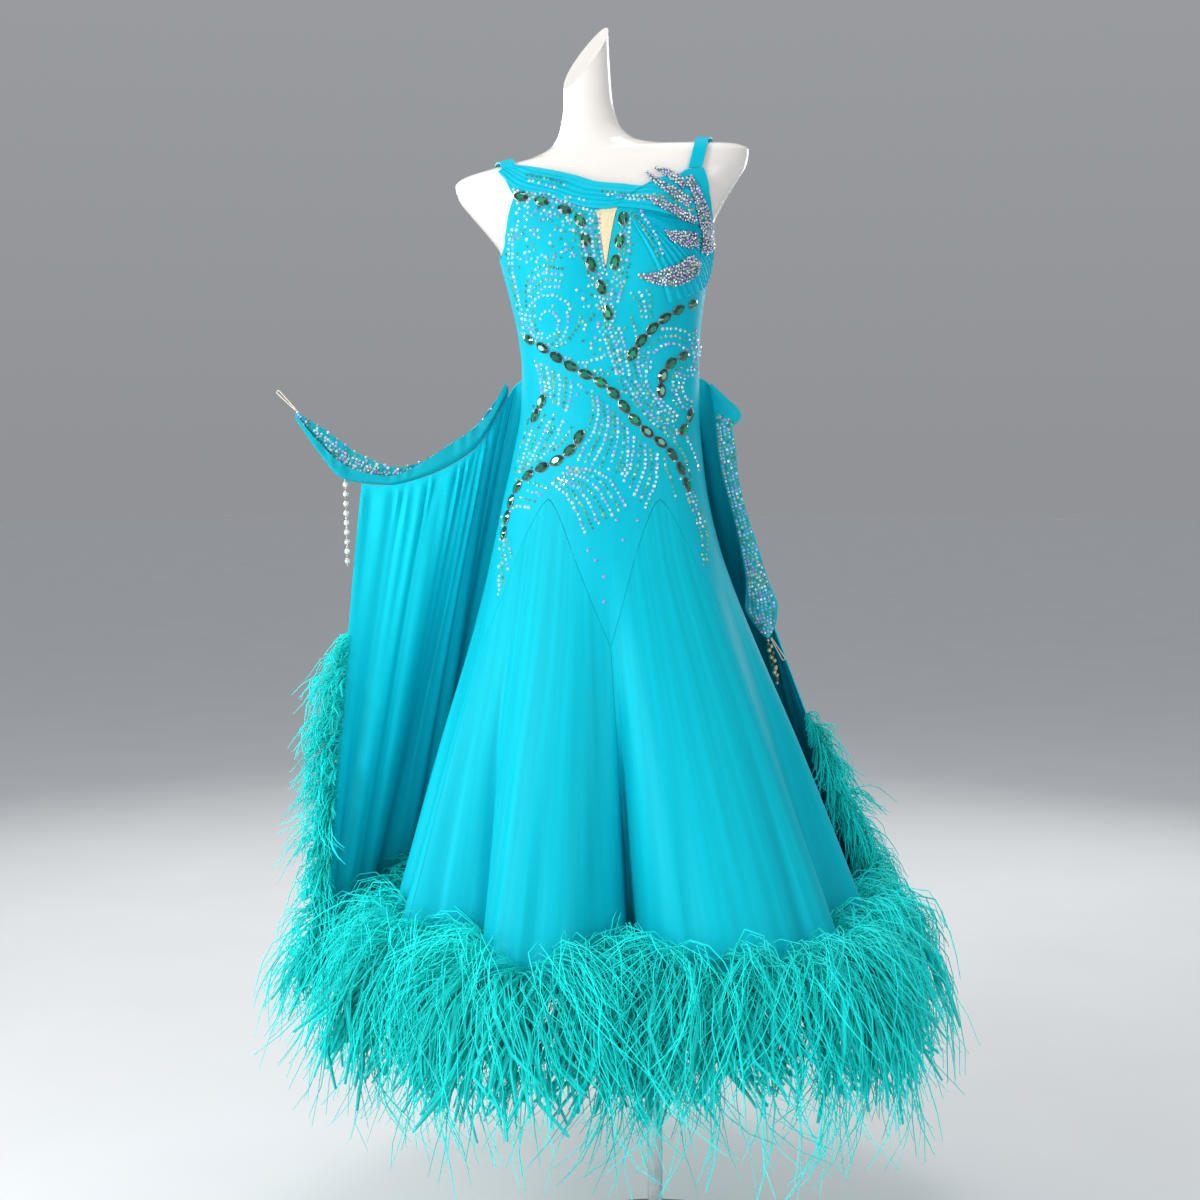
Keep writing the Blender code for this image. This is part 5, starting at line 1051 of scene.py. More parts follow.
float_grids = {}
for side, sewn, free, pleats, sign in (
    ("left", LEFT_SEWN, LEFT_FREE, LEFT_PLEATS, 1),
    ("right", RIGHT_SEWN, RIGHT_FREE, RIGHT_PLEATS, -1),
):
    grid = float_grid(float_lines(sewn, free), pleats, sign)
    float_grids[side] = grid
    cloth_piece(
        "cloth_float_" + side, grid, grid - CLOTH * grid_normals(grid), float_chiffon, "float_" + side,
    )

# ---- wrist bands ----
# The left band is a folded lycra strip along the float's top edge: a plain flap in front, a stoned one
# behind. The right band hangs loose at the float's free end. Each ends in a point for its finger loop.

BandRise = namedtuple("BandRise", "x front back spread")
BAND_RISES = table_of(
    BandRise,
    (-0.580, 0.0100, 0.0135, 0.0042), (-0.562, 0.0140, 0.029, 0.0060), (-0.538, 0.020, 0.048, 0.0070),
    (-0.513, 0.026, 0.059, 0.0075), (-0.489, 0.021, 0.050, 0.0075), (-0.454, 0.016, 0.037, 0.0075),
    (-0.431, 0.015, 0.030, 0.0075), (-0.410, 0.017, 0.026, 0.0075), (-0.381, 0.024, 0.026, 0.0075),
    (-0.351, 0.030, 0.032, 0.0075), (-0.323, 0.034, 0.036, 0.0075), (-0.288, 0.034, 0.036, 0.0070),
    (-0.265, 0.024, 0.032, 0.0090), (-0.242, 0.026, 0.020, 0.0130), (-0.226, 0.018, 0.012, 0.0110),
)
BAND_POINT = [  # x, y, z
    (-0.580, 0.018, 1.383), (-0.562, 0.019, 1.355), (-0.538, 0.020, 1.321), (-0.514, 0.022, 1.292),
    (-0.495, 0.027, 1.283),
]
BAND_GAP, BAND_RIPPLE, BAND_STATIONS, BAND_ROWS = 0.0005, 0.0014, 170, 27
EDGE_START_X = -0.470  # from here on the fold follows the float's top edge
FOLD_SHARE = 0.36  # the cloth's greatest thickness, as a share of the fold's spread

held_edge = float_grids["left"][0, ::-1]
held_edge = held_edge[held_edge[:, 0] < LEFT_FREE[0].top_x + 0.002][::10]
held_edge = held_edge[held_edge[:, 0] > EDGE_START_X] + (0, 0, BAND_GAP)
fold_table = np.concatenate([np.array(BAND_POINT), held_edge])
fold_line = smooth_rows(fold_table, BAND_STATIONS)
places = column(BAND_RISES, "x")
front, back, spread = (
    curve_through(places, column(BAND_RISES, name))(fold_line[:, 0]) for name in ("front", "back", "spread")
)
flat = np.zeros_like(front)
along = np.stack([-0.9 + flat, -1.0 + flat, flat, 1.0 + flat, 0.8 + flat]) * spread
up = np.stack([front, 0.35 * front, flat, 0.3 * back, back])
profile_places = [0.0, 0.25, 0.5, 0.75, 1.0]
ways = np.linspace(0, 1, BAND_ROWS)
lines = []
for values in (along, up):
    lines.append(np.stack([curve_through(profile_places, line)(ways) for line in values.T], axis=1))
ripple = BAND_RIPPLE * np.sin(180 * fold_line[:, 0] + 3 * np.sin(61 * fold_line[:, 0]))
rim = np.abs(2 * ways - 1)[:, None] ** 2
band_left = fold_line[None] + np.stack([0 * lines[0], lines[0] + ripple * rim, lines[1]], axis=-1)
thickness = np.minimum(CLOTH, FOLD_SHARE * spread)[None, :, None]
band_left_inner = band_left - thickness * grid_normals(band_left)
# A darker copy of the lycra: painted shade on the left band.
band_lycra_painted_shade = cloth_material(
    "folded_lycra", (0.002, 0.30, 0.38), (0.004, 0.48, 0.58), 1600, 0.2, 0.3, 0.10, Roughness=0.46,
    Specular_IOR_Level=0.08,
)
cloth_piece(
    "wrist_band_left_cloth", band_left, band_left_inner, band_lycra_painted_shade, "wrist_band_left",
)

HANGING_BAND = [  # left x, left z, right x, right z, y
    (0.0855, 1.437, 0.092, 1.442, 0.0468), (0.094, 1.412, 0.141, 1.390, 0.0412),
    (0.098, 1.377, 0.126, 1.367, 0.0400), (0.101, 1.3435, 0.131, 1.3435, 0.0410),
    (0.108, 1.301, 0.135, 1.301, 0.0430), (0.121, 1.252, 0.145, 1.252, 0.0460),
    (0.134, 1.203, 0.160, 1.203, 0.0500), (0.143, 1.160, 0.174, 1.160, 0.0530),
    (0.150, 1.116, 0.188, 1.116, 0.0560), (0.149, 1.076, 0.203, 1.076, 0.0590),
    (0.160, 1.052, 0.201, 1.052, 0.0600), (0.180, 1.026, 0.190, 1.024, 0.0610),
]
HANGING_BULGE, HANGING_RIPPLE, HANGING_STATIONS, HANGING_COLUMNS = 0.006, 0.0008, 110, 17
rows = smooth_rows(HANGING_BAND, HANGING_STATIONS)
share = np.linspace(0, 1, HANGING_COLUMNS)[None, :]
x = rows[:, 0:1] + share * (rows[:, 2:3] - rows[:, 0:1])
z = rows[:, 1:2] + share * (rows[:, 3:4] - rows[:, 1:2])
y = rows[:, 4:5] - HANGING_BULGE * np.sin(np.pi * share) + HANGING_RIPPLE * np.sin(140 * z + 4 * share)
band_right = np.stack([x, y, z], axis=-1)
cloth_piece(
    "wrist_band_right_cloth", band_right, band_right - CLOTH * grid_normals(band_right), lycra,
    "wrist_band_right",
)

# ---- bead strands and finger loops ----
# A strand of pearls hangs from the left band and one of small gold and green beads from the right. Each
# band's point ends in a loop of thin elastic for the finger.


def tube_mesh(name, path, radii, sides):
    """A closed round bar along a path, with a radius at each of its points."""
    path = np.asarray(path, float)
    run = unit(np.gradient(path, axis=0))
    side = unit(np.cross(run, np.cross([0.0, 1.0, 0.0], run)))
    other = np.cross(run, side)
    turns = 2 * np.pi * np.arange(sides) / sides
    ring = np.cos(turns)[None, :, None] * side[:, None] + np.sin(turns)[None, :, None] * other[:, None]
    points = path[:, None] + np.asarray(radii)[:, None, None] * ring
    at = np.arange(len(path) * sides).reshape(len(path), sides)
    nxt = np.roll(at, -1, axis=1)
    faces = np.stack([at[:-1], nxt[:-1], nxt[1:], at[1:]], axis=-1).reshape(-1, 4).tolist()
    faces.append(at[0, ::-1].tolist())
    faces.append(at[-1].tolist())
    return mesh_from(name, points.reshape(-1, 3).tolist(), faces)


def mesh_of(name, shapes):
    """One mesh from several lists of (points, faces)."""
    points, faces = [], []
    for some_points, some_faces in shapes:
        base = len(points)
        points += [tuple(p) for p in some_points]
        faces += [[base + v for v in face] for face in some_faces]
    return mesh_from(name, points, faces)


def ball(centre, radius, rings=10, sides=16):
    """A round bead as (points, faces)."""
    x, y, z = centre
    points = [(x, y, z + radius)]
    for i in range(1, rings):
        fall = math.pi * i / rings
        out, height = radius * math.sin(fall), z + radius * math.cos(fall)
        for k in range(sides):
            turn = 2 * math.pi * k / sides
            points.append((x + out * math.cos(turn), y + out * math.sin(turn), height))
    points.append((x, y, z - radius))
    faces, last, foot = [], len(points) - 1, 1 + (rings - 2) * sides
    for k in range(sides):
        m = (k + 1) % sides
        faces.append((0, 1 + k, 1 + m))
        for i in range(rings - 2):
            a, b = 1 + i * sides, 1 + (i + 1) * sides
            faces.append((a + k, b + k, b + m, a + m))
        faces.append((last, foot + m, foot + k))
    return points, faces


def lustre_material(name, dark, light, **values):
    """Pearl or gold lustre: two shades that drift over each bead."""
    return hard_material(name, dark, light, (0.10, 0.24), 60.0, 0.04, **values)


pearl = lustre_material(
    "pearl_lustre", (0.62, 0.63, 0.62), (0.88, 0.87, 0.83), Metallic=0.25, Coat_Weight=0.8,
    Coat_Roughness=0.06,
)
gold_bead = lustre_material(
    "gold_lustre", (0.40, 0.27, 0.10), (0.88, 0.76, 0.50), Metallic=0.85, Coat_Weight=0.4
)
green_bead = lustre_material("green_glass", (0.001, 0.03, 0.02), (0.01, 0.12, 0.07), Coat_Weight=0.8)
thread = cloth_material(
    "bead_thread", (0.55, 0.60, 0.58), (0.80, 0.84, 0.82), 2500, 0.2, 0.2, 0.3, Roughness=0.5
)

BEAD_RADIUS, BEAD_PITCH, SPACER_RADIUS = 0.0048, 0.0155, 0.0018
THREAD_RADIUS, THREAD_POINTS, THREAD_SIDES = 0.0006, 12, 6


def straight_thread(name, top, way):
    """A thread from its top, as far as the way that it is given."""
    path = [top + way * share for share in np.linspace(0, 1, THREAD_POINTS)]
    mesh = tube_mesh(name, path, [THREAD_RADIUS] * THREAD_POINTS, THREAD_SIDES)
    add_object(name, mesh, thread, (), 0)


PEARLS = 9
STRAND_TOP = np.array([-0.5027, 0.0246, 1.2857])
STRAND_FOOT = np.array([-0.500, 0.0200, 1.2857 - PEARLS * BEAD_PITCH])
step = (STRAND_FOOT - STRAND_TOP) / PEARLS
pearls, spacers = [], []
for number in range(PEARLS):
    pearls.append(ball(STRAND_TOP + step * (number + 0.5), BEAD_RADIUS * (0.96 + 0.04 * (number % 2))))
    for place in (0.05, 0.95):
        spacers.append(ball(STRAND_TOP + step * (number + place), SPACER_RADIUS, 6, 10))
add_object("pearls_left", mesh_of("pearls_left", pearls), pearl, ["bead_strand_left"], 0)
add_object("pearl_spacers_left", mesh_of("pearl_spacers_left", spacers), gold_bead, (), 0)
straight_thread("pearl_thread_left", STRAND_TOP, step * PEARLS)

Dangle = namedtuple("Dangle", "along aside radius dark")
DANGLES = table_of(
    Dangle,
    (0.000, 0.000, 0.0030, False), (0.006, -0.003, 0.0034, True), (0.011, 0.003, 0.0038, False),
    (0.017, -0.002, 0.0044, False), (0.023, 0.003, 0.0036, True), (0.029, -0.001, 0.0046, False),
    (0.036, 0.003, 0.0042, False), (0.042, -0.003, 0.0038, True), (0.048, 0.002, 0.0046, False),
    (0.055, -0.001, 0.0042, False), (0.061, 0.002, 0.0036, False), (0.067, 0.000, 0.0040, True),
    (0.073, 0.000, 0.0030, False),
)
CLUSTER_TOP = np.array([0.1861, 0.0596, 1.0241])
CLUSTER_FOOT = np.array([0.2026, 0.0616, 1.0241 - 5 * BEAD_PITCH])
CLUSTER_START, CLUSTER_LENGTH = 0.004, 0.0775
run = unit(CLUSTER_FOOT - CLUSTER_TOP)
aside = unit(np.cross(run, [0.0, 1.0, 0.0]))
for dark, name, finish in ((False, "gold_beads_right", gold_bead), (True, "green_beads_right", green_bead)):
    shapes = [
        ball(CLUSTER_TOP + run * (CLUSTER_START + bead.along) + aside * bead.aside, bead.radius)
        for bead in DANGLES
        if bead.dark == dark
    ]
    add_object(name, mesh_of(name, shapes), finish, ["bead_strand_right"], 0)
straight_thread("cluster_thread_right", CLUSTER_TOP, run * CLUSTER_LENGTH)

LOOP_RADIUS, LOOP_HALF_WIDTH, LOOP_SIDES = 0.0009, 0.0026, 8
elastic = cloth_material(
    "covered_elastic", (0.62, 0.54, 0.40), (0.88, 0.82, 0.70), 3000, 0.2, 0.3, 0.5, Roughness=0.6
)
Loop = namedtuple("Loop", "side root tip")
LOOPS = [
    Loop("left", (-0.5794, 0.0188, 1.3976), (-0.6094, 0.0188, 1.4286)),
    Loop("right", (0.1916, 0.0606, 1.0242), (0.2142, 0.0611, 0.9872)),
]
for loop in LOOPS:
    root, tip = np.array(loop.root), np.array(loop.tip)
    run = unit(tip - root)
    side = unit(np.cross(run, [0.0, 1.0, 0.0])) * LOOP_HALF_WIDTH
    end = tip - run * LOOP_HALF_WIDTH
    # Both legs start close together at the root and are a loop's width apart at its round end.
    ways = np.linspace(0, 0.95, 12)
    path = [root + 0.3 * side + (end - root) * share + 0.7 * side * share for share in ways]
    for turn in np.linspace(0, math.pi, 13):
        path.append(end + side * math.cos(turn) + run * LOOP_HALF_WIDTH * math.sin(turn))
    ways = np.linspace(0.95, 0, 12)
    path += [root - 0.3 * side + (end - root) * share - 0.7 * side * share for share in ways]
    name = "finger_cord_" + loop.side
    mesh = tube_mesh(name, path, [LOOP_RADIUS] * len(path), LOOP_SIDES)
    add_object(name, mesh, elastic, ["finger_loop_" + loop.side], 0)

# ---- feathers ----
# Dyed ostrich fringe, sewn on in tufts: long thin flues with soft barbs that leave the cloth outwards
# and curl over downwards. It runs round the skirt, along each float's foot and up its free edge.

FLUE_SIDES = 3
BARB_LENGTH, BARB_RADIUS, BARB_TILT = 0.0060, 0.00055, 0.70


def feather_tree():
    """Turns centre lines into closed tubes of their own radius, with barbs along each."""
    inputs = {"Geometry": "Geometry", "Sides": "Int", "Barbs": "Int", "Seed": "Int", "Finish": "Material"}
    inputs.update({"Barb Length": "Float", "Barb Radius": "Float", "Barb Tilt": "Float"})
    outputs = {"Geometry": "Geometry"}
    tree, given, last = new_group("feather_flues", "GeometryNodeTree", inputs, outputs)
    curve = output_of(tree, "GeometryNodeMeshToCurve", {"Mesh": given["Geometry"]})
    wide = output_of(tree, "GeometryNodeInputNamedAttribute", {"Name": "flue_radius"}, data_type="FLOAT")
    curve = output_of(tree, "GeometryNodeSetCurveRadius", {"Curve": curve, "Radius": wide})
    ring = {"Resolution": given["Sides"], "Radius": 1.0}
    ring = output_of(tree, "GeometryNodeCurvePrimitiveCircle", ring)
    tube = {"Curve": curve, "Profile Curve": ring, "Fill Caps": True}
    tube = add_node(tree, "GeometryNodeCurveToMesh", tube)
    if "Scale" in tube.inputs:
        feed(tree, tube, {"Scale": wide})
    spots = {"Curve": curve, "Count": given["Barbs"]}
    spots = add_node(tree, "GeometryNodeCurveToPoints", spots, mode="COUNT").outputs
    spike = {"Vertices": 3, "Radius Top": 0.0}
    spike.update({"Radius Bottom": given["Barb Radius"], "Depth": given["Barb Length"]})
    spike = output_of(tree, "GeometryNodeMeshCone", spike, fill_type="NGON")
    spin = add_node(tree, "FunctionNodeRandomValue", {"Seed": given["Seed"]}, data_type="FLOAT")
    spin_low, spin_high = [socket for socket in spin.inputs if socket.enabled][:2]
    spin_low.default_value, spin_high.default_value = 0.0, math.tau
    spin = next(socket for socket in spin.outputs if socket.enabled)
    size = {"Value": wide, "From Max": 0.0008, "To Min": 0.35, "To Max": 1.1}
    barbs = {"Points": spots[0], "Instance": spike, "Rotation": spots["Rotation"]}
    barbs["Scale"] = output_of(tree, "ShaderNodeMapRange", size)
    barbs = output_of(tree, "GeometryNodeInstanceOnPoints", barbs)
    for turn in ({"Z": spin}, {"X": given["Barb Tilt"]}):
        turn = {"Instances": barbs, "Rotation": output_of(tree, "ShaderNodeCombineXYZ", turn)}
        barbs = output_of(tree, "GeometryNodeRotateInstances", turn)
    both = add_node(tree, "GeometryNodeJoinGeometry", {0: barbs})
    feed(tree, both, {0: tube.outputs[0]})
    real = output_of(tree, "GeometryNodeRealizeInstances", {"Geometry": both.outputs[0]})
    finish = {"Geometry": real, "Material": given["Finish"]}
    feed(tree, last, {"Geometry": output_of(tree, "GeometryNodeSetMaterial", finish)})
    return tree


FEATHER_TREE = feather_tree()


def made_by_nodes(name, mesh, tree, **values):
    """The plain mesh that a node tree makes from a mesh. Inputs are named with _ for their spaces."""
    holder = bpy.data.objects.new(name + "_source", mesh)
    scene.collection.objects.link(holder)
    modifier = holder.modifiers.new(name, "NODES")
    modifier.node_group = tree
    for item in tree.interface.items_tree:
        if item.item_type == "SOCKET" and item.in_out == "INPUT" and item.name.replace(" ", "_") in values:
            modifier[item.identifier] = values[item.name.replace(" ", "_")]
    seen = bpy.context.evaluated_depsgraph_get()
    result = bpy.data.meshes.new_from_object(holder.evaluated_get(seen), depsgraph=seen)
    result.name = name
    holder.modifiers.clear()
    bpy.data.objects.remove(holder)
    return result


def feather_material(name, dark, light):
    """Feather whose colour follows its flue's painted shade, dark at the roots and light at the
    ends, with a soft mottling over the whole trim.
    """
    made, tree, shader = new_material(
        name, Roughness=0.60, Specular_IOR_Level=0.15, Sheen_Weight=0.12, Sheen_Roughness=0.45,
        Sheen_Tint=(0.25, 1.0, 0.95, 1),
    )
    shade = add_node(tree, "ShaderNodeAttribute", attribute_name="flue_shade").outputs["Fac"]
    place = add_node(tree, "ShaderNodeTexCoord").outputs["Object"]
    noise = output_of(tree, "ShaderNodeTexNoise", {"Vector": place, "Scale": 14.0})
    both = output_of(tree, "ShaderNodeMath", {0: noise, 1: 0.45, 2: shade}, operation="MULTIPLY_ADD")
    feed(tree, shader, {"Base Color": two_tone(tree, both, dark, light, 0.15, 0.85)})
    return made


plumage = feather_material("dyed_ostrich", (0.003, 0.56, 0.53), (0.010, 0.98, 0.94))

# How the tufts of one row grow: their number, the flues in each, their length, how far they leave
# outwards and upwards, where along the flue they have drooped, how they spread, their thickness, the
# points and barbs on each, and their painted shade, darkest on the down at the roots and light
# towards the ends.
Plume = namedtuple("Plume", "tufts flues length out up droop spread radius points barbs shade seed")
FLUE_WAVE, FLUE_WAVES, FLUE_TIP = 0.40, 5.2, 0.45
# What a tuft's flues share, and what each flue has of its own, past what its plume gives.
TUFT_SWING, TUFT_RISE, TUFT_CURL, OWN_CURL = 0.45, 0.30, 0.75, 0.38
LENGTH_MEAN, TUFT_LENGTH, OWN_LENGTH, LENGTH_RANGE = 0.84, 0.13, 0.17, (0.40, 1.28)
FLICK_START, FLICK = 0.55, 1.7  # where a flue's end begins to flick aside, and how far
# Painted shade: TIP_LIGHT lightens each flue towards its tip; SHADE_CHANGE varies it by tuft and flue.
TIP_LIGHT, SHADE_CHANGE, ROOT_SCATTER = 0.40, 0.12, 0.003
FREE_REACH, SPARE_REACH = 0.008, 0.024  # past the frame's box: without restraint, and at most on top


def held_in(points):
    """Points past the sides of the frame's box are drawn in softly towards it."""
    held = points.copy()
    for axis in (0, 1):
        for way, limit in ((-1, cad_box[0][axis]), (1, cad_box[1][axis])):
            over = np.maximum(way * (points[..., axis] - limit) - FREE_REACH, 0)
            held[..., axis] -= way * (over - SPARE_REACH * (1 - np.exp(-over / SPARE_REACH)))
    return held


def between(rows, at):
    """The rows at fractional places, so that tufts aren't bound to a grid's own lines."""
    low = np.minimum(at.astype(int), len(rows) - 2)
    return rows[low] + (at - low)[:, None] * (rows[low + 1] - rows[low])


def flues(name, node, roots, outs, sides, plume, growth=None):
    """Tufts of flues from roots along a line. Growth is the share of their length at each root."""
    luck = np.random.default_rng(plume.seed)
    at = (np.arange(plume.tufts) + luck.random(plume.tufts)) / plume.tufts * (len(roots) - 1.001)
    count = plume.tufts * plume.flues
    tuft = np.repeat(np.arange(plume.tufts), plume.flues)
    root = between(roots, at)[tuft]
    out, side = unit(between(outs, at))[tuft], unit(between(sides, at))[tuft]
    shared, own = luck.normal(size=(plume.tufts, 6)), luck.normal(size=(count, 7))
    swing = TUFT_SWING * shared[tuft, 0] + plume.spread * own[:, 0]
    rise = plume.up + TUFT_RISE * shared[tuft, 1] + plume.spread * own[:, 1]
    length = LENGTH_MEAN + TUFT_LENGTH * shared[tuft, 2] + OWN_LENGTH * own[:, 2]
    length = plume.length * np.clip(length, *LENGTH_RANGE)
    if growth is not None:
        length = length * np.interp(at, np.arange(len(roots)), growth)[tuft]
    curl = TUFT_CURL * shared[tuft, 3] + OWN_CURL * own[:, 3]
    down = np.array([0.0, 0.0, -1.0])
    first = unit(plume.out * out + swing[:, None] * side - rise[:, None] * down)
    last = unit(down + (0.22 + 0.14 * own[:, 5:6]) * out + (0.22 * swing + 0.30 * curl)[:, None] * side)
    share = np.linspace(0, 1, plume.points)
    bent = smooth_step(-0.15, plume.droop, share)[None, :, None]
    turn = first[:, None, :] * (1 - bent) + last[:, None, :] * bent
    phase = 2.2 * shared[tuft, 4] + 0.8 * own[:, 6]
    wave = FLUE_WAVE * (0.25 + share) * np.sin(FLUE_WAVES * share + phase[:, None])
    wave = wave * (0.6 + 0.5 * np.abs(own[:, 4:5]))
    flick = np.maximum(share - FLICK_START, 0)[None, :] * FLICK * curl[:, None]
    turn = turn + (wave + flick)[..., None] * side[:, None, :]
    turn = unit(turn + (0.45 * flick - 0.6 * wave)[..., None] * out[:, None, :])
    step = (length / (plume.points - 1))[:, None, None]
    line = np.concatenate([np.zeros((count, 1, 3)), np.cumsum(turn[:, :-1] * step, axis=1)], axis=1)
    line = held_in(line + (root + ROOT_SCATTER * own[:, 4:5] * side)[:, None, :])
    thick = plume.radius * (0.75 + 0.5 * luck.random(count))[:, None]
    wide = thick * (0.55 + 0.45 * np.minimum(4 * share, 1))[None, :]
    wide = wide * (1 - (1 - FLUE_TIP) * share**2.5)[None, :]
    first_point = np.arange(count)[:, None] * plume.points + np.arange(plume.points - 1)[None, :]
    edges = np.stack([first_point, first_point + 1], axis=-1).reshape(-1, 2)
    mesh = mesh_from(name, line.reshape(-1, 3).tolist(), [], edges.tolist())
    # Painted shade: the row's own darkness, lighter towards the tip.
    shade = plume.shade + TIP_LIGHT * share[None, :]
    shade = shade + SHADE_CHANGE * shared[tuft, 5:6] + SHADE_CHANGE * own[:, 4:5]
    store(mesh, "flue_radius", "FLOAT", "POINT", wide)
    store(mesh, "flue_shade", "FLOAT", "POINT", np.clip(shade, 0, 1))
    result = made_by_nodes(
        name, mesh, FEATHER_TREE, Sides=FLUE_SIDES, Barbs=plume.barbs, Barb_Length=BARB_LENGTH,
        Barb_Radius=BARB_RADIUS, Barb_Tilt=BARB_TILT, Seed=plume.seed, Finish=plumage,
    )
    add_object(name, result, plumage, [node], 0)


# The skirt's trim: down at the roots, painted dark as the shade inside the fringe, and three rows
# of tufts one above the other, in four pieces each.
PLUME_PIECES, ROOT_WAVE, ROOT_WAVES = 4, 0.010, 97
SKIRT_CENTRE = np.array([-0.035, 0, 0])
SKIRT_ROWS = [
    ("down", 0.020, Plume(80, 8, 0.205, 0.85, -0.30, 0.50, 0.22, 0.00480, 5, 1, -0.32, 2)),
    ("low", 0.012, Plume(46, 9, 0.272, 0.75, -0.55, 0.60, 0.24, 0.00130, 7, 5, 0.00, 3)),
    ("middle", 0.030, Plume(56, 9, 0.255, 1.05, 0.15, 0.72, 0.28, 0.00125, 7, 3, 0.10, 4)),
    ("high", 0.046, Plume(48, 9, 0.185, 0.90, 0.75, 0.82, 0.36, 0.00110, 7, 2, 0.20, 5)),
]


def reach_along(line):
    """Distance along a line of points, from its first."""
    return np.concatenate([[0], np.cumsum(np.linalg.norm(np.diff(line, axis=0), axis=1))])


hem_angles = np.linspace(-180, 180, 1441)[:-1]
hem_reach = reach_along(cloth_point(hem_angles, np.full(1440, HEM_HEIGHT)))
for row, above_hem, plume in SKIRT_ROWS:
    for piece in range(PLUME_PIECES):
        even = (np.linspace(0, 1, 400) + piece) / PLUME_PIECES * hem_reach[-1]
        angles = np.interp(even, hem_reach, hem_angles)
        heights = HEM_HEIGHT + above_hem + ROOT_WAVE * np.sin(ROOT_WAVES * angles)
        roots = cloth_point(angles, heights, 0.002)
        outs = unit(cloth_point(angles, heights, 0.010) - roots)
        round_body = unit((roots - SKIRT_CENTRE) * (1, 1, 0))
        outs = unit(0.5 * outs + 0.5 * round_body)
        sides = unit(np.cross([0.0, 0.0, 1.0], outs))
        one = plume._replace(seed=plume.seed * 10 + piece)
        flues(f"plumes_skirt_{row}_{piece}", "feathers_skirt", roots, outs, sides, one)

FOOT_PLUMES = {
    "down": Plume(44, 8, 0.135, 0.60, -0.40, 0.55, 0.25, 0.00420, 5, 1, -0.30, 20),
    "long": Plume(66, 9, 0.185, 0.80, -0.25, 0.70, 0.28, 0.00125, 7, 4, 0.08, 21),
}
EDGE_PLUMES = {
    "down": Plume(50, 8, 0.052, 0.90, -0.10, 0.80, 0.30, 0.00320, 5, 1, -0.28, 30),
    "long": Plume(72, 8, 0.098, 1.00, 0.15, 0.90, 0.36, 0.00110, 7, 3, 0.10, 31),
}
EDGE_TOP = {"left": 1.050, "right": 0.900}
EDGE_FOOT, EDGE_LAP = 0.53, 0.004  # the lap is how far the tufts start inside the cloth's edge
TOP_GROWTH, GROWTH_REACH = 0.42, 0.22  # the top tufts' length, and how far down it takes to full
for side, grid in float_grids.items():
    normals = grid_normals(grid)
    place, beside = (0, 1) if side == "right" else (-1, -2)
    edge = grid[:, place]
    kept = (edge[:, 2] < EDGE_TOP[side]) & (edge[:, 2] > EDGE_FOOT)
    away = unit(edge - grid[:, beside])
    spare = 100 * (side == "right")
    grown = smooth_step(0.0, GROWTH_REACH, np.linspace(0, 1, np.count_nonzero(kept)))
    growth = TOP_GROWTH + 0.58 * grown
    for row, plume in FOOT_PLUMES.items():
        flues(
            f"plumes_foot_{side}_{row}", "feathers_float_" + side, grid[-1], normals[-1],
            unit(np.gradient(grid[-1], axis=0)), plume._replace(seed=plume.seed + spare),
        )
    for row, plume in EDGE_PLUMES.items():
        flues(
            f"plumes_edge_{side}_{row}", "feathers_edge_" + side, (edge - EDGE_LAP * away)[kept],
            away[kept], normals[:, place][kept], plume._replace(seed=plume.seed + spare), growth,
        )

# ---- chains of large stones ----
# Foil-backed dark green navettes, pointed ovals in plated claw settings, glued on tip to tip along
# curved lines that cross the bust, waist and hips.

NAVETTE_LENGTH, NAVETTE_WIDTH, NAVETTE_HEIGHT = 0.0236, 0.0146, 0.0046
chance = np.random.default_rng(11)




def cut_stone(name, outline, table_share, girdle, height, seed):
    """A stone from its outline: a base, a low girdle or none, a crown of triangles and a flat table.

    Each face keeps its own random value, which the stone's material turns into a painted glint
    or a painted dark face."""
    count = len(outline)
    outline = np.asarray(outline, float)
    halfway = (outline + np.roll(outline, -1, axis=0)) / 2
    points = [(x, y, 0.0) for x, y in outline] + [(x, y, girdle) for x, y in outline if girdle]
    waist, table = len(points) - count, len(points)
    points += [(x * table_share, y * table_share, height) for x, y in halfway]
    faces = [tuple(reversed(range(count)))]
    for i in range(count):
        j, h = (i + 1) % count, (i - 1) % count
        if girdle:
            faces.append((i, j, waist + j, waist + i))
        faces.append((waist + i, waist + j, table + i))
        faces.append((waist + i, table + i, table + h))
    faces.append(tuple(table + i for i in range(count)))
    mesh = mesh_from(name, points, faces)
    store(mesh, "facet", "FLOAT", "FACE", np.random.default_rng(seed).random(len(faces)))
    return mesh


def navette_outline(length, width, count):
    outline = []
    for k in range(count):
        turn = 2 * math.pi * k / count
        taper = abs(math.sin(turn)) ** 1.12
        outline.append((math.cos(turn) * length / 2, math.copysign(taper, math.sin(turn)) * width / 2))
    return outline


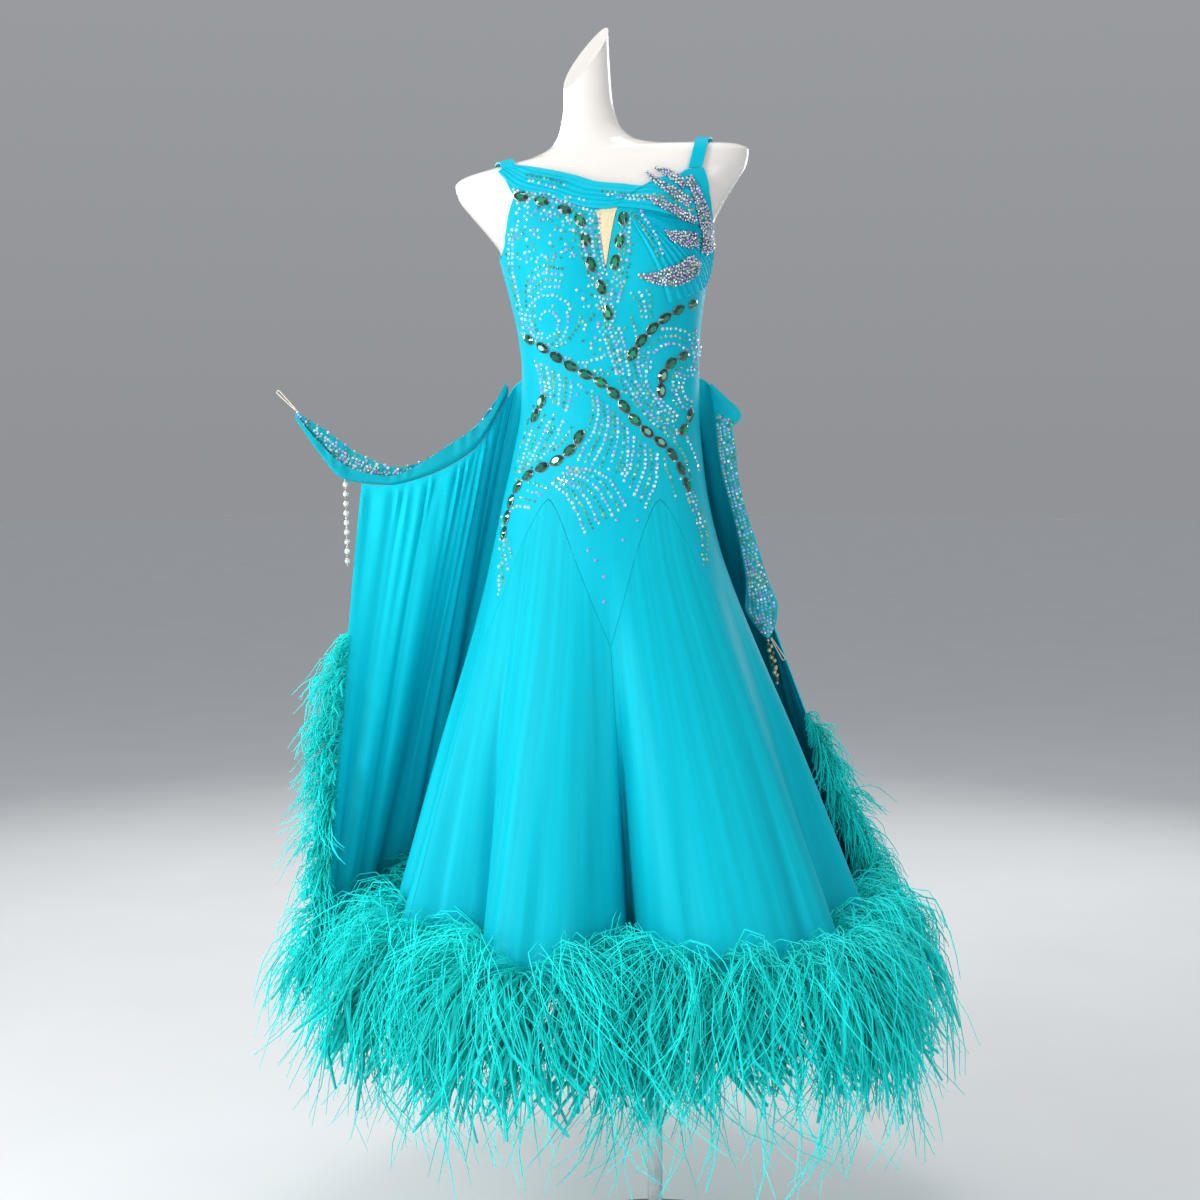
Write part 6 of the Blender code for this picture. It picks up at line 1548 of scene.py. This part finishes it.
def stone_tree():
    """Sets one shape on every point, turned, sized and tinted by the point's attributes."""
    inputs = {"Geometry": "Geometry", "Shape": "Object", "Finish": "Material"}
    outputs = {"Geometry": "Geometry"}
    tree, given, last = new_group("stone_setting", "GeometryNodeTree", inputs, outputs)
    shape = add_node(tree, "GeometryNodeObjectInfo", {"Object": given["Shape"]}).outputs["Geometry"]
    attribute = "GeometryNodeInputNamedAttribute"
    turn = output_of(tree, attribute, {"Name": "stone_turn"}, data_type="FLOAT_VECTOR")
    turn = output_of(tree, "FunctionNodeEulerToRotation", {0: turn})
    size = output_of(tree, attribute, {"Name": "stone_size"}, data_type="FLOAT")
    put = {"Points": given["Geometry"], "Instance": shape, "Rotation": turn, "Scale": size}
    put = output_of(tree, "GeometryNodeInstanceOnPoints", put)
    real = output_of(tree, "GeometryNodeRealizeInstances", {0: put})
    finish = {"Geometry": real, "Material": given["Finish"]}
    feed(tree, last, {"Geometry": output_of(tree, "GeometryNodeSetMaterial", finish)})
    return tree


STONE_TREE = stone_tree()


def set_stones(name, shape, places, normals, runs, sizes, material, nodes=(), tints=None):
    """Stones of one shape at places, each standing on its normal with its length along its run."""
    runs = unit(runs - (runs * normals).sum(axis=1, keepdims=True) * normals)
    others = np.cross(normals, runs)
    rolls, pitches = np.arctan2(others[:, 2], normals[:, 2]), np.arcsin(np.clip(-runs[:, 2], -1, 1))
    turns = np.stack([rolls, pitches, np.arctan2(runs[:, 1], runs[:, 0])], axis=1)
    tints = chance.random(len(places)) if tints is None else tints
    mesh = mesh_from(name, places.tolist(), [])
    store(mesh, "stone_turn", "FLOAT_VECTOR", "POINT", turns)
    store(mesh, "stone_size", "FLOAT", "POINT", np.broadcast_to(sizes, len(places)))
    store(mesh, "stone_tint", "FLOAT", "POINT", tints)
    pattern = bpy.data.objects.new(name + "_shape", shape)
    scene.collection.objects.link(pattern)
    result = made_by_nodes(name, mesh, STONE_TREE, Shape=pattern, Finish=material)
    bpy.data.objects.remove(pattern)
    add_object(name, result, material, nodes, 1)


def colour_ramp(tree, share, colours, steps):
    """A colour that goes through evenly spaced colours, blended or in steps."""
    ramp = add_node(tree, "ShaderNodeValToRGB", {"Fac": share})
    ramp.color_ramp.interpolation = "CONSTANT" if steps else "LINEAR"
    while len(ramp.color_ramp.elements) < len(colours):
        ramp.color_ramp.elements.new(0.5)
    for number, (element, colour) in enumerate(zip(ramp.color_ramp.elements, colours)):
        element.position = number / (len(colours) - (0 if steps else 1))
        element.color = (*colour, 1)
    return ramp.outputs["Color"]


def stone_material(name, tints, shades, **values):
    """Cut glass over foil: a tint for each stone, times a painted glint or painted dark shade on each face.
    """
    made, tree, shader = new_material(name, **values)
    tones = {}
    for number, (attribute, colours) in enumerate((("stone_tint", tints), ("facet", shades))):
        share = add_node(tree, "ShaderNodeAttribute", attribute_name=attribute).outputs["Fac"]
        tones[number] = colour_ramp(tree, share, colours, attribute == "stone_tint")
    both = output_of(tree, "ShaderNodeVectorMath", tones, operation="MULTIPLY")
    feed(tree, shader, {"Base Color": both})
    return made


# Each face's shade scales the stone's tint: painted glints, some brighter than white, and painted dark
# reflections.
emerald = stone_material(
    "emerald_glass", [(0.004, 0.110, 0.070), (0.003, 0.075, 0.055), (0.006, 0.180, 0.095)],
    [(0.08, 0.10, 0.12), (0.30, 0.30, 0.30), (0.70, 0.70, 0.70), (0.20, 0.22, 0.22), (2.6, 2.8, 2.2)],
    Roughness=0.05, Metallic=0.30, Coat_Weight=1.0, Coat_Roughness=0.03,
)
plated = hard_material(
    "plated_setting", (0.10, 0.13, 0.12), (0.45, 0.48, 0.46), (0.15, 0.35), 200.0, 0.2, Metallic=1.0
)

CHAINS = {  # x and z of the stones' line
    "stones_waist": [
        (-0.209, 1.513), (-0.179, 1.496), (-0.148, 1.475), (-0.117, 1.456), (-0.086, 1.440),
        (-0.061, 1.419), (-0.039, 1.389), (-0.012, 1.362), (0.020, 1.336), (0.040, 1.306),
        (0.054, 1.268),
    ],
    "stones_bust": [
        (0.070, 1.567), (0.056, 1.560), (0.038, 1.552), (0.018, 1.540), (-0.004, 1.522),
        (-0.024, 1.500), (-0.042, 1.472),
    ],
    "stones_ring_high": [(0.056, 1.484), (0.039, 1.479), (0.020, 1.464), (0.010, 1.441), (0.009, 1.414)],
    "stones_ring_low": [(0.058, 1.400), (0.051, 1.377), (0.037, 1.356)],
    "stones_hip": [
        (-0.112, 1.366), (-0.126, 1.341), (-0.153, 1.318), (-0.181, 1.305), (-0.206, 1.289),
        (-0.224, 1.262), (-0.234, 1.226), (-0.240, 1.190),
    ],
    "stones_hip_high": [(-0.173, 1.420), (-0.182, 1.400), (-0.193, 1.378)],
    "stones_neckline": [
        (-0.207, 1.725), (-0.175, 1.717), (-0.139, 1.703), (-0.115, 1.685), (-0.106, 1.655),
        (-0.098, 1.617), (-0.083, 1.583), (-0.073, 1.545),
    ],
    "stones_keyhole": [(-0.049, 1.688), (-0.054, 1.653), (-0.061, 1.620)],
}
STONE_PITCH, NAVETTE_LIFT, SETTING_FOOT = 0.0260, 0.0009, 0.0003
NAVETTE_SIDES, CLAW_LENGTH, CLAW_WIDTH = 16, 0.0016, 0.0014  # the claws' reach past the stone
navette_edge = navette_outline(NAVETTE_LENGTH, NAVETTE_WIDTH, NAVETTE_SIDES)
navette = cut_stone("navette", navette_edge, 0.52, 0.0014, NAVETTE_HEIGHT, 5)
setting_edge = navette_outline(NAVETTE_LENGTH + CLAW_LENGTH, NAVETTE_WIDTH + CLAW_WIDTH, NAVETTE_SIDES)
setting = cut_stone("navette_setting", setting_edge, 0.93, 0.0010, 0.0015, 6)
RUN_STEP = 0.002  # how far along a line its run is taken


def even_points(line, pitch):
    """x, z points at an even pitch along a line of x, z points, and the line's run at each."""
    reach = reach_along(line)
    count = max(int(round(reach[-1] / pitch)), 1)
    at = (np.arange(count) + 0.5) / count * reach[-1]
    ahead, behind = (at_reach(line, reach, at + way) for way in (RUN_STEP, -RUN_STEP))
    return at_reach(line, reach, at), unit(ahead - behind)


def laid_stones(spots, runs, lift):
    """Places, normals and runs in space of stones laid on the front at x, z spots."""
    places, normals = laid(*seen_place(*spots.T), lift)
    ahead = laid(*seen_place(*(spots + 0.003 * runs).T), lift)[0]
    return places, normals, unit(ahead - places)


SPACED_CHAINS = ("stones_neckline", "stones_keyhole")  # their stones stand apart, at the table's places
navette_spots = []
for node, table in CHAINS.items():
    spots, runs = even_points(smooth_rows(table, 90), STONE_PITCH)
    if node in SPACED_CHAINS:
        spots = np.array(table)
        runs = unit(np.gradient(spots, axis=0))
    places, normals, runs = laid_stones(spots, runs, NAVETTE_LIFT)
    set_stones(node + "_navettes", navette, places, normals, runs, 1.0, emerald, [node])
    set_stones(
        node + "_settings", setting, places - (NAVETTE_LIFT - SETTING_FOOT) * normals, normals, runs,
        1.0, plated,
    )
    navette_spots.append(spots)
navette_spots = np.concatenate(navette_spots)

# ---- small stones ----
# Thousands of small round stones with an iridescent coating, glued on in flowing rows that follow the
# chains, in swirls over bust, waist and hips, and close together on the leaves and bands.

SMALL_RADIUS, SMALL_PITCH = 0.0027, 0.0072
small_edge = [(math.cos(turn), math.sin(turn)) for turn in np.arange(6) * math.pi / 3]
small_stone = cut_stone("small_stone", small_edge, 0.62, 0.0, 0.80, 8)
PALE_TINTS = [  # red, green, blue
    (1.00, 1.00, 1.00), (0.62, 0.46, 0.98), (0.95, 0.98, 1.00), (0.60, 0.85, 1.00), (1.00, 0.95, 0.95),
    (0.80, 0.62, 0.95),
]
GREEN_TINTS = [  # red, green, blue
    (0.16, 0.50, 0.30), (0.66, 0.64, 0.34), (0.12, 0.40, 0.31), (0.60, 0.84, 0.64), (0.34, 0.52, 0.20),
    (0.10, 0.36, 0.36),
]
# Each face's shade scales the stone's tint: painted white glints, some brighter than white, and painted dark
# rims.
iridescent = stone_material(
    "iridescent_crystal", PALE_TINTS + GREEN_TINTS,
    [(0.10, 0.12, 0.18), (0.85, 0.85, 0.85), (1.0, 1.0, 1.0), (0.45, 0.50, 0.62), (1.4, 1.4, 1.4)],
    Roughness=0.12, Metallic=0.15, Coat_Weight=1.0, Coat_Roughness=0.04,
)

# Each family of rows lies between two guides. The rows' count and both guides' x, z points are given.
Rows = namedtuple("Rows", "name count first last")
ROWS = table_of(
    Rows,
    ("bust_whorl", 4,
     [(-0.138, 1.609), (-0.169, 1.616), (-0.197, 1.596), (-0.201, 1.560), (-0.188, 1.507), (-0.162, 1.491)],
     [(-0.143, 1.583), (-0.167, 1.584), (-0.185, 1.567), (-0.186, 1.546), (-0.179, 1.522), (-0.162, 1.503)]),
    ("bust_sweep", 3,
     [(-0.1595, 1.5575), (-0.1464, 1.536), (-0.1475, 1.5146), (-0.162, 1.498)],
     [(-0.113, 1.542), (-0.120, 1.524), (-0.138, 1.5026), (-0.162, 1.491)]),
    ("left_side", 4,
     [(-0.2096, 1.691), (-0.2216, 1.6435), (-0.2216, 1.615), (-0.212, 1.572), (-0.2025, 1.500)],
     [(-0.2264, 1.672), (-0.2323, 1.6435), (-0.2275, 1.615), (-0.218, 1.572), (-0.206, 1.500)]),
    ("below_waist_left", 7,
     [(-0.189, 1.476), (-0.181, 1.4525), (-0.176, 1.4214)],
     [(-0.130, 1.4436), (-0.1317, 1.416), (-0.1387, 1.3926)]),
    ("centre_flow", 8,
     [(-0.098, 1.429), (-0.095, 1.401), (-0.103, 1.371), (-0.121, 1.341), (-0.133, 1.320)],
     [(-0.042, 1.371), (-0.041, 1.346), (-0.042, 1.320), (-0.050, 1.295)]),
    ("right_waist", 6,
     [(-0.0566, 1.4436), (-0.0392, 1.4187), (-0.0094, 1.3839), (0.0205, 1.3566), (0.0379, 1.339)],
     [(-0.0143, 1.4436), (0.0006, 1.4162), (0.0205, 1.3889), (0.0354, 1.369)]),
    ("right_hip", 6,
     [(-0.0405, 1.364), (-0.043, 1.3342), (-0.0566, 1.2944)],
     [(0.0031, 1.3317), (0.0031, 1.2944), (-0.0168, 1.2422)]),
    ("right_outer", 4,
     [(0.013, 1.3242), (0.023, 1.2944), (0.0329, 1.2596)],
     [(0.0478, 1.3566), (0.0603, 1.3317), (0.0702, 1.2994)]),
    ("right_hip_point", 3,
     [(0.0478, 1.2695), (0.0627, 1.2322), (0.0739, 1.1949), (0.0752, 1.1526)],
     [(0.0578, 1.272), (0.0752, 1.2322), (0.0826, 1.1949), (0.0814, 1.1526)]),
    ("left_fan", 7,
     [(-0.1387, 1.308), (-0.0989, 1.3043), (-0.0691, 1.2869), (-0.0442, 1.2471)],
     [(-0.1611, 1.2844), (-0.1412, 1.2695), (-0.1238, 1.2446), (-0.1064, 1.2048)]),
    ("left_hip", 4,
     [(-0.2208, 1.2894), (-0.1984, 1.2844), (-0.1661, 1.2745)],
     [(-0.2307, 1.2372), (-0.2133, 1.2471), (-0.1934, 1.2434)]),
    ("left_hip_edge", 4,
     [(-0.2357, 1.2322), (-0.2357, 1.2073), (-0.2232, 1.165)],
     [(-0.2432, 1.2322), (-0.2456, 1.1949), (-0.2444, 1.1452), (-0.2437, 1.1054)]),
    ("left_upper_hip", 6,
     [(-0.186, 1.4113), (-0.1984, 1.3814), (-0.2108, 1.3391), (-0.2208, 1.2944)],
     [(-0.1487, 1.3615), (-0.1636, 1.3367), (-0.1909, 1.3093)]),
    ("right_bust", 3,
     [(-0.0377, 1.5767), (-0.0258, 1.5623), (-0.0186, 1.536)],
     [(-0.0138, 1.5814), (-0.0079, 1.5647), (-0.0079, 1.536)]),
    ("bust_to_waist", 5,
     [(-0.0891, 1.5265), (-0.0759, 1.5002), (-0.064, 1.4692), (-0.0497, 1.4214)],
     [(-0.0560, 1.5245), (-0.0480, 1.4992), (-0.0430, 1.4692), (-0.0360, 1.4330)]),
    ("keyhole_left", 6,
     [(-0.124, 1.700), (-0.116, 1.655), (-0.106, 1.612), (-0.090, 1.577)],
     [(-0.085, 1.699), (-0.084, 1.660), (-0.078, 1.615), (-0.068, 1.592)]),
    ("keyhole_right", 5,
     [(-0.048, 1.694), (-0.052, 1.655), (-0.058, 1.610), (-0.066, 1.588)],
     [(-0.034, 1.692), (-0.036, 1.652), (-0.042, 1.606), (-0.052, 1.575)]),
    ("under_scarf", 3,
     [(-0.222, 1.738), (-0.196, 1.732), (-0.166, 1.727), (-0.134, 1.713), (-0.104, 1.703), (-0.086, 1.700)],
     [(-0.218, 1.727), (-0.196, 1.722), (-0.160, 1.717), (-0.132, 1.704), (-0.108, 1.692), (-0.092, 1.684)]),
    ("ring_left", 4,
     [(-0.037, 1.541), (-0.030, 1.513), (-0.033, 1.478), (-0.029, 1.447),
      (-0.014, 1.417), (0.011, 1.386), (0.032, 1.366)],
     [(-0.009, 1.488), (-0.013, 1.457), (-0.004, 1.429), (0.016, 1.407), (0.037, 1.386)]),
    ("ring_low_arcs", 4,
     [(0.060, 1.465), (0.037, 1.462), (0.027, 1.442), (0.029, 1.417), (0.042, 1.396), (0.060, 1.389)],
     [(0.063, 1.452), (0.049, 1.448), (0.043, 1.432), (0.048, 1.417), (0.061, 1.409)]),
    ("pendant", 6,
     [(-0.090, 1.584), (-0.084, 1.564), (-0.078, 1.538), (-0.073, 1.524)],
     [(-0.050, 1.584), (-0.056, 1.564), (-0.063, 1.538), (-0.069, 1.524)]),
    ("fan", 2,
     [(-0.039, 1.701), (-0.024, 1.681), (-0.009, 1.655), (0.005, 1.627)],
     [(-0.024, 1.701), (-0.009, 1.676), (0.004, 1.650), (0.011, 1.630)]),
    ("scarf_left", 2,
     [(-0.202, 1.758), (-0.182, 1.754), (-0.161, 1.750), (-0.136, 1.739)],
     [(-0.197, 1.750), (-0.179, 1.745), (-0.164, 1.740), (-0.151, 1.736)]),
    ("scarf_middle", 2,
     [(-0.085, 1.732), (-0.060, 1.728), (-0.034, 1.723), (-0.009, 1.722)],
     [(-0.075, 1.726), (-0.055, 1.721), (-0.034, 1.717), (-0.014, 1.716)]),
    ("scarf_right", 3,
     [(-0.009, 1.721), (0.011, 1.716), (0.037, 1.706), (0.058, 1.693)],
     [(-0.004, 1.726), (0.016, 1.722), (0.039, 1.715), (0.060, 1.703)]),
    ("over_waist", 2,
     [(-0.164, 1.498), (-0.141, 1.478), (-0.111, 1.470), (-0.080, 1.478)],
     [(-0.151, 1.485), (-0.126, 1.465), (-0.100, 1.452), (-0.070, 1.452)]),
    ("side_right", 3,
     [(0.052, 1.518), (0.060, 1.488), (0.062, 1.457)],
     [(0.065, 1.526), (0.068, 1.488), (0.068, 1.452)]),
    ("over_hip", 3,
     [(-0.156, 1.392), (-0.166, 1.366), (-0.190, 1.332), (-0.212, 1.312)],
     [(-0.128, 1.372), (-0.140, 1.352), (-0.168, 1.326), (-0.196, 1.306)]),
)
RING_CENTRE, RING_RADII, RING_TURNS = (0.027, 1.466), (0.034, 0.045, 0.057), (15, 190)
SPIRAL_CENTRE, SPIRAL_START, SPIRAL_GROWTH, SPIRAL_TURNS = (-0.1690, 1.534), 0.008, 0.024, 1.45
Strewn = namedtuple("Strewn", "count low_x high_x low_z high_z")
STREWN = table_of(
    Strewn,
    (70, -0.214, -0.110, 1.625, 1.708), (110, -0.214, -0.100, 1.668, 1.724),
    (40, -0.120, -0.040, 1.500, 1.590), (30, -0.110, -0.050, 1.455, 1.510),
    (26, -0.214, -0.150, 1.600, 1.640), (18, -0.160, -0.100, 1.400, 1.450),
)
SINGLE_STONES = [  # x, z
    (-0.0592, 1.227), (-0.0492, 1.197), (-0.0268, 1.226), (-0.1028, 1.181), (-0.0914, 1.166),
    (-0.0780, 1.141), (-0.0780, 1.103),
]


def family_lines(rows):
    """The lines of a family, each a row of x, z points between its two guides."""
    first, last = (smooth_rows(guide, 60) for guide in (rows.first, rows.last))
    return [first + share * (last - first) for share in np.linspace(0, 1, rows.count)]


turns = np.linspace(0, SPIRAL_TURNS, 120)[:, None]
spiral_way = np.concatenate([-np.cos(2 * math.pi * turns), np.sin(2 * math.pi * turns)], axis=1)
lines = [np.array(SPIRAL_CENTRE) + (SPIRAL_START + SPIRAL_GROWTH * turns) * spiral_way]
lines += [line for rows in ROWS for line in family_lines(rows)]
for radius in RING_RADII:
    turns = np.radians(np.linspace(*RING_TURNS, 50))
    ring_way = np.stack([np.cos(turns), np.sin(turns)], axis=1)
    lines.append(np.array(RING_CENTRE) + radius * ring_way)
# Each spot has an x, a z and a tint. Pale and green rows take turns.
ROW_SCATTER, SINGLE_TINT = 0.0006, 0.1
spots = []
for number, line in enumerate(lines):
    here = even_points(line, SMALL_PITCH)[0]
    here += ROW_SCATTER * chance.normal(size=here.shape)
    tints = 0.5 * chance.random(len(here)) + 0.5 * (number % 2)
    spots.append(np.column_stack([here, tints]))
for strewn in STREWN:
    here = np.column_stack([chance.random(strewn.count), chance.random(strewn.count)])
    low, high = np.array([strewn.low_x, strewn.low_z]), np.array([strewn.high_x, strewn.high_z])
    here = low + here * (high - low)
    spots.append(np.column_stack([here, chance.random(strewn.count)]))
spots.append(np.column_stack([SINGLE_STONES, np.full(len(SINGLE_STONES), SINGLE_TINT)]))
spots = np.concatenate(spots)


CELL = 0.02  # the side of the squares that near spots are looked up by


def apart(spots, least, others, others_reach):
    """The spots that keep their distance from those kept before them, and from others."""
    cells, result = {}, []
    for spot in others:
        cells.setdefault((int(spot[0] // CELL), int(spot[1] // CELL)), []).append((spot, others_reach))
    for spot in spots:
        own = (int(spot[0] // CELL), int(spot[1] // CELL))
        around = [(own[0] + i, own[1] + j) for i in (-1, 0, 1) for j in (-1, 0, 1)]
        near = [entry for cell in around for entry in cells.get(cell, [])]
        if all(math.hypot(spot[0] - s[0], spot[1] - s[1]) > reach for s, reach in near):
            cells.setdefault(own, []).append((tuple(spot), least))
            result.append(spot)
    return np.array(result)


SMALL_APART, STONE_LIFT, BACK_LIFT = 0.0050, 0.0001, 0.0011
BACK_TOP, BACK_REACH, BACK_SHARE = 1.60, 84, 0.72  # the reach in degrees, the share of the front's
STONE_TILT, LEAST_SIZE, SIZE_RANGE = 0.12, 0.80, 0.35
spots = apart(spots, SMALL_APART, navette_spots, NAVETTE_WIDTH / 2 + SMALL_RADIUS)


def small_stones(name, places, normals, sizes, tints=None):
    """Small stones glued on by hand: each turned, tilted and sized a little its own way."""
    runs = chance.normal(size=places.shape)
    tilted = unit(normals + STONE_TILT * chance.normal(size=normals.shape))
    sizes = sizes * (LEAST_SIZE + SIZE_RANGE * chance.random(len(places)))
    set_stones(name, small_stone, places, tilted, runs, sizes, iridescent, (), tints)


angle, height = seen_place(spots[:, 0], spots[:, 1])
places, normals = laid(angle, height, STONE_LIFT)
small_stones("small_stones_front", places, normals, SMALL_RADIUS, spots[:, 2])
behind = (height < BACK_TOP) & (np.abs(angle) < BACK_REACH) & (chance.random(len(angle)) < BACK_SHARE)
places = cloth_point(180 - angle[behind], height[behind], STONE_LIFT)
normals = unit(cloth_point(180 - angle[behind], height[behind], BACK_LIFT) - places)
small_stones("small_stones_back", places, normals, SMALL_RADIUS, spots[behind, 2])


def on_grid(grid, places):
    """Points of a grid at fractional rows and columns."""
    i, j = places.astype(int).T
    down, along = (places - places.astype(int)).T[..., None]
    high = grid[i, j] * (1 - along) + grid[i, j + 1] * along
    low = grid[i + 1, j] * (1 - along) + grid[i + 1, j + 1] * along
    return high * (1 - down) + low * down


def spaced(points, least, back):
    """Numbers of the points that keep their distance from as many kept before them."""
    kept = []
    for number, point in enumerate(points):
        if all(np.linalg.norm(point - points[k]) > least for k in kept[-back:]):
            kept.append(number)
    return kept


# The leaves' stones are mostly pale and a few green; on the gown they are lilac at the points.
LEAF_STONE_RADIUS, LEAF_STONE_APART, LEAF_STONE_TRIES, LEAF_PALE_SHARE = 0.0021, 0.0038, 2200, 0.78
places, normals = [], []
for outer, out in leaf_faces.values():
    cells = chance.random((LEAF_STONE_TRIES, 2)) * (np.array(outer.shape[:2]) - 1.001)
    here, standing = on_grid(outer, cells), on_grid(out, cells)
    kept = spaced(here, LEAF_STONE_APART, LEAF_STONE_TRIES)
    places.append(here[kept])
    normals.append(unit(standing[kept]))
places, normals = np.concatenate(places), np.concatenate(normals)
leaf_tints = np.where(chance.random(len(places)) < LEAF_PALE_SHARE, 0.5, 1.0) * chance.random(len(places))
small_stones("small_stones_leaves", places, normals, LEAF_STONE_RADIUS, leaf_tints)

# On the bands: the left one's back flap, where the last rows go further but stand apart, and the right.
BAND_STONE_PITCH, BAND_STONE_APART, BAND_STONE_BACK = 0.0062, 0.0041, 400
STAGGER, BAND_SCATTER = 0.003, 0.0012
places, normals = [], []
inward = -grid_normals(band_left)
for row in range(BAND_ROWS * 3 // 4, BAND_ROWS):
    line = band_left_inner[row]
    reach = reach_along(line)
    share, stretch = (0.62, 1.0) if row < BAND_ROWS - 2 else (0.9, 3.0)
    at = np.arange(0.004 + STAGGER * (row % 2), reach[-1] * share, BAND_STONE_PITCH * stretch)
    at = at + BAND_SCATTER * chance.normal(size=len(at))
    places.append(at_reach(line, reach, at))
    normals.append(unit(at_reach(inward[row], reach, at)))
outward = grid_normals(band_right)
for place in range(2, 16, 2):
    line = band_right[14:, place]
    reach = reach_along(line)
    at = np.arange(0.003 + STAGGER * (place % 4 == 0), reach[-1] - 0.004, BAND_STONE_PITCH)
    places.append(at_reach(line, reach, at))
    normals.append(unit(at_reach(outward[14:, place], reach, at)))
places, normals = np.concatenate(places), np.concatenate(normals)
kept = spaced(places, BAND_STONE_APART, BAND_STONE_BACK)
small_stones("small_stones_bands", places[kept], normals[kept], SMALL_RADIUS)
